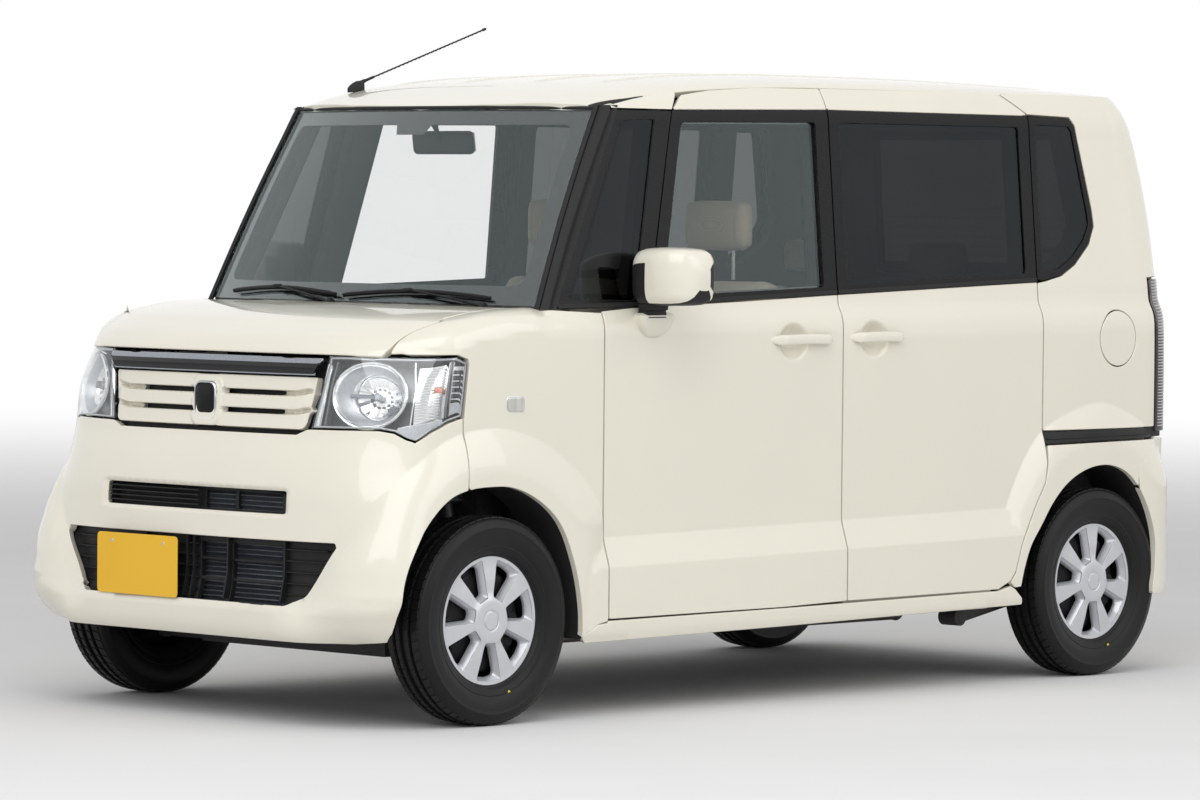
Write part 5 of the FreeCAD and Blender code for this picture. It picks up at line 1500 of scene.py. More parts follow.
    def _tail(self, paint: list[bpy.types.Material]) -> None:
        """Build the rear bumper and the tailgate."""
        half = [(0, 702), (560, 702), (700, 704), (785, 704), (820, 684), (897, 612)]
        side = [(y + SIDE_ZERO, z) for y, z in ARCH_REAR if y >= 1486 or (y > 1470 and z < 500)]
        half += [(4685 - u, z) for u, z in side]
        half += [(800, 235), (600, 226), (300, 224), (0, 224)]
        outline = half + [(-a, z) for a, z in half[-2:0:-1]]
        lines = [[(-820, z), (820, z)] for z in (255, 290, 560, 600, 630, 645, 660)]
        bumper = panel(rear_sheet, outline, [], lines, step=26, hem=20, back=True, flip=True)
        bumper.build("rear_bumper_cover", paint, "car_body", "body_paint", ["rear_bumper"])
        half = [
            (0, 486), (560, 486), (583, 500), (583, 900), (583, 1300), (583, 1560), (582, 1690), (570, 1722),
            (540, 1737), (300, 1743), (0, 1744)
        ]
        outline = half + [(-a, z) for a, z in half[-2:0:-1]]
        glass = rounded([(-505, 1185), (505, 1185), (515, 1400), (490, 1640), (-490, 1640), (-515, 1400)], 36)
        gate = panel(self._gate, outline, [glass], step=28, hem=38, flip=True, back=True)
        gate.build("tailgate_skin", paint, "rear_gate", "body_paint", ["tailgate"])

    @staticmethod
    def _gate(ab: np.ndarray) -> np.ndarray:
        """Map the tailgate's sheet, with a hollow for the number plate."""
        p = rear_sheet(ab)
        inner = np.maximum(np.abs(ab[:, 0]) - 190.0, 0) / 40.0
        level = np.maximum(np.abs(ab[:, 1] - 815.0) - 95.0, 0) / 34.0
        p[:, 1] -= 16.0 * (1 - ramp(np.hypot(inner, level)))
        p[:, 1] = np.where(ab[:, 1] < 720, np.minimum(p[:, 1], TAIL - 14.0), p[:, 1])
        return p


class Repeater:
    """A Geometry Nodes tree that sets one part again and again, stepped or turned about the origin."""

    def __init__(self) -> None:
        """Build the tree."""
        tree = bpy.data.node_groups.new("repeat_part", "GeometryNodeTree")
        self.tree = tree
        face = tree.interface
        face.new_socket("Geometry", in_out="INPUT", socket_type="NodeSocketGeometry")
        self.count = face.new_socket("Count", in_out="INPUT", socket_type="NodeSocketInt").identifier
        self.step = face.new_socket("Step", in_out="INPUT", socket_type="NodeSocketVector").identifier
        self.turn = face.new_socket("Turn", in_out="INPUT", socket_type="NodeSocketVector").identifier
        self.finish = face.new_socket("Material", in_out="INPUT", socket_type="NodeSocketMaterial").identifier
        face.new_socket("Geometry", in_out="OUTPUT", socket_type="NodeSocketGeometry")
        add, link = tree.nodes.new, tree.links.new
        source, sink = add("NodeGroupInput"), add("NodeGroupOutput")
        line, index = add("GeometryNodeMeshLine"), add("GeometryNodeInputIndex")
        line.inputs["Offset"].default_value = (0, 0, 0)
        link(source.outputs["Count"], line.inputs["Count"])
        scaled = []
        for name in ("Step", "Turn"):
            by = add("ShaderNodeVectorMath")
            by.operation = "SCALE"
            link(source.outputs[name], by.inputs[0])
            link(index.outputs[0], by.inputs["Scale"])
            scaled.append(by.outputs[0])
        place, copies = add("GeometryNodeSetPosition"), add("GeometryNodeInstanceOnPoints")
        link(line.outputs[0], place.inputs["Geometry"])
        link(scaled[0], place.inputs["Offset"])
        link(place.outputs[0], copies.inputs["Points"])
        link(source.outputs["Geometry"], copies.inputs["Instance"])
        link(scaled[1], copies.inputs["Rotation"])
        real, painted = add("GeometryNodeRealizeInstances"), add("GeometryNodeSetMaterial")
        link(copies.outputs[0], real.inputs[0])
        link(real.outputs[0], painted.inputs["Geometry"])
        link(source.outputs["Material"], painted.inputs["Material"])
        link(painted.outputs[0], sink.inputs[0])

    def spread(
        self, part: Shape, material: bpy.types.Material, count: int, step: Sequence[float] = (0, 0, 0),
        turn: float = 0.0, slot: int = 0
    ) -> Shape:
        """Repeat a part.

        Args:
            part: The first one, in its place.
            material: Its finish.
            count: How many there are.
            step: From one to the next, in millimetres.
            turn: From one to the next about X, in degrees.
            slot: Material number in the result.

        Returns:
            All of them as one shape.
        """
        mesh = bpy.data.meshes.new("part_to_repeat")
        mesh.from_pydata((np.concatenate(part.verts) * MM).tolist(), [], part.faces)
        holder = bpy.data.objects.new("part_to_repeat", mesh)
        bpy.context.scene.collection.objects.link(holder)
        modifier = holder.modifiers.new("repeat", "NODES")
        modifier.node_group = self.tree
        modifier[self.count] = count
        modifier[self.step] = tuple(float(v) * MM for v in step)
        modifier[self.turn] = (math.radians(turn), 0.0, 0.0)
        modifier[self.finish] = material
        bpy.context.view_layer.update()
        baked = bpy.data.meshes.new_from_object(holder.evaluated_get(bpy.context.evaluated_depsgraph_get()))
        holder.modifiers.remove(modifier)
        flat = np.zeros(len(baked.vertices) * 3, np.float32)
        baked.vertices.foreach_get("co", flat)
        out = Shape().add(
            flat.reshape(-1, 3).astype(float) / MM, [tuple(p.vertices) for p in baked.polygons], slot
        )
        bpy.data.objects.remove(holder)
        bpy.data.meshes.remove(mesh)
        bpy.data.meshes.remove(baked)
        return out


REPEAT = Repeater()


def shifted(
    surface: Callable[[np.ndarray], np.ndarray], lift: float, flip: bool = False
) -> Callable[[np.ndarray], np.ndarray]:
    """Return a surface moved along its own normal."""

    def sheet(ab: np.ndarray) -> np.ndarray:
        """Map points of the moved surface."""
        return surface(ab) + normals_of(surface, ab) * (-lift if flip else lift)

    return sheet


def pane(
    surface: Callable[[np.ndarray], np.ndarray], outline: Line, band: float, lift: float = -3.0,
    thick: float = 4.0, flip: bool = False
) -> Shape:
    """Make a window pane in slot 0 with a black band behind its edge in slot 1."""
    outline = list(outline)
    if area(np.array(outline, float)) < 0:
        outline = outline[::-1]
    glass = panel(
        surface, outline, step=45, radius=0.8, hem=thick, lift=lift, back=True, flip=flip, edge_step=20
    )
    ring = dense(outline, 20)
    inner = shrink(ring, band)
    return glass.join(
        panel(
            surface, outline, [inner], step=30, radius=0.4, hem=1.2, lift=lift - thick - 0.5, back=True,
            flip=flip, slot=1, edge_step=20
        )
    )


@dataclass
class Glazing:
    """Windows, their black frames and the pillars."""

    screen_low: float = 1117.0
    screen_high: float = 1652.0
    wing_front: tuple[float, float] = (-965.0, -692.0)

    def build(self) -> None:
        """Build every window."""
        black = [GLOSS_BLACK.material(), SEAL.material(), BLACK.material()]
        clear = [CLEAR_GLASS.material(), FRIT.material()]
        dark = [DARK_GLASS.material(), FRIT.material()]
        self._screen(clear)
        self._pillars(black)
        self._front_door(black, clear)
        self._sliding_door(black, dark)
        self._rear_quarter(black, dark)
        self._rear_window(dark)

    def screen_edge(self, z: np.ndarray) -> np.ndarray:
        """Return half the windscreen's width at a height."""
        return 650.0 - 58.0 * (z - 1115.0) / 535.0

    def _screen(self, clear: list[bpy.types.Material]) -> None:
        """Build the windscreen with its black band and mirror patch."""
        low, high = self.screen_low, self.screen_high
        edge = [(x, low + 3 * (1 - (x / 648) ** 2)) for x in np.linspace(-648, 648, 15)]
        edge += [(float(self.screen_edge(np.array(z))) - 1, z) for z in np.linspace(low + 60, high - 10, 8)]
        edge += [(x, high + 4 * (1 - (x / 590) ** 2)) for x in np.linspace(590, -590, 13)]
        edge += [(1 - float(self.screen_edge(np.array(z))), z) for z in np.linspace(high - 10, low + 60, 8)]
        screen = panel(screen_sheet, edge, step=45, radius=1.0, hem=5, lift=-1.0, back=True)
        hole = rounded([(-592, 1172), (592, 1172), (548, 1612), (-548, 1612)], [34, 34, 26, 26])
        patch = [(70, 1612.5), (55, 1585), (-55, 1585), (-70, 1612.5)]
        inner = hole[: 3 * 6] + patch + hole[3 * 6 :]
        screen.join(
            panel(screen_sheet, edge, [inner], step=32, radius=0.4, hem=1.2, lift=-6.6, back=True, slot=1)
        )
        screen.build("windscreen_glass", clear, "car_body", "clear_glass", ["windscreen"])

    def _pillars(self, black: list[bpy.types.Material]) -> None:
        """Build the pillars between windscreen and side glass, with the moulding."""
        rows, trim = [], []
        for z in np.linspace(1108, 1664, 26):
            at = np.array([z])
            x0 = float(self.screen_edge(at)[0])
            start = screen_sheet(np.array([[x0, z]]))[0]
            share = (z - 1115.0) / 535.0
            y1 = self.wing_front[0] + (self.wing_front[1] - self.wing_front[0]) * share
            end = FORM(np.array([[y1 + SIDE_ZERO, z]]))[0]
            corner = np.array([end[0] + 1.0, start[1] + 12.0, z])
            t = np.linspace(0, 1, 11)[:, None]
            rows.append((1 - t) ** 2 * start + 2 * t * (1 - t) * corner + t * t * end)
            trim.append(start + [2.0, 0.0, 0.0])
        outer = [r + 0.0 for r in rows]
        inner = [(r * 0.25 + r.mean(0) * 0.75) for r in rows]
        skin = [np.vstack([a, b[::-1]]) for a, b in zip(outer, inner)]
        pillar = loft(skin, closed=True, cap_start=True, cap_end=True)
        path = np.array(trim)
        section = np.array([(0.0, -2.5), (4.0, -5.5), (11.0, -5.0), (15.0, 1.0), (12.0, 6.0), (0.0, 6.0)])
        rings = []
        for p in path:
            rings.append(np.array([p + [a, b, 0.0] for a, b in section]))
        pillar.join(loft(rings, cap_start=True, cap_end=True, slot=1))
        pillar.both().build("windscreen_pillars", black, "car_body", "black_plastic", angle=40)
        run = np.linspace(-590, 590, 40)
        top = np.stack(
            [
                run, screen_sheet(np.stack([run, np.full(40, 1656.0)], 1))[:, 1] + 2.0,
                1657.0 - 2.0 * (run / 590) ** 2
            ],
            1
        )
        tube(top, 5.0, 8).build("windscreen_top_seal", [SEAL.material()], "car_body", "black_plastic")

    def _frame(self, outline: Line, hole: Line, lift: float = -0.6) -> Shape:
        """Make one black window frame."""
        return panel(FORM, outline, [hole], step=26, radius=1.6, hem=16, lift=lift, edge_step=16)

    def _belt_seal(self, start: float, end: float) -> Shape:
        """Make the rubber strip at the foot of a window."""
        low = side_line([(start, belt(start) + 1.5), (end, belt(end) + 1.5)])
        high = side_line([(end, belt(end) + 14.0), (start, belt(start) + 14.0)])
        return panel(FORM, low + high, step=30, radius=2.0, hem=8, lift=2.2, slot=1)

    def _front_door(self, black: list[bpy.types.Material], clear: list[bpy.types.Material]) -> None:
        """Build the hinged door's frame and pane."""
        outline = side_line([(-602, belt(-602) + 1.5), (165.5, belt(165.5) + 1.5), (165.5, 1665), (-472, 1654)])
        hole = rounded(side_line([(-548, 1142), (112, 1164), (112, 1630), (-438, 1622)]), [14, 10, 14, 22])
        frame_shape = self._frame(outline, hole).join(self._belt_seal(-600, 165))
        inner = panel(shifted(FORM, -62.0), outline, [hole], step=30, radius=2.0, hem=-8, flip=True, lift=0.0)
        frame_shape.join(inner, 2)
        glass = pane(FORM, shrink(dense(hole, 20), -7.0), 12.0, lift=-10.0)
        for side, flip in (("left", False), ("right", True)):
            (frame_shape.mirrored() if flip else frame_shape).build(
                f"{side}_door_window_frame", black, f"{side}_door", "black_plastic"
            )
            (glass.mirrored() if flip else glass).build(
                f"{side}_door_glass", clear, f"{side}_door", "clear_glass", [f"{side}_front_window"]
            )

    def _sliding_door(self, black: list[bpy.types.Material], dark: list[bpy.types.Material]) -> None:
        """Build the sliding doors' frames and panes."""
        outline = side_line(
            [(170.5, belt(170.5) + 1.5), (1047.5, belt(1047.5) + 1.5), (1047.5, 1665), (170.5, 1665)]
        )
        hole = rounded(side_line([(212, 1172), (1000, 1200), (1000, 1630), (212, 1630)]), 16)
        shape = self._frame(outline, hole).join(self._belt_seal(171, 1047))
        shape.both().build("sliding_door_window_frames", black, "car_body", "black_plastic")
        glass = pane(FORM, shrink(dense(hole, 20), -7.0), 14.0, lift=-6.0)
        glass.both().build("sliding_door_glass", dark, "car_body", "dark_glass", ["sliding_door_windows"])

    def _rear_quarter(self, black: list[bpy.types.Material], dark: list[bpy.types.Material]) -> None:
        """Build the fixed panes ahead of the front doors and behind the sliding doors."""
        low, high = self.wing_front
        wing = side_line([(low - 3, 1116), (-606, 1120), (-476, 1652), (high - 3, 1652)])
        hole = rounded(side_line([(-915, 1137), (-661, 1131), (-547, 1627), (-676, 1622)]), [8, 20, 8, 8])
        shape = self._frame(wing, hole, -1.0).join(self._belt_seal(-962, -606))
        edge = side_line([(-658, 1136), (-545, 1630)])
        lip = panel(
            FORM,
            [
                (edge[0][0], edge[0][1]), (edge[0][0] + 7, edge[0][1]), (edge[1][0] + 7, edge[1][1]),
                (edge[1][0], edge[1][1])
            ],
            step=20, radius=1.2, hem=5, lift=0.8
        )
        shape.join(lip)
        quarter = side_line(
            [
                (1052.5, 1182), (1085, 1180), (1164, 1196), (1230, 1229), (1298, 1288), (1324, 1341),
                (1318, 1391), (1260, 1636), (1240, 1660), (1052.5, 1663)
            ]
        )
        rear_hole = rounded(
            side_line(
                [
                    (1076, 1202), (1155, 1215), (1216, 1247), (1276, 1300), (1302, 1345), (1296, 1388),
                    (1246, 1618), (1232, 1636), (1076, 1638)
                ]
            ),
            [10, 30, 30, 30, 20, 40, 10, 10, 10]
        )
        shape.join(self._frame(quarter, rear_hole, -0.8))
        shape.both().build("fixed_window_frames", black, "car_body", "black_plastic")
        glass = pane(FORM, shrink(dense(hole, 20), -5.0), 20.0, lift=-5.0)
        glass.join(pane(FORM, shrink(dense(rear_hole, 20), -5.0), 22.0, lift=-4.5))
        glass.both().build("fixed_side_glass", dark, "car_body", "dark_glass", ["quarter_windows"])

    def _rear_window(self, dark: list[bpy.types.Material]) -> None:
        """Build the tailgate's window with its heater lines, seal and stop lamp."""
        edge = rounded([(-505, 1187), (505, 1187), (514, 1400), (489, 1638), (-489, 1638), (-514, 1400)], 34)
        glass = pane(rear_sheet, edge, 34.0, lift=-2.0, flip=True)
        glass.build("tailgate_glass", dark, "rear_gate", "dark_glass", ["tailgate_window"])
        wire = panel(
            rear_sheet, [(-462, 1240), (462, 1240), (462, 1241.4), (-462, 1241.4)], step=40, radius=0.2,
            hem=0.8, lift=-7.0, flip=True, edge_step=60
        )
        wires = REPEAT.spread(wire, COPPER.material(), 11, (0.0, -3.6, 30.0))
        wires.build("rear_window_heater", [COPPER.material()], "rear_gate", "steel")
        seal = panel(
            rear_sheet, shrink(dense(edge, 20), -3.0), [shrink(dense(edge, 20), 3.0)], step=30, radius=1.5,
            hem=6, lift=0.6, flip=True
        )
        seal.build("tailgate_glass_seal", [SEAL.material()], "rear_gate", "black_plastic")
        lamp = panel(
            rear_sheet, rounded([(-135, 1664), (135, 1664), (132, 1684), (-132, 1684)], 5), step=20, radius=2.5,
            hem=14, lift=3.0, flip=True, back=True
        )
        lamp.build("high_stop_lamp", [RED_LENS.material()], "rear_gate", "lamp_red")


COPPER = Finish("heater_lines", (0.30, 0.17, 0.10), 0.4, 0.6, Pattern.SMOOTH, 200.0, 0.0, (0.26, 0.15, 0.09))


def level_normals(ab: np.ndarray) -> np.ndarray:
    """Return the body form's normals, taken no higher than below the bonnet's edge."""
    return normals_of(FORM, np.minimum(ab, [FAR, BONNET_EDGE]))


def shell_sheet(depth: float) -> Callable[[np.ndarray], np.ndarray]:
    """Return the body form moved inward by a depth."""
    return lambda ab: FORM(ab) - level_normals(ab) * depth


def strip_of(points: Line, width: float, depth: float, thick: float, slot: int = 0) -> Shape:
    """Lay a raised strip along a line on the body form."""
    path = dense(points, 8.0, closed=False)
    way = np.gradient(path, axis=0)
    way /= np.linalg.norm(way, axis=1)[:, None]
    side = np.stack([-way[:, 1], way[:, 0]], 1)
    rings = []
    for off, rise in (
        (-0.5, -thick), (-0.5, -0.15 * thick), (-0.32, 0.0), (0.32, 0.0), (0.5, -0.15 * thick), (0.5, -thick)
    ):
        ab = path + side * off * width
        rings.append(FORM(ab) + normals_of(FORM, ab) * (rise - depth))
    rows = [np.array([ring[i] for ring in rings]) for i in range(len(path))]
    return loft(rows[::-1], closed=True, cap_start=True, cap_end=True, slot=slot)


@dataclass
class FrontEnd:
    """Grille, lamps, intakes and plate."""

    slot_heights: tuple[float, float] = (882.0, 832.0)
    bowl: tuple[float, float, float, float] = (579.0, 884.0, 118.0, 91.0)

    def build(self) -> None:
        """Build the front end."""
        self._grille()
        self._badge()
        self._headlamps()
        self._intakes()
        self._radiator()
        self._plate()
        self._markers()

    def _grille_sheet(self, ab: np.ndarray) -> np.ndarray:
        """Map the grille's face with its grooves between the slats."""
        p = FORM(ab)
        x, z = np.abs(ab[:, 0]), ab[:, 1]
        rise = 12.0 * ramp((x - 330.0) / 60.0)
        deep = np.zeros(len(ab))
        for level in self.slot_heights:
            away = np.abs(z - level - rise * 0.6)
            deep = np.maximum(deep, 1 - ramp((away - 3.5) / 5.0))
        deep *= 1 - ramp((x - 372.0) / 26.0)
        edge = ramp((x - 372.0) / 24.0)
        p[:, 1] += 19.0 * deep + 6.0 * edge + 2.0
        boss = np.hypot(np.maximum(x - 30.0, 0), np.maximum(np.abs(z - 855.0) - 38.0, 0))
        p[:, 1] = np.where(
            boss < 34.0, p[:, 1] * ramp((boss - 26) / 8) + (FORM(ab)[:, 1] - 2.0) * (1 - ramp((boss - 26) / 8)),
            p[:, 1]
        )
        return p

    def _grille(self) -> None:
        """Build the slats, the gap round them and the bright bar."""
        edge = rounded([(-382, 788), (382, 788), (407, 927), (-407, 927)], [26, 26, 8, 8])
        holes, lines = [], []
        for level in self.slot_heights:
            for s in (-1, 1):
                a, b = sorted((s * 66.0, s * 285.0))
                holes.append(rounded([(a, level - 4), (b, level - 4), (b, level + 4), (a, level + 4)], 2.5))
            for off in (-10, -8, -6.4, -4.8, 4.8, 6.4, 8, 10):
                lines.append(
                    [
                        (s * x, level + off + 7.2 * float(ramp(np.array((x - 330.0) / 60.0)))) for s,
                        x in [(-1, 404), (-1, 390), (-1, 375), (-1, 350), (-1, 330)]
                    ]
                )
                lines.append([(x, level + off) for x in (-330, -200, -62)])
                lines.append([(x, level + off) for x in (62, 200, 330)])
                lines.append(
                    [
                        (x, level + off + 7.2 * float(ramp(np.array((x - 330.0) / 60.0))))
                        for x in (330, 350, 375, 390, 404)
                    ]
                )
        for r in (20, 27, 30, 33, 36):
            lines.append(
                rounded([(-30 - r, 817 - r), (30 + r, 817 - r), (30 + r, 893 + r), (-30 - r, 893 + r)], r)
            )
        for x in (372, 380, 388, 396):
            lines += [[(s * (x - 14), 800), (s * x, 925)] for s in (-1, 1)]
        face = panel(self._grille_sheet, edge, holes, lines, step=14, radius=2.5, hem=24, edge_step=6)
        paint = [
            PAINT.material(), BLACK.material(), DARK_CHROME.material(), CHROME.material(),
            BAR_SHADE_BLACK.material()
        ]
        face.join(
            panel(
                shell_sheet(34.0), rounded([(-404, 778), (404, 778), (436, 984), (-436, 984)], 6), step=40,
                radius=1, hem=4
            ),
            1
        )
        bar = [(-434, 980.5), (-404, 934), (404, 934), (434, 980.5)]
        bar_shape = panel(
            self._bar_sheet, bar, [], [[(-430, z), (430, z)] for z in (940, 946, 955, 964, 970, 974)], step=20,
            radius=2.0, hem=26, edge_step=10, slot=2
        )
        # One bar, two finishes by height: smoked chrome above 964 mm and gloss black below. So its lower face
        # is painted dark as shade, and only its upper face reflects the sky.
        points = np.concatenate(bar_shape.verts)
        for i, tri in enumerate(bar_shape.faces):
            bar_shape.slots[i] = 2 if points[list(tri)].mean(0)[2] > 964.0 else 4
        face.join(bar_shape)
        lip = [(-411, 937.5), (-404.5, 931.5), (404.5, 931.5), (411, 937.5)]
        face.join(panel(FORM, lip, step=20, radius=1.2, hem=6, lift=5.5, slot=2, edge_step=10))
        face.build("grille_slats", paint, "car_body", "body_paint", ["grille"])

    @staticmethod
    def _bar_sheet(ab: np.ndarray) -> np.ndarray:
        """Map the bright bar's crowned face."""
        p = FORM(ab)
        p[:, 1] -= 3.0 + 9.0 * np.sin(np.pi * np.clip((ab[:, 1] - 932.0) / 50.0, 0, 1)) ** 0.7
        return p

    def _badge(self) -> None:
        """Build the blank badge: a bright rim round a plain crowned face."""
        base = float(FORM(np.array([[0.0, 855.0]]))[0, 1])
        rings = []
        for half, rise in ((44, 4.0), (44, -4.0), (41.5, -7.5), (38.5, -7.0), (37.5, -3.0)):
            shape = rounded(
                [
                    (-half, 855 - half - 9), (half, 855 - half - 9), (half, 855 + half + 9),
                    (-half, 855 + half + 9)
                ],
                [half * 0.62] * 4, 8
            )
            rings.append(np.array([(x, base + rise, z) for x, z in shape]))
        rim = loft(rings)
        rows = [rings[-1]]
        for share, rise in ((0.97, -3.5), (0.8, -5.0), (0.5, -6.2), (0.2, -6.6)):
            rows.append(np.array([(x * share, base + rise, 855 + (z - 855) * share) for x, _, z in rings[-1]]))
        rim.join(loft(rows, cap_end=True), 1)
        rim.build(
            "blank_badge", [CHROME.material(), GLOSS_BLACK.material()], "car_body", "black_plastic", angle=50
        )

    def _bowl_ring(
        self, share: float, depth: float, facets: float = 0.0, count: int = 72, shift: float = 0.0
    ) -> np.ndarray:
        """Return one ring of the lamp's bowl."""
        u0, z0, a, b = self.bowl
        t = np.linspace(0, 2 * math.pi, count, endpoint=False)
        ab = np.stack([u0 + shift + a * share * np.cos(t), z0 + b * share * np.sin(t)], 1)
        deep = depth + facets * np.abs(np.sin(6 * t))
        normal = level_normals(ab)
        near = sum(np.roll(normal, k, 0) for k in range(-5, 6))
        near /= np.linalg.norm(near, axis=1)[:, None]
        return FORM(ab) - near * deep[:, None]

    def _headlamps(self) -> None:
        """Build both headlamps, left and right mirrored."""
        edge = np.array(rounded(LAMP_EDGE, [3, 6, 3, 3, 8, 12, 6, 8, 20, 14, 20, 20, 6, 3]))
        if area(edge) < 0:
            edge = edge[::-1]
        ring = dense(edge, 10.0)
        lens = panel(FORM, shrink(ring, 1.6), step=22, radius=2.0, hem=3.0, lift=-0.6, back=True, edge_step=10)
        lens.both().build("headlamp_lenses", [LENS.material()], "car_body", "lamp_clear")
        body = panel(shell_sheet(64.0), shrink(ring, 7.0), step=24, radius=1.0, hem=4, slot=1)
        wall = shrink(ring, 5.0)
        deep = shrink(ring, 7.0)
        normal, normal_deep = level_normals(wall), level_normals(deep)
        rows = [FORM(wall) - normal * 3.5, FORM(deep) - normal_deep * 20.0, FORM(deep) - normal_deep * 66.0]
        body.join(loft(rows[::-1]), 1)
        bezel = panel(
            shell_sheet(5.5), shrink(ring, 3.0), [shrink(ring, 8.0)], step=30, radius=1.5, hem=7, slot=2
        )
        body.join(bezel)
        bowl = [
            (1.02, 14.0, 0.0), (1.0, 8.0, 0.0), (0.965, 5.0, 0.0), (0.93, 6.5, 0.0), (0.90, 13.0, 0.0),
            (0.885, 15.0, 0.0)
        ]
        body.join(loft([self._bowl_ring(*row) for row in bowl[::-1]]))
        wall_rows = [
            (0.885, 15.0, 0.0, 72, 0.0), (0.86, 22.0, 0.0, 72, 2.0), (0.80, 34.0, 0.0, 72, 6.0),
            (0.72, 44.0, 0.0, 72, 12.0)
        ]
        body.join(loft([self._bowl_ring(*row) for row in wall_rows[::-1]]), 2)
        cup = [
            (0.72, 44.0, 0.0, 72, 12.0), (0.70, 41.0, 0.0, 72, 13.0), (0.66, 45.0, 0.0, 72, 14.0),
            (0.62, 52.0, 1.0, 72, 15.0), (0.48, 60.0, 1.5, 72, 17.0), (0.30, 64.0, 1.0, 72, 18.0),
            (0.14, 62.0, 0.0, 72, 18.0)
        ]
        body.join(loft([self._bowl_ring(*row) for row in cup[::-1]], cap_start=True))
        spot = np.array([[self.bowl[0] + 18.0, self.bowl[1]]])
        centre, axis = FORM(spot)[0], normals_of(FORM, spot)[0]
        body.join(
            tube(
                [centre - axis * 62, centre - axis * 44, centre - axis * 30, centre - axis * 27],
                [13, 11, 11, 7], 20
            ),
            3
        )
        body.join(strip_of([(505, 884), (588, 884)], 11.0, 36.0, 10.0), 3)
        for points, width, depth, thick, slot in (
            ([(448, 974), (438, 920), (420, 800)], 15.0, 8.0, 30.0, 0),
            ([(468, 974), (452, 900), (440, 800)], 7.0, 14.0, 20.0, 1),
            ([(880, 972), (887, 900), (880, 826)], 26.0, 14.0, 26.0, 1),
            ([(862, 972), (868, 900), (864, 822)], 5.0, 9.0, 30.0, 0),
            ([(898, 972), (904, 900), (898, 828)], 5.0, 9.0, 30.0, 0),
            ([(708, 974), (722, 900), (712, 800)], 6.0, 10.0, 30.0, 0),
            ([(978, 962), (974, 900), (960, 836)], 8.0, 8.0, 24.0, 0),
        ):
            body.join(strip_of(points, width, depth, thick), slot)
        body.join(
            panel(shell_sheet(30.0), [(724, 806), (858, 822), (862, 968), (724, 968)], step=20, radius=1, hem=6)
        )
        body.join(
            panel(
                shell_sheet(34.0), [(902, 826), (962, 836), (974, 962), (902, 968)], step=20, radius=1, hem=6
            ),
            1
        )
        body.join(
            panel(
                shell_sheet(16.0), [(902, 828), (960, 838), (964, 866), (902, 862)], step=20, radius=2, hem=10
            ),
            2
        )
        ribs = Shape()
        for k in range(19):
            z = 820.0 + 7.6 * k
            ribs.join(strip_of([(726, z), (858, z + 2)], 5.2, 22.0, 8.0))
        body.join(ribs)
        for z in (874, 890, 906, 922, 938):
            body.join(strip_of([(902, z), (966, z)], 7.0, 18.0, 18.0))
        body.join(strip_of([(902, 956), (972, 956)], 14.0, 12.0, 20.0))
        tip = np.array(
            rounded(
                [
                    (672, 790), (706, 776), (738, 768), (800, 794), (862, 812), (862, 822), (700, 806),
                    (672, 800)
                ],
                3
            )
        )
        body.join(panel(shell_sheet(10.0), tip, step=18, radius=3, hem=18), 2)
        bulb = np.array([[836.0, 900.0]])
        centre, axis = FORM(bulb)[0], normals_of(FORM, bulb)[0]
        body.join(
            tube(
                [centre - axis * 32, centre - axis * 26, centre - axis * 14, centre - axis * 9], [7, 9, 9, 5],
                16
            ),
            4
        )
        finishes = [
            REFLECTOR.material(), LAMP_DARK.material(), LAMP_MATT.material(), DARK_CHROME.material(),
            AMBER.material()
        ]
        body.both().build("headlamp_interiors", finishes, "car_body", "lamp_clear", ["headlamps"], angle=28)

    def _intakes(self) -> None:
        """Build the black grids inside the bumper's openings."""
        black = BLACK.material()
        back = shell_sheet(30.0)
        windows = [
            [(a, low), (b, low), (b, high), (a, high)] for a, b in ((22, 136), (150, 352)) for low,
            high in ((336, 378), (386, 428), (436, 478))
        ]
        edge = rounded(
            [
                (-420, 316), (420, 316), (475, 350), (562, 482), (556, 502), (-556, 502), (-562, 482),
                (-475, 350)
            ],
            12
        )
        grid = panel(back, edge, [rounded(w, 4) for w in windows], step=26, radius=2, hem=16)
        slots = [
            [(22, 570), (140, 570), (140, 618), (22, 618)], [(152, 570), (352, 570), (352, 618), (152, 618)]
        ]
        grid.join(
            panel(
                back, rounded([(-374, 556), (374, 556), (374, 632), (-374, 632)], 10),
                [rounded(w, 4) for w in slots], step=26, radius=2, hem=16
            )
        )
        bar = self._cross_bar(-532.0, 20.0, 470.0)
        grid.join(REPEAT.spread(bar, black, 5, (0.0, 0.0, -30.0)))
        low_bar = self._cross_bar(354.0, 500.0, 470.0)
        grid.join(REPEAT.spread(low_bar, black, 5, (0.0, 0.0, -30.0)))
        slot_bar = self._cross_bar(-356.0, 20.0, 614.0)
        grid.join(REPEAT.spread(slot_bar, black, 4, (0.0, 0.0, -13.0)))
        for x in (-190.0, -20.0, 8.0, 143.0, 356.0):
            rows = [
                np.array(
                    [
                        FORM(np.array([[x + dx, z]]))[0] + [0, d, 0] for dx,
                        d in ((-3, 34), (3, 34), (3, 15), (-3, 15))
                    ]
                )
                for z in (330, 400, 490)
            ]
            grid.join(loft(rows, cap_start=True, cap_end=True))
        grid.build("bumper_grids", [black], "car_body", "black_plastic")

    def _cross_bar(self, start: float, end: float, z: float) -> Shape:
        """Make one thin bar across an opening."""
        rows = []
        for x in np.linspace(start, end, 14):
            y = float(FORM(np.array([[x, 470.0]]))[0, 1])
            rows.append(
                np.array(
                    [(x, y + 34, z - 3.0), (x, y + 34, z + 3.0), (x, y + 18, z + 1.5), (x, y + 18, z - 1.5)]
                )
            )
        return loft(rows, cap_start=True, cap_end=True)

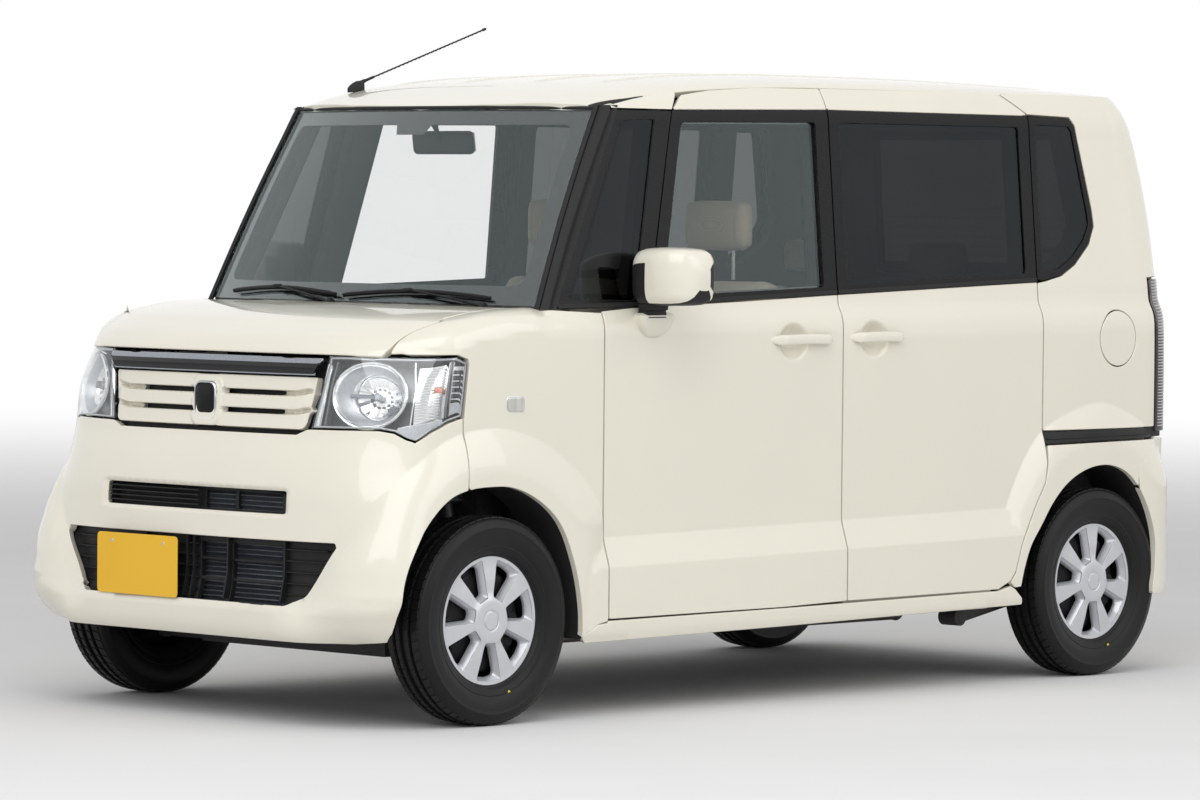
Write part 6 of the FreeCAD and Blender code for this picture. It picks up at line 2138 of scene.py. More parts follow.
    def _radiator(self) -> None:
        """Build the radiator with its tubes, fins and side tanks."""
        finishes = [ALUMINIUM.material(), BLACK.material(), FIN_BLUE.material()]
        tube_bar = softbox((-316, -1616, 302), (316, -1596, 304.6), 1.2, 1)
        core = REPEAT.spread(tube_bar, finishes[0], 24, (0.0, 0.0, 13.1))
        fin = softbox((-314, -1611, 304), (-312.6, -1598, 610), 0.3, 1)
        core.join(REPEAT.spread(fin, finishes[2], 126, (5.0, 0.0, 0.0), slot=2))
        for x in (-345, 316):
            core.join(softbox((x, -1618, 290), (x + 29, -1570, 620), 8), 1)
        core.join(softbox((-318, -1618, 290), (318, -1588, 300), 4), 1)
        core.join(softbox((-318, -1618, 612), (318, -1588, 620), 3), 1)
        core.join(softbox((-300, -1594, 320), (300, -1570, 600), 10), 1)
        core.build("radiator_core", finishes, "car_body", "aluminium", ["radiator"])

    def _plate(self) -> None:
        """Build the blank front and rear plates with rims and bolts."""
        for name, low, high, face, node, body, out in (
            ("front_plate", (-340, 323), (-10, 488), -1697.0, "front_number_plate", "car_body", -1.0),
            ("rear_plate", (-165, 726), (165, 891), 1684.3, "rear_number_plate", "rear_gate", 1.0),
        ):
            mid = ((low[0] + high[0]) / 2, (low[1] + high[1]) / 2)
            half = ((high[0] - low[0]) / 2, (high[1] - low[1]) / 2)
            rings = []
            for back, rise in (
                (0.0, 2.2), (0.0, 0.6), (1.2, -0.6), (3.2, -1.3), (5.2, -0.6), (6.6, 0.7), (9.0, 0.9)
            ):
                a, b = half[0] - back, half[1] - back
                shape = rounded([(-a, -b), (a, -b), (a, b), (-a, b)], max(14 - back, 4), 6)
                rings.append(
                    np.array(
                        [
                            (mid[0] + x, face - out * -rise if out < 0 else face - rise, mid[1] + z) for x,
                            z in shape
                        ]
                    )
                )
            plate = loft(rings if out < 0 else [r[::-1] for r in rings], cap_start=True, cap_end=True)
            for x in (-105.0, 105.0):
                profile = [
                    (0.0, -1.2), (2.2, -1.2), (2.6, -3.0), (5.2, -3.0), (6.0, -1.6), (6.2, 1.0), (9.0, 1.2),
                    (9.0, 2.2), (0.0, 2.2)
                ]
                bolt = turned(profile, 24)
                place = np.array([mid[0] + x, face, mid[1] + half[1] - 22])
                plate.join(
                    bolt.moved(
                        lambda v, p=place,
                        o=out: np.stack([p[0] + v[:, 2], p[1] - o * v[:, 0], p[2] + v[:, 1]], 1), flip=out < 0
                    ),
                    1
                )
            plate.build(name, [PLATE.material(), CHROME.material()], body, "plate_yellow", [node], angle=50)
        bracket = softbox((-300, -1690, 380), (-50, -1672, 430), 4)
        bracket.build("front_plate_bracket", [BLACK.material()], "car_body", "black_plastic")

    def _markers(self) -> None:
        """Build the small side markers on the fenders."""
        edge = rounded(side_line([(-1170, 838), (-1109, 838), (-1109, 876), (-1170, 876)]), 9)
        base = panel(FORM, shrink(np.array(edge), -3.0), step=12, radius=1.5, hem=6, lift=1.0, slot=1)
        lens = panel(FORM, edge, step=10, radius=4.0, hem=7, lift=5.0, edge_step=5)
        base.join(lens)
        base.both().build(
            "side_markers", [LAMP_MARKER.material(), REFLECTOR.material()], "car_body", "lamp_clear", angle=50
        )


LAMP_DARK = Finish(
    "lamp_housing_grey", (0.20, 0.205, 0.215), 0.3, 0.5, Pattern.SMOOTH, 150.0, 0.02, (0.15, 0.155, 0.165)
)
LAMP_MATT = Finish(
    "lamp_matt_silver", (0.55, 0.57, 0.60), 0.35, 0.7, Pattern.SMOOTH, 150.0, 0.02, (0.48, 0.50, 0.53)
)
LAMP_MARKER = Finish(
    "marker_lens", (0.70, 0.69, 0.66), 0.15, 0.2, Pattern.BRUSHED, 90.0, 0.25, (0.50, 0.50, 0.48), coat=0.9
)
FIN_BLUE = Finish(
    "radiator_fins", (0.085, 0.095, 0.12), 0.5, 0.5, Pattern.BRUSHED, 500.0, 0.2, (0.06, 0.066, 0.085)
)
# Gloss black for the lower face of the bar above the grille: painted shade under the bar's crown.
BAR_SHADE_BLACK = Finish(
    "bar_lower_face_painted_shade", (0.010, 0.010, 0.012), 0.10, 0.0, Pattern.SMOOTH, 200.0, 0.006, (0.014, 0.014, 0.016),
    shine=0.45
)


@dataclass
class Wheels:
    """Wheel covers, rims and tyres."""

    hub_x: float = 652.5
    axle_z: float = 281.0
    cover_radius: float = 185.0
    windows: int = 7

    def build(self) -> None:
        """Build the four wheels."""
        cover, rim, tyre = self._cover(), self._rim(), self._tyre()
        wheel = Shape().join(rim).join(cover)
        silver = [WHEEL_SILVER.material(), WHEEL_BLACK.material(), STEEL.material()]
        rubber = [TYRE.material(), YELLOW_DOT.material()]
        for side, sign in (("left", 1.0), ("right", -1.0)):
            for end, y in (("front", FRONT_AXLE), ("rear", REAR_AXLE)):
                place = np.array([sign * self.hub_x, y, self.axle_z])
                flip = sign < 0

                def put(v: np.ndarray, at: np.ndarray = place, way: float = sign) -> np.ndarray:
                    """Move a wheel's points to their axle."""
                    return v * [way, 1.0, 1.0] + at

                wheel.moved(put, flip).build(
                    f"{side}_{end}_wheel_cover", silver, f"{side}_{end}_roller", "wheel_silver",
                    [f"{side}_{end}_wheel"], angle=38
                )
                tyre.moved(put, flip).build(
                    f"{side}_{end}_tyre_rubber", rubber, f"{side}_{end}_roller", "tyre_black",
                    [f"{side}_{end}_tyre"], angle=40
                )

    def _face(self, r: np.ndarray) -> np.ndarray:
        """Return how far the cover's face stands out at a radius."""
        return 46.0 + through(
            r,
            (
                (0, 10.5), (30, 10.5), (60, 9.0), (66, 6.5), (110, 4.0), (160, 1.0), (174, 1.5), (181, 2.5),
                (185, -3.0)
            )
        )

    def _cover_sheet(self, ab: np.ndarray) -> np.ndarray:
        """Map the cover's face from (y, z) about the hub."""
        r = np.hypot(ab[:, 0], ab[:, 1])
        ring = -2.2 * (1 - ramp((np.abs(r - 27.0) - 1.0) / 1.6))
        return np.stack([self._face(r) + ring, ab[:, 0], ab[:, 1]], 1)

    def _window(
        self, index: int, grow: float, inner: float, outer: float, corners: Sequence[float]
    ) -> list[tuple[float, float]]:
        """Return one window's outline about the hub."""
        pitch = 2 * math.pi / self.windows
        middle = math.pi / 2 + pitch * (index + 0.5)
        low, high = 16.0 + 0.27 * (inner - 60.0) + grow, 16.0 + 0.27 * (outer - 60.0) + grow
        shape = rounded(
            [(inner, -low), (outer - 5.0, -high), (outer, 0.0), (outer - 5.0, high), (inner, low)], corners, 5
        )
        turn = np.array([[math.cos(middle), math.sin(middle)], [-math.sin(middle), math.cos(middle)]])
        return [(float(y), float(z)) for y, z in np.array(shape) @ turn]

    def _cover(self) -> Shape:
        """Make the seven-spoke cover with its funnel-shaped windows."""
        t = np.linspace(0, 2 * math.pi, 160, endpoint=False)
        edge = [(self.cover_radius * math.cos(a), self.cover_radius * math.sin(a)) for a in t]
        cuts = [self._window(k, 2.0, 60.0, 163.0, (9, 5, 60, 5, 9)) for k in range(self.windows)]
        lines = []
        for r in (25.5, 27.0, 28.5, 31.0, 60.0, 66.0, 174.0, 179.0, 182.0):
            lines.append([(r * math.cos(a), r * math.sin(a)) for a in np.linspace(0, 2 * math.pi, 120)])
        cover = panel(self._cover_sheet, edge, cuts, lines, step=8, radius=1.2, hem=5, edge_step=4)
        for k in range(self.windows):
            steps = (
                (2.0, 60.0, 163.0, (9, 5, 60, 5, 9), 3.0), (-1.5, 63.5, 160.0, (10, 7, 60, 7, 10), 9.0),
                (-5.0, 68.0, 154.0, (11, 12, 60, 12, 11), 17.0),
                (-6.0, 69.0, 152.5, (11, 14, 60, 14, 11), 22.0), (-6.0, 69.0, 152.5, (11, 14, 60, 14, 11), 26.0)
            )
            rings = []
            for grow, inner, outer, corners, depth in steps:
                loop = np.array(self._window(k, grow, inner, outer, corners))
                rings.append(
                    np.stack([self._face(np.hypot(loop[:, 0], loop[:, 1])) - depth, loop[:, 0], loop[:, 1]], 1)
                )
            funnel = loft(rings)
            cover.join(funnel)
        return cover

    def _rim(self) -> Shape:
        """Make the steel rim, its disc, vents and nuts."""
        profile = [
            (176, 40), (181, 42), (184, 46), (186, 45), (183, 42), (178, 40), (172, 30), (168, 5), (160, -10),
            (160, -40), (176, -60), (186, -64), (183, -66), (170, -62), (150, -44), (148, -10), (140, 6),
            (110, 16), (80, 14), (62, 20), (40, 22), (30, 12), (0, 12)
        ]
        rim = turned(profile, 72, 1)
        nut = turned(
            [(0, 34), (7, 33), (9, 30), (9.5, 20), (9.5, 16)], 6, 2
        ).moved(lambda v: v + [0.0, 50.0, 0.0])
        rim.join(REPEAT.spread(nut, STEEL.material(), 4, turn=90.0, slot=2))
        vent = turned(
            [(0, 17.5), (12, 17.0), (15, 16.0), (16, 14.0)], 16, 1
        ).moved(lambda v: v + [0.0, 118.0, 0.0])
        rim.join(REPEAT.spread(vent, WHEEL_BLACK.material(), 12, turn=30.0, slot=1))
        return rim

    def _tyre(self) -> Shape:
        """Make the tyre with its grooves, tread blocks and sidewall ribs."""
        wall = [
            (178.5, 50.0), (183, 57.5), (190, 60.5), (196, 62.0), (199, 64.2), (202, 64.0), (204, 65.5),
            (222, 69.8), (238, 71.8), (246, 72.2), (248, 73.0), (250, 73.0), (252, 71.9), (262, 69.0),
            (268, 66.0), (273.5, 61.5)
        ]
        tread = [
            (275.6, 55.0), (276.6, 46.0), (277.4, 33.5), (271.5, 32.5), (271.5, 25.5), (277.8, 24.5),
            (278.4, 8.0), (272.0, 7.0), (272.0, 0.0)
        ]
        half = wall + tread
        profile = half + [(r, -a) for r, a in half[-2::-1]]
        inner = [(172.0, -48.0), (172.0, 48.0)]
        tyre = turned(profile + inner, 96, 0, closed=True)
        for low, high, base, top in (
            (36.0, 58.0, 275.0, 280.2), (9.5, 24.0, 277.0, 280.8), (-24.0, -9.5, 277.0, 280.8),
            (-58.0, -36.0, 275.0, 280.2)
        ):
            block = self._block(low, high, base, top)
            tyre.join(REPEAT.spread(block, TYRE.material(), 64, turn=360.0 / 64))
        rib = self._block(56.0, 66.5, 268.0, 277.0, 0.016, 0.010)
        tyre.join(REPEAT.spread(rib, TYRE.material(), 96, turn=360.0 / 96))
        tyre.join(
            REPEAT.spread(
                rib.moved(lambda v: v * [-1.0, 1.0, 1.0], flip=True), TYRE.material(), 96, turn=360.0 / 96
            )
        )
        mark = turned([(0, 0.9), (4.6, 0.8), (5.2, -1.0)], 20, 1)
        spot = np.array([63.8, 60.0, -193.0])
        tyre.join(mark.moved(lambda v: v + spot), 1)
        return tyre

    @staticmethod
    def _block(
        low: float, high: float, base: float, top: float, spread: float = 0.041, slant: float = 0.012
    ) -> Shape:
        """Make one tread block between two places across the tyre."""
        rows = []
        for r, trim in ((base, 0.0), (top - 0.8, 0.0), (top, 0.8)):
            ring = []
            for a, side in ((low + trim, -1), (high - trim, -1), (high - trim, 1), (low + trim, 1)):
                lean = slant * (1 if a > (low + high) / 2 else -1)
                t = side * (spread - trim / 280.0) + lean
                drop = 4.5 * max(0.0, (abs(a) - 50.0) / 10.0) ** 2
                ring.append((a, (r - drop) * math.sin(t), (r - drop) * math.cos(t)))
            rows.append(np.array(ring))
        return loft(rows[::-1], cap_start=True)


WHEEL_BLACK = Finish(
    "wheel_rim_black", (0.006, 0.006, 0.007), 0.5, 0.0, Pattern.CAST, 200.0, 0.1, (0.01, 0.01, 0.011), shine=0.2
)
YELLOW_DOT = Finish(
    "yellow_balance_dot", (0.80, 0.62, 0.02), 0.5, 0.0, Pattern.SMOOTH, 200.0, 0.02, (0.7, 0.53, 0.02)
)


@dataclass
class Fittings:
    """Liners, mirrors, handles, wipers, antenna, lamps at the rear and small trim."""

    mirror_sections: tuple[tuple[float, ...], ...] = (
        (713, 44, 52, -646, 1194), (717, 58, 66, -642, 1195), (728, 68, 74, -637, 1196),
        (746, 74, 78, -631, 1197), (766, 76, 79, -627, 1197.5),
        (800, 77, 80, -622, 1198), (835, 75, 79, -617, 1197.5), (862, 69, 76, -611, 1197),
        (879, 58, 69, -606, 1196), (888, 44, 56, -602, 1195), (893, 24, 34, -600, 1194),
    )

    def build(self) -> None:
        """Build the fittings."""
        self._liners()
        self._mirrors()
        self._handles()
        self._wipers()
        self._antenna()
        self._ditch()
        self._tail_lamps()
        self._rear_trim()
        self._cowl()

    def _liners(self) -> None:
        """Build the black wheel-arch liners."""
        for name, outline, inner, away in (
            ("front_arch_liners", ARCH_FRONT, 556.0, True), ("rear_arch_liners", ARCH_REAR, 548.0, False)
        ):
            line = list(outline) if away else side_line(outline)
            line = dense(line, 22.0, closed=False)
            skin = FORM(line)
            centre = skin.mean(0)
            rows = []
            for x, grow in (
                (None, 2.0), (700.0, 5.0), (660.0, 9.0), (600.0, 11.0), (inner, 11.0), (inner, 30.0)
            ):
                row = skin.copy()
                out = row - [centre[0], centre[1], 300.0]
                out[:, 0] = 0
                out /= np.maximum(np.linalg.norm(out, axis=1), 1e-6)[:, None]
                row += out * grow
                row[:, 0] = np.minimum(row[:, 0] - 3.0, x) if x is not None else row[:, 0] - 3.0
                rows.append(row)
            liner = loft(rows, closed=False)
            liner.both().build(name, [LINER.material()], "car_body", "black_plastic", angle=50)

    def _mirrors(self) -> None:
        """Build the door mirrors."""
        rings = []
        count = 56
        t = np.linspace(0, 2 * math.pi, count, endpoint=False)
        c, s = np.cos(t), np.sin(t)
        for x, a, b, yc, zc in self.mirror_sections:
            y = yc + a * np.sign(c) * np.abs(c) ** 0.46
            z = zc + b * np.sign(s) * np.abs(s) ** 0.5
            rings.append(np.stack([np.full(count, float(x)), y, z], 1))
        head = loft(rings[::-1], cap_start=True, cap_end=True)
        last = len(rings) - 2
        for i in range(count * (last + 1)):
            row, k = last - i // count, i % count
            low = s[k] + s[(k + 1) % count] < -1.72
            inner = row < 4 and s[k] < 0.24 and c[k] < 0.5
            rear = c[k] > 0.86 and c[(k + 1) % count] > 0.8
            head.slots[i] = 1 if low or inner or rear else 0
        glass_edge = rounded([(742, 1136), (872, 1136), (876, 1254), (748, 1258)], [26, 26, 22, 22])
        mirror = panel(
            lambda ab: np.stack([ab[:, 0], np.full(len(ab), -543.5), ab[:, 1]], 1), glass_edge, step=30,
            radius=1.5, hem=5, lift=0.0, slot=2, flip=True
        )
        head.join(mirror)
        neck = []
        for z, x0, x1, y0, y1 in (
            (1084, 708, 742, -668, -584), (1096, 706, 741, -672, -584), (1104, 707, 740, -670, -586),
            (1106, 709, 752, -672, -590), (1122, 711, 756, -676, -592), (1142, 714, 758, -678, -594)
        ):
            shape = rounded([(x0, y0), (x1, y0), (x1, y1), (x0, y1)], 9, 3)
            neck.append(np.array([(x, y, z) for x, y in shape]))
        arm = loft(neck[::-1], cap_start=True, cap_end=True, slot=1)
        foot = []
        for z, x1, y0, y1 in (
            (1030, 716, -632, -596), (1038, 724, -650, -578), (1056, 735, -668, -560), (1078, 741, -678, -552),
            (1090, 742, -680, -550), (1097, 738, -674, -556), (1098, 725, -664, -566)
        ):
            shape = rounded(
                [(704, y0), (x1, y0), (x1, y1), (704, y1)],
                [2, min(16, (x1 - 706) * 0.7), min(16, (x1 - 706) * 0.7), 2], 5
            )
            foot.append(np.array([(x, y, z) for x, y in shape]))
        head.join(arm).join(loft(foot[::-1], cap_start=True, cap_end=True))
        finishes = [PAINT.material(), BLACK.material(), MIRROR.material()]
        for side, shape in (("left", head), ("right", head.mirrored())):
            shape.build(
                f"{side}_door_mirror", finishes, f"{side}_door", "body_paint", [f"{side}_mirror"], angle=45
            )

    def _handles(self) -> None:
        """Build the door handles over their finger recesses."""
        for start, end, level, sliding in ((-137.0, 128.0, 1016.0, False), (196.0, 430.0, 1020.0, True)):
            rows = []
            for t in np.linspace(0, 1, 31):
                y = start + (end - start) * t
                ends = min(t, 1 - t)
                reach = 24.0 * float(ramp(np.array(ends / 0.16)))
                half = 7.0 + 7.5 * float(ramp(np.array(ends / 0.12)))
                thick = 10.0 + 3.0 * float(ramp(np.array(ends / 0.2)))
                mid = level + 3.0 * math.sin(math.pi * t)
                ring = []
                for a in np.linspace(0, 2 * math.pi, 16, endpoint=False):
                    c, s = math.cos(a), math.sin(a)
                    ring.append(
                        (
                            HANDLE_SKIN + reach - thick / 2 + thick / 2 * math.copysign(abs(c) ** 0.7, c), y,
                            mid + half * math.copysign(abs(s) ** 0.7, s)
                        )
                    )
                rows.append(np.array(ring))
            grip = loft(rows[::-1], cap_start=True, cap_end=True)
            if sliding:
                grip.both().build(
                    "sliding_door_handles", [PAINT.material()], "car_body", "body_paint", angle=60
                )
            else:
                grip.build("left_door_handle", [PAINT.material()], "left_door", "body_paint", angle=60)
                grip.mirrored().build(
                    "right_door_handle", [PAINT.material()], "right_door", "body_paint", angle=60
                )

    def _wipers(self) -> None:
        """Build the wipers, arms, blades and spindles."""
        black = [BLACK.material(), SEAL.material()]
        wipers = Shape()
        for pivot_x, tip_x, low, rise in ((-20.0, -520.0, 1126.0, 8.0), (520.0, 10.0, 1124.0, 8.0)):
            run = np.linspace(0, 1, 24)
            x = pivot_x + (tip_x - pivot_x) * run
            z = low + rise + 14.0 * np.sin(math.pi * run)
            surface = screen_sheet(np.stack([x, z], 1))
            normal = np.array([0.0, -0.878, 0.479])
            wipers.join(tube(surface + normal * 7.0, 2.4, 8, 1, squash=2.2))
            wipers.join(tube(surface + normal * 11.5, [2.0] + [3.4] * 22 + [2.0], 8, 0, squash=1.5))
            base = screen_sheet(np.array([[pivot_x - 20.0, low - 12.0]]))[0] + normal * 6.0
            middle = surface[12] + normal * 18.0
            knee = base * 0.6 + middle * 0.4 + normal * 12.0
            t = np.linspace(0, 1, 14)[:, None]
            arm = (1 - t) ** 2 * base + 2 * t * (1 - t) * knee + t * t * middle
            wipers.join(tube(arm, np.linspace(8.0, 4.0, 14), 8, 0, squash=0.6))
            wipers.join(
                tube(
                    [base - normal * 12, base - normal * 2, base + normal * 7, base + normal * 9],
                    [12, 12, 10, 6], 16, 0
                )
            )
            wipers.join(softbox(middle - [16, 6, 5], middle + [16, 4, 5], 3, slot=0))
        wipers.build("windscreen_wipers", black, "car_body", "black_plastic", ["wipers"], angle=40)

    def _antenna(self) -> None:
        """Build the antenna: a soft foot, a collar and a wound rod."""
        foot = np.array([-478.0, -617.5, 1722.0])
        tip = foot + [0.0, 538.0, 181.0]
        way = (tip - foot) / np.linalg.norm(tip - foot)
        base = []
        for rise, a, b, slip in (
            (-12, 17, 30, 0), (0, 17, 30, 0), (8, 15, 26, 4), (15, 11, 19, 9), (19, 7, 12, 13)
        ):
            t = np.linspace(0, 2 * math.pi, 24, endpoint=False)
            base.append(
                np.stack(
                    [
                        foot[0] + a * np.cos(t), foot[1] + slip + b * np.sin(t),
                        foot[2] + rise + 0.12 * b * np.sin(t)
                    ],
                    1
                )
            )
        shape = loft(base, cap_start=True, cap_end=True)
        start = foot + [0, 12, 12]
        shape.join(
            tube(
                [start, start + way * 22, start + way * 26, start + way * 60, start + way * 64],
                [6, 6, 4.5, 4.0, 2.4], 12
            )
        )
        rod = [start + way * d for d in np.linspace(60, 525, 30)]
        shape.join(tube(rod, 2.3, 10))
        turns = []
        side = np.array([1.0, 0.0, 0.0])
        up = np.cross(side, way)
        for k in range(360):
            t = k / 359.0
            angle = t * 2 * math.pi * 26
            turns.append(start + way * (66 + 450 * t) + (side * math.cos(angle) + up * math.sin(angle)) * 2.5)
        shape.join(tube(turns, 0.8, 5, caps=False))
        shape.join(
            tube(
                [start + way * 522, start + way * 527, start + way * 534, start + way * 538],
                [3.2, 4.2, 4.2, 2.0], 12
            )
        )
        shape.build("antenna_rod", [SEAL.material()], "car_body", "black_plastic", ["antenna"], angle=45)

    def _ditch(self) -> None:
        """Build the black mouldings at the roof's front corners."""
        rings = []
        for t in np.linspace(0, 1, 14):
            y = -734.0 + 184.0 * t
            x = 584.0 + 20.0 * float(ramp(np.array(t * 1.3)))
            half = 8.0 * (1.0 - t) ** 0.7 + 0.8
            row = []
            for d, rise in ((-half, -9.0), (half, -9.0), (half, 0.6), (0.0, 1.8), (-half, 0.6)):
                z = float(roof_sheet(np.array([[x + d, y]]))[0, 2])
                row.append((x + d, y, z + rise))
            rings.append(np.array(row))
        loft(rings, cap_start=True, cap_end=True).both().build(
            "roof_ditch_mouldings", [SEAL.material()], "car_body", "black_plastic"
        )

    def _tail_lamps(self) -> None:
        """Build the tail lamps: smoked ribbed lenses round the rear corners."""
        edge = rounded(
            [
                (3902, 724), (4010, 722), (4082, 724), (4090, 900), (4087, 1100), (4080, 1183), (4010, 1185),
                (3905, 1183)
            ],
            [8, 0, 10, 0, 0, 14, 0, 14]
        )
        ring = dense(edge, 14.0)
        outer = panel(FORM, shrink(ring, 1.0), step=24, radius=4.0, hem=30, lift=4.0, edge_step=12, slot=0)
        shape = Shape().join(outer)
        for low, high, slot in ((742, 800, 2), (812, 905, 1), (917, 1040, 1), (1052, 1168, 1)):
            block = rounded([(4008, low), (4068, low), (4066, high), (4006, high)], 8)
            shape.join(panel(FORM, block, step=20, radius=4.0, hem=10, lift=9.0, slot=slot, edge_step=10))
        for level in np.arange(738.0, 1172.0, 9.0):
            rows = []
            for z, out in ((level, 3.6), (level + 1.5, 5.2), (level + 3.0, 5.2), (level + 4.5, 3.6)):
                line = np.stack([np.linspace(3912.0, 3988.0, 7), np.full(7, z)], 1)
                rows.append(FORM(line) + normals_of(FORM, line) * out)
            shape.join(loft(rows, closed=False), 3)
        finishes = [SMOKE_LENS.material(), RED_LENS.material(), LAMP_MARKER.material(), LENS_RIB.material()]
        shape.both().build("tail_lamp_lenses", finishes, "car_body", "lamp_red", ["tail_lamps"], angle=50)

    def _rear_trim(self) -> None:
        """Build the tailgate's grip, plate lamps, reflectors, bumper insert and rear wiper."""
        grip = []
        for x in np.linspace(-260, 260, 27):
            skin = float(rear_sheet(np.array([[abs(x), 925.0]]))[0, 1])
            ends = float(ramp(np.array((260 - abs(x)) / 24.0)))
            out = 3.0 + 19.0 * ends
            grip.append(
                np.array(
                    [
                        (x, skin - 8, 906), (x, skin + out * 0.8, 908), (x, skin + out, 918),
                        (x, skin + out, 930), (x, skin + out * 0.6, 942), (x, skin - 8, 948)
                    ]
                )
            )
        bar = loft(grip, cap_start=True, cap_end=True)
        bar.build("tailgate_grip", [PAINT.material()], "rear_gate", "body_paint", angle=30)
        lamps = Shape()
        for x in (-90.0, 90.0):
            y = float(rear_sheet(np.array([[abs(x), 905.0]]))[0, 1])
            lamps.join(softbox((x - 24, y - 10, 897), (x + 24, y + 12, 906), 3))
        lamps.build("plate_lamps", [LAMP_MARKER.material()], "rear_gate", "lamp_clear")
        refl = panel(
            rear_sheet, rounded([(560, 585), (640, 583), (640, 603), (560, 605)], 5), step=16, radius=3, hem=8,
            lift=5, flip=True
        )
        refl.join(
            panel(
                rear_sheet, rounded([(-640, 583), (-560, 585), (-560, 605), (-640, 603)], 5), step=16, radius=3,
                hem=8, lift=5, flip=True
            )
        )
        refl.build("rear_reflectors", [RED_LENS.material()], "car_body", "lamp_red")

        insert = panel(
            rear_sheet, rounded([(-420, 262), (420, 262), (400, 322), (-400, 322)], 14), step=30, radius=3,
            hem=10, lift=2.5, flip=True
        )
        for z in (276, 290, 304):
            insert.join(
                panel(
                    rear_sheet, rounded([(-395, z), (395, z), (395, z + 5), (-395, z + 5)], 2), step=30,
                    radius=1.5, hem=5, lift=6.0, flip=True, edge_step=30
                )
            )
        insert.build("rear_bumper_insert", [BLACK.material()], "car_body", "black_plastic")
        pivot = rear_sheet(np.array([[0.0, 1205.0]]))[0]
        arm = [
            pivot + [0, 4, -8], pivot + [0, 22, 0], pivot + [30, 26, 14], pivot + [150, 16, 52],
            pivot + [235, 10, 62]
        ]
        wiper = tube(arm, [13, 12, 9, 6, 4], 12)
        blade = []
        for t in np.linspace(0, 1, 16):
            ab = np.array([[60.0 + 330.0 * t, 1238.0 + 46.0 * t]])
            blade.append(rear_sheet(ab)[0] + [0, 6.5, 0])
        wiper.join(tube(blade, 4.0, 8, squash=1.4))
        wiper.build("rear_wiper", [BLACK.material()], "rear_gate", "black_plastic", angle=45)

    def _cowl(self) -> None:
        """Build the cowl grid between bonnet and windscreen."""
        shape = Shape()
        rows = []
        for x in np.linspace(-606, 606, 49):
            foot = screen_sheet(np.array([[x, 1117.0]]))[0]
            top = foot + [0, -4, -3]
            rows.append(
                np.array(
                    [
                        top, top + [0, -14, -3], top + [0, -34, -9], top + [0, -48, -13], top + [0, -50, -30],
                        top + [0, 0, -30]
                    ]
                )
            )
        shape.join(loft(rows, cap_start=True, cap_end=True))
        for x in np.arange(-560.0, 561.0, 16.0):
            foot = screen_sheet(np.array([[x, 1117.0]]))[0] + [0, -22, -6]
            shape.join(softbox(foot - [3.5, 12, 4], foot + [3.5, 12, 3.2], 1.2, 1))
        shape.build("cowl_grid", [BLACK.material()], "car_body", "black_plastic", ["cowl_panel"], angle=40)


LINER = Finish(
    "arch_liner_felt", (0.016, 0.016, 0.017), 0.85, 0.0, Pattern.CARPET, 400.0, 0.5, (0.028, 0.028, 0.029)
)
MIRROR = Finish("mirror_glass", (0.82, 0.84, 0.86), 0.03, 1.0, Pattern.SMOOTH, 50.0, 0.0, (0.81, 0.83, 0.85))
LENS_RIB = Finish(
    "smoked_lens_ribs", (0.42, 0.40, 0.40), 0.15, 0.2, Pattern.SMOOTH, 200.0, 0.02, (0.34, 0.33, 0.33), coat=0.8
)


def inner_sheet(ab: np.ndarray) -> np.ndarray:
    """Map (y, z) to the outer face of the side structure behind the doors."""
    z = ab[:, 1]
    x = np.interp(z, (202, 1075, 1113, 1665, 1748), (636, 636, 646, 596, 546))
    return np.stack([x, ab[:, 0], z], 1)


@dataclass
class SideStructure:
    """Pillars, sills and quarter walls seen through the door openings."""

    wall: float = 40.0

    def build(self) -> None:
        """Build both sides."""
        arch = [(y + (8 if y > 1250 else -8), z + 10) for y, z in ARCH_REAR]
        outline = [
            (-812, 212), (900, 214), *arch, (1578, 262), (1625, 262), (1618, 1180), (1590, 1400), (1525, 1640),
            (1490, 1700), (-430, 1700), (-600, 1668), (-700, 1625), (-984, 1116), (-870, 1104), (-812, 1060)
        ]
        front = rounded(
            [(-768, 302), (138, 302), (138, 1640), (-426, 1636), (-560, 1130), (-768, 1070)],
            [60, 60, 40, 30, 50, 40]
        )
        slide = rounded(
            [(200, 302), (850, 302), (900, 400), (955, 515), (1022, 600), (1022, 1640), (200, 1640)],
            [50, 60, 60, 60, 60, 40, 40]
        )
        quarter = rounded(
            [
                (1080, 1204), (1155, 1217), (1214, 1249), (1274, 1302), (1298, 1346), (1292, 1388),
                (1242, 1618), (1230, 1634), (1080, 1636)
            ],
            [14, 20, 20, 20, 20, 20, 14, 14, 14]
        )
        wing = rounded([(-912, 1142), (-646, 1136), (-538, 1622), (-672, 1620)], 12)
        wall = panel(
            inner_sheet, outline, [front, slide, quarter, wing], step=60, radius=3.0, hem=self.wall, back=True,
            edge_step=24
        )
        door = side_line(
            [
                (-806, 262), (-97, 263), (163, 268), (171, 300), (171, 1100), (171, 1650), (-470, 1644),
                (-604, 1116), (-806, 1098)
            ]
        )
        loop = dense(rounded(door, [10, 0, 0, 0, 0, 20, 20, 20, 10]), 30.0)
        outer = FORM(loop)
        outer[:, 0] -= 12.0
        middle, inner = outer.copy(), outer.copy()
        depth = inner_sheet(outer[:, 1:])[:, 0]
        middle[:, 0] = outer[:, 0] * 0.4 + depth * 0.6
        inner[:, 0] = depth
        wall.join(loft([inner, middle, outer]))
        for side, shape in (("left", wall), ("right", wall.mirrored())):
            finish = TwoTone("pillar_paint_and_trim", PAINT_INNER, BLACK, 1.112).material()
            shape.build(
                f"{side}_side_structure", [finish], "car_body", "body_paint", [f"{side}_side_frame"], angle=40
            )


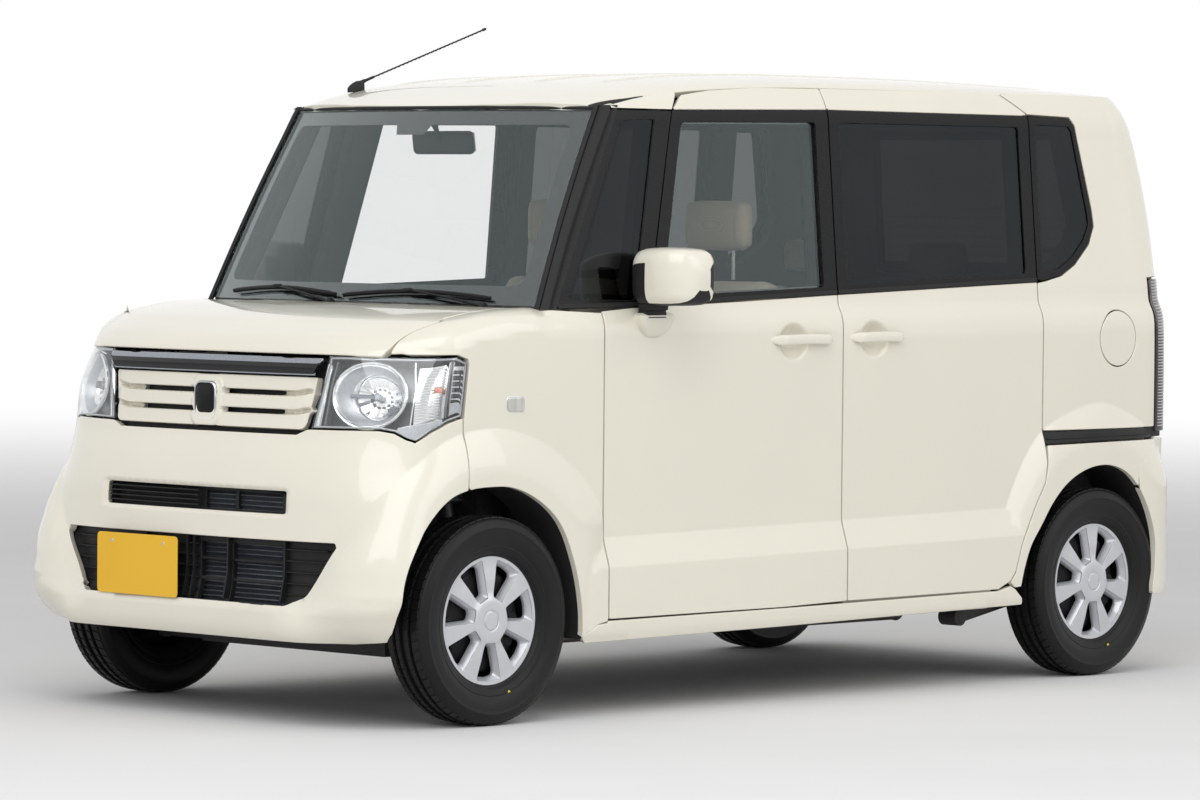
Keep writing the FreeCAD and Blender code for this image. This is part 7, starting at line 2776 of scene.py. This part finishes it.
class Pad:
    """One upholstered pad, blown up by a short cloth run, with its seams pressed in afterwards."""

    voxel = 0.016
    cap = 0.024

    def __init__(
        self, low: Sequence[float], high: Sequence[float], radius: float,
        seams: Sequence[tuple[int, float, float]] = ()
    ) -> None:
        """Set the pad's block, its corner radius and its seams as (axis, place, depth)."""
        self.block, self.seams = softbox(low, high, radius, 4), seams
        self.low, self.high = np.array(low, float), np.array(high, float)

    def _baked(self, mesh: bpy.types.Mesh, kind: str, settings: dict[str, object]) -> bpy.types.Mesh:
        """Run one modifier on a mesh and return the result."""
        holder = bpy.data.objects.new("pad_work", mesh)
        bpy.context.scene.collection.objects.link(holder)
        modifier = holder.modifiers.new("work", kind)
        for key, value in settings.items():
            setattr(modifier, key, value)
        bpy.context.view_layer.update()
        out = bpy.data.meshes.new_from_object(holder.evaluated_get(bpy.context.evaluated_depsgraph_get()))
        bpy.data.objects.remove(holder)
        return out

    def _blown(self, mesh: bpy.types.Mesh) -> bpy.types.Mesh:
        """Blow the mesh up like a filled cover."""
        before = np.zeros(len(mesh.vertices) * 3, np.float32)
        mesh.vertices.foreach_get("co", before)
        before = before.reshape(-1, 3)
        holder = bpy.data.objects.new("pad_cloth", mesh)
        scene = bpy.context.scene
        scene.collection.objects.link(holder)
        cloth = holder.modifiers.new("cloth", "CLOTH")
        cloth.settings.use_pressure = True
        cloth.settings.uniform_pressure_force = 4.0
        cloth.settings.effector_weights.gravity = 0.0
        cloth.settings.quality = 4
        for number in range(1, 21):
            scene.frame_set(number)
        result = bpy.data.meshes.new_from_object(holder.evaluated_get(bpy.context.evaluated_depsgraph_get()))
        after = np.zeros(len(result.vertices) * 3, np.float32)
        result.vertices.foreach_get("co", after)
        move = after.reshape(-1, 3) - before
        size = np.maximum(np.linalg.norm(move, axis=1), 1e-9)
        move *= np.minimum(1.0, self.cap / size)[:, None]
        result.vertices.foreach_set("co", (before + move).ravel())
        holder.modifiers.remove(cloth)
        bpy.data.objects.remove(holder)
        scene.frame_set(1)
        return result

    def shape(self, slot: int = 0) -> Shape:
        """Return the finished pad as a shape."""
        mesh = bpy.data.meshes.new("pad")
        mesh.from_pydata((np.concatenate(self.block.verts) * MM).tolist(), [], self.block.faces)
        mesh = self._baked(mesh, "REMESH", {"mode": "VOXEL", "voxel_size": self.voxel})
        mesh = self._blown(mesh)
        mesh = self._baked(mesh, "SUBSURF", {"levels": 1, "render_levels": 1})
        flat = np.zeros(len(mesh.vertices) * 3, np.float32)
        mesh.vertices.foreach_get("co", flat)
        verts = flat.reshape(-1, 3).astype(float) / MM
        centre = (self.low + self.high) / 2
        for axis, place, depth in self.seams:
            near = np.exp(-(((verts[:, axis] - place) / 5.5) ** 2))
            inward = centre - verts
            inward[:, axis] = 0
            inward /= np.maximum(np.linalg.norm(inward, axis=1), 1e-6)[:, None]
            verts = verts + inward * (near * depth)[:, None]
        faces = [tuple(p.vertices) for p in mesh.polygons]
        bpy.data.meshes.remove(mesh)
        return Shape().add(verts, faces, slot)


def leaned(shape: Shape, pivot: Sequence[float], degrees: float, move: Sequence[float] = (0, 0, 0)) -> Shape:
    """Lean a shape back about a line across the car, then move it."""
    c, s = math.cos(math.radians(degrees)), math.sin(math.radians(degrees))
    p, m = np.array(pivot, float), np.array(move, float)

    def change(v: np.ndarray) -> np.ndarray:
        """Turn the points."""
        d = v - p
        return np.stack([d[:, 0], c * d[:, 1] + s * d[:, 2], -s * d[:, 1] + c * d[:, 2]], 1) + p + m

    return shape.moved(change)


@dataclass
class Cabin:
    """Seats, dashboard, steering wheel, linings and mirror."""

    driver_x: float = 321.7
    wheel_centre: tuple[float, float, float] = (-321.7, -504.7, 960.0)

    def build(self) -> None:
        """Build the cabin."""
        self._front_seats()
        self._rear_seat()
        self._dashboard()
        self._steering_wheel()
        self._linings()
        self._mirror_and_visors()

    def _front_seats(self) -> None:
        """Build the front seats' pads and plinths."""
        base = Pad((-226, -548, 522), (226, -70, 626), 34, [(0, -140, 7), (0, 140, 7), (1, -330, 6)]).shape()
        back = Pad(
            (-222, -86, 610), (222, 8, 1215), 34, [(0, -135, 7), (0, 135, 7), (2, 800, 6), (2, 1020, 6)]
        ).shape()
        rest = Pad((-122, 32, 1262), (122, 92, 1408), 26, [(0, -84, 4), (0, 84, 4)]).shape()
        seat = Shape().join(
            leaned(base, (0, -560, 560), -2.5)
        ).join(leaned(back, (0, -60, 610), 12.0)).join(rest)
        left = seat.moved(lambda v: v + [self.driver_x, 0.0, 0.0])
        right = seat.moved(lambda v: v - [self.driver_x, 0.0, 0.0])
        pads = left.join(right).build(
            "front_seat_pads", [FABRIC.material()], "car_body", "seat_fabric", ["front_seats"], angle=75
        )
        plinth = softbox((-205, -520, 262), (205, -90, 505), 18)
        for x in (-195, 195):
            plinth.join(softbox((x - 16, -545, 256), (x + 16, 20, 276), 5, slot=1))
        shell = leaned(softbox((-212, -22, 560), (212, 22, 1190), 18), (0, -60, 610), 12.0)
        plinth.join(shell)
        for x in (-60, 60):
            plinth.join(tube([(x, 62, 1180), (x, 62, 1290)], 6, 12, 1))
        pair = plinth.moved(lambda v: v + [self.driver_x, 0.0, 0.0]).join(
            plinth.moved(lambda v: v - [self.driver_x, 0.0, 0.0])
        )
        pair.build("front_seat_plinths", [CABIN_GREY.material(), STEEL.material()], "car_body", "black_plastic")

    def _rear_seat(self) -> None:
        """Build the split rear bench."""
        base = Pad((10, 494, 520), (500, 926, 622), 34, [(0, 120, 6), (0, 390, 6), (1, 700, 6)]).shape()
        back = Pad((12, 950, 600), (498, 1040, 1150), 32, [(0, 120, 6), (0, 390, 6), (2, 860, 6)]).shape()
        rest = Pad((145, 1090, 1190), (365, 1146, 1290), 24, [(0, 180, 4), (0, 330, 4)]).shape()
        half = Shape().join(leaned(base, (0, 494, 560), -2.5)).join(leaned(back, (0, 960, 610), 11.0)).join(
            rest.moved(lambda v: v + [0.0, -20.0, 0.0])
        )
        bench = half.both().build(
            "rear_bench_pads", [FABRIC.material()], "car_body", "seat_fabric", ["rear_seat"], angle=75
        )
        frame_shape = softbox((-495, 500, 262), (495, 885, 505), 16)
        frame_shape.join(leaned(softbox((-500, 1010, 520), (500, 1036, 1120), 12), (0, 960, 610), 11.0))
        frame_shape.build("rear_bench_frame", [CABIN_GREY.material()], "car_body", "black_plastic")

    def _dashboard(self) -> None:
        """Build the dashboard, binnacle, screen, vents and console."""
        rows = []
        for x in np.linspace(-586, 586, 41):
            hump = 26.0 * float(ramp(np.array(1 - abs(x + 300) / 260.0)))
            end = 20.0 * float(ramp(np.array((abs(x) - 520) / 66.0)))
            profile = [
                (-983, 700), (-983, 1050 - end), (-900, 1062 + 0.4 * hump - end), (-850, 1068 + hump - end),
                (-760, 1062 + hump - end), (-700, 1038 + 0.5 * hump - end), (-676, 1010 - end), (-668, 960),
                (-664, 890), (-680, 860), (-720, 840), (-756, 700)
            ]
            smooth = rounded(profile, [0, 8, 20, 30, 30, 20, 14, 10, 14, 14, 20, 0], 3)
            rows.append(np.array([(x, y, z) for y, z in smooth]))
        dash = loft(rows, cap_start=True, cap_end=True)
        middle = rows[len(rows) // 2]
        for i in range((len(rows) - 1) * len(middle)):
            mid = middle[[i % len(middle), (i + 1) % len(middle)]].mean(0)
            dash.slots[i] = 1 if 700 < mid[2] < 985 and mid[1] > -780 else 0
        hood = []
        for y, z, w in (
            (-860, 1070, 120), (-820, 1098, 150), (-740, 1108, 158), (-690, 1096, 156), (-680, 1084, 154)
        ):
            ring = [
                (self.wheel_centre[0] + w * math.cos(t), y, z - 30 + 34 * math.sin(t))
                for t in np.linspace(0, math.pi, 20)
            ]
            ring += [(self.wheel_centre[0] - w * 0.96, y, z - 60), (self.wheel_centre[0] + w * 0.96, y, z - 60)]
            hood.append(np.array(ring))
        dash.join(loft(hood[::-1], cap_start=True, cap_end=True))
        dash.join(softbox((-90, -700, 930), (90, -662, 1012), 8, slot=2))
        dash.join(softbox((-100, -705, 780), (100, -668, 905), 10, slot=0))
        dash.join(softbox((-165, -830, 565), (165, -690, 790), 24, slot=1))
        for x in (-28.0, 28.0, 0.0):
            dial = turned([(0, 8), (14, 8), (17, 5), (18, 0)], 24, 0)
            dash.join(
                dial.moved(
                    lambda v, px=x: np.stack([px * 2.0 + v[:, 1], -668.0 + v[:, 0], 845.0 + v[:, 2]], 1)
                ),
                3
            )
        for x in (-545.0, -150.0, 110.0, 500.0):
            dash.join(softbox((x, -700, 950), (x + 62, -660, 1008), 8, slot=3))
            slat = softbox((x + 5, -668, 957), (x + 57, -655, 960), 1.0, 1)
            dash.join(REPEAT.spread(slat, CABIN_GREY.material(), 5, (0.0, 0.0, 10.5)))
        dash.join(softbox((180, -682, 800), (520, -660, 935), 12, slot=1))
        column = np.array(self.wheel_centre)
        way = np.array([0.0, 0.8829, 0.4695])
        dash.join(tube([column - way * 215, column - way * 60, column - way * 42], [46, 42, 30], 20))
        for s in (-1, 1):
            stalk = column - way * 58
            dash.join(tube([stalk, stalk + [s * 90, 12, 8], stalk + [s * 140, 16, 12]], [9, 7, 9], 12))
        for x in (-400.0, -300.0):
            dash.join(softbox((x - 30, -800, 380), (x + 30, -785, 440), 4, slot=3))
            dash.join(tube([(x, -800, 420), (x, -880, 560), (x, -900, 640)], 7, 8, 3))
        finishes = [CABIN_GREY.material(), CABIN_LIGHT.material(), SCREEN.material(), DARK_CHROME.material()]
        dash.build("dashboard_shell", finishes, "car_body", "black_plastic", ["dashboard"], angle=38)

    def _steering_wheel(self) -> None:
        """Build the steering wheel's rim, spokes and pad."""
        centre = np.array(self.wheel_centre)
        way = np.array([0.0, 0.8829, 0.4695])
        up = np.array([0.0, -0.4695, 0.8829])

        def put(v: np.ndarray) -> np.ndarray:
            """Set points given along the wheel's axis in the car."""
            return centre + v[:, :1] * way + v[:, 1:2] * np.array([1.0, 0, 0]) + v[:, 2:3] * up

        ring = [
            (180 + 13.5 * math.cos(t), 14.5 * math.sin(t))
            for t in np.linspace(0, 2 * math.pi, 16, endpoint=False)
        ]
        wheel = turned(ring, 72, 0, closed=True).moved(put)
        pad = turned([(0, 14), (40, 13), (58, 8), (64, 0), (62, -16), (40, -26), (0, -28)], 36, 0).moved(put)
        wheel.join(pad)
        for angle in (8.0, 172.0, 270.0):
            t = math.radians(angle)
            a = np.array(
                [
                    [2.0, 50 * math.cos(t), 50 * math.sin(t)], [-4.0, 110 * math.cos(t), 110 * math.sin(t)],
                    [0.0, 174 * math.cos(t), 174 * math.sin(t)]
                ]
            )
            path = put(a)
            wheel.join(tube(path, [17, 13, 12], 12, 0, squash=0.6))
            wheel.join(tube(path + way * 7.0, [8, 6, 4], 10, 1, squash=0.4))
        wheel.build(
            "steering_wheel_rim", [CABIN_GREY.material(), LAMP_MATT.material()], "helm", "black_plastic",
            ["steering_wheel"], angle=50
        )

    def _linings(self) -> None:
        """Build the headliner, carpets, mats and door trims."""

        def ceiling(ab: np.ndarray) -> np.ndarray:
            """Map the headliner below the roof."""
            return roof_sheet(ab) - np.array([0.0, 0.0, 34.0])

        liner = panel(
            ceiling, rounded([(-545, -735), (545, -735), (548, 1450), (-548, 1450)], 40), step=70, radius=3,
            hem=6, flip=True, lift=0.0, edge_step=60
        )
        lamp = softbox((-60, -560, 1690), (60, -470, 1712), 8, slot=1)
        liner.join(lamp)
        liner.build("headliner", [HEADLINER.material(), LAMP_MARKER.material()], "car_body", "seat_fabric")

        def ground(height: float) -> Callable[[np.ndarray], np.ndarray]:
            """Return a slightly uneven level sheet."""
            return lambda ab: np.stack(
                [ab[:, 0], ab[:, 1], height + 1.2 * np.sin(ab[:, 0] * 0.021) * np.sin(ab[:, 1] * 0.017)], 1
            )

        floor = panel(
            ground(260.0), rounded([(-585, -905), (585, -905), (585, 885), (-585, 885)], 20), step=60, radius=2,
            hem=3, edge_step=60
        )
        floor.join(
            panel(
                ground(484.0), rounded([(-515, 915), (515, 915), (515, 1560), (-515, 1560)], 20), step=60,
                radius=2, hem=3, edge_step=60
            )
        )
        for x in (-321.0, 321.0):
            floor.join(
                panel(
                    ground(264.0),
                    rounded([(x - 210, -880), (x + 210, -880), (x + 210, -590), (x - 210, -590)], 40), step=40,
                    radius=3, hem=4, edge_step=40
                ),
                1
            )
        floor.build("cabin_carpets", [CARPET.material(), SEAL.material()], "car_body", "seat_fabric")
        trim = Shape()
        for corners in ([(-762, 320), (128, 320), (128, 1088), (-300, 1072), (-762, 1060)],):
            trim.join(
                panel(
                    lambda ab: np.stack([np.full(len(ab), 641.0), ab[:, 0], ab[:, 1]], 1), rounded(corners, 40),
                    step=50, radius=5, hem=8, flip=True, lift=3.0, edge_step=30
                )
            )
        trim.join(softbox((585, -430, 800), (640, 70, 856), 16, slot=1))
        trim.join(softbox((604, -640, 330), (640, -60, 470), 18, slot=0))
        hole = turned([(0, 2.0), (3.0, 1.5), (3.6, 0)], 8, 1)
        dots = hole.moved(lambda v: np.stack([636.0 - v[:, 0], v[:, 1] - 690.0, v[:, 2] + 520.0], 1), flip=True)
        row = REPEAT.spread(dots, CABIN_GREY.material(), 9, (0.0, 14.0, 0.0))
        trim.join(REPEAT.spread(row, CABIN_GREY.material(), 9, (0.0, 0.0, 14.0), slot=1))
        trim.join(softbox((630, -560, 950), (640, -430, 985), 5, slot=2))
        finishes = [CABIN_LIGHT.material(), CABIN_GREY.material(), DARK_CHROME.material()]
        trim.build("left_door_trim", finishes, "left_door", "black_plastic")
        trim.mirrored().build("right_door_trim", finishes, "right_door", "black_plastic")

    def _mirror_and_visors(self) -> None:
        """Build the inside mirror and the sun visors."""
        box = leaned(softbox((-118, -742, 1528), (118, -712, 1594), 14), (0, -727, 1560), -8.0)
        box.join(leaned(softbox((-110, -713, 1534), (110, -708, 1588), 3, slot=1), (0, -727, 1560), -8.0))
        box.join(tube([(0, -738, 1560), (0, -752, 1590), (0, -768, 1622)], [8, 6, 12], 12))
        box.build("inside_mirror", [BLACK.material(), MIRROR.material()], "car_body", "black_plastic")
        visor = leaned(softbox((70, -752, 1640), (480, -590, 1658), 8, steps=3), (0, -752, 1650), -14.0)
        visor.both().build("sun_visors", [HEADLINER.material()], "car_body", "seat_fabric")


SCREEN = Finish(
    "display_glass", (0.012, 0.013, 0.016), 0.08, 0.0, Pattern.SMOOTH, 200.0, 0.0, (0.014, 0.015, 0.018),
    coat=0.8
)


STRUT = Finish("strut_black", (0.03, 0.03, 0.032), 0.4, 0.4, Pattern.SMOOTH, 300.0, 0.05, (0.045, 0.045, 0.047))
ALUMINIUM_CAST = Finish(
    "engine_cast_alloy", (0.30, 0.30, 0.31), 0.5, 0.75, Pattern.CAST, 260.0, 0.5, (0.2, 0.2, 0.21)
)
TANK = Finish(
    "fuel_tank_black", (0.025, 0.025, 0.027), 0.5, 0.0, Pattern.GRAIN, 300.0, 0.3, (0.035, 0.035, 0.037)
)
EXHAUST = Finish(
    "exhaust_steel", (0.34, 0.33, 0.31), 0.42, 0.95, Pattern.BRUSHED, 200.0, 0.2, (0.24, 0.21, 0.18)
)


@dataclass
class Dressing:
    """Finishes for the nodes that keep their own shape."""

    def build(self) -> None:
        """Give every carried-over node its finish."""
        table = {
            "left_knuckle": CAST, "right_knuckle": CAST, "front_struts": STRUT, "front_subframe": UNDERBODY,
            "engine": ALUMINIUM_CAST, "rear_axle": UNDERBODY, "floor_pan": UNDERBODY,
            "fuel_tank": TANK, "exhaust": EXHAUST,
        }
        for name, finish in table.items():
            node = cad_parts.get(name)
            if node is None:
                log.warning("no node %s", name)
                continue
            material = finish.material()
            for slot in node.material_slots:
                slot.material = material
            if not node.material_slots:
                node.data.materials.append(material)
            log.info("%s: %s", name, finish.name)


def main() -> None:
    """Build the car, piece by piece."""
    logging.basicConfig(level=logging.INFO, format="%(message)s")
    Studio().build()
    Bodywork().build()
    Glazing().build()
    FrontEnd().build()
    Wheels().build()
    Fittings().build()
    SideStructure().build()
    Cabin().build()
    Dressing().build()


if __name__ == "__main__":
    main()
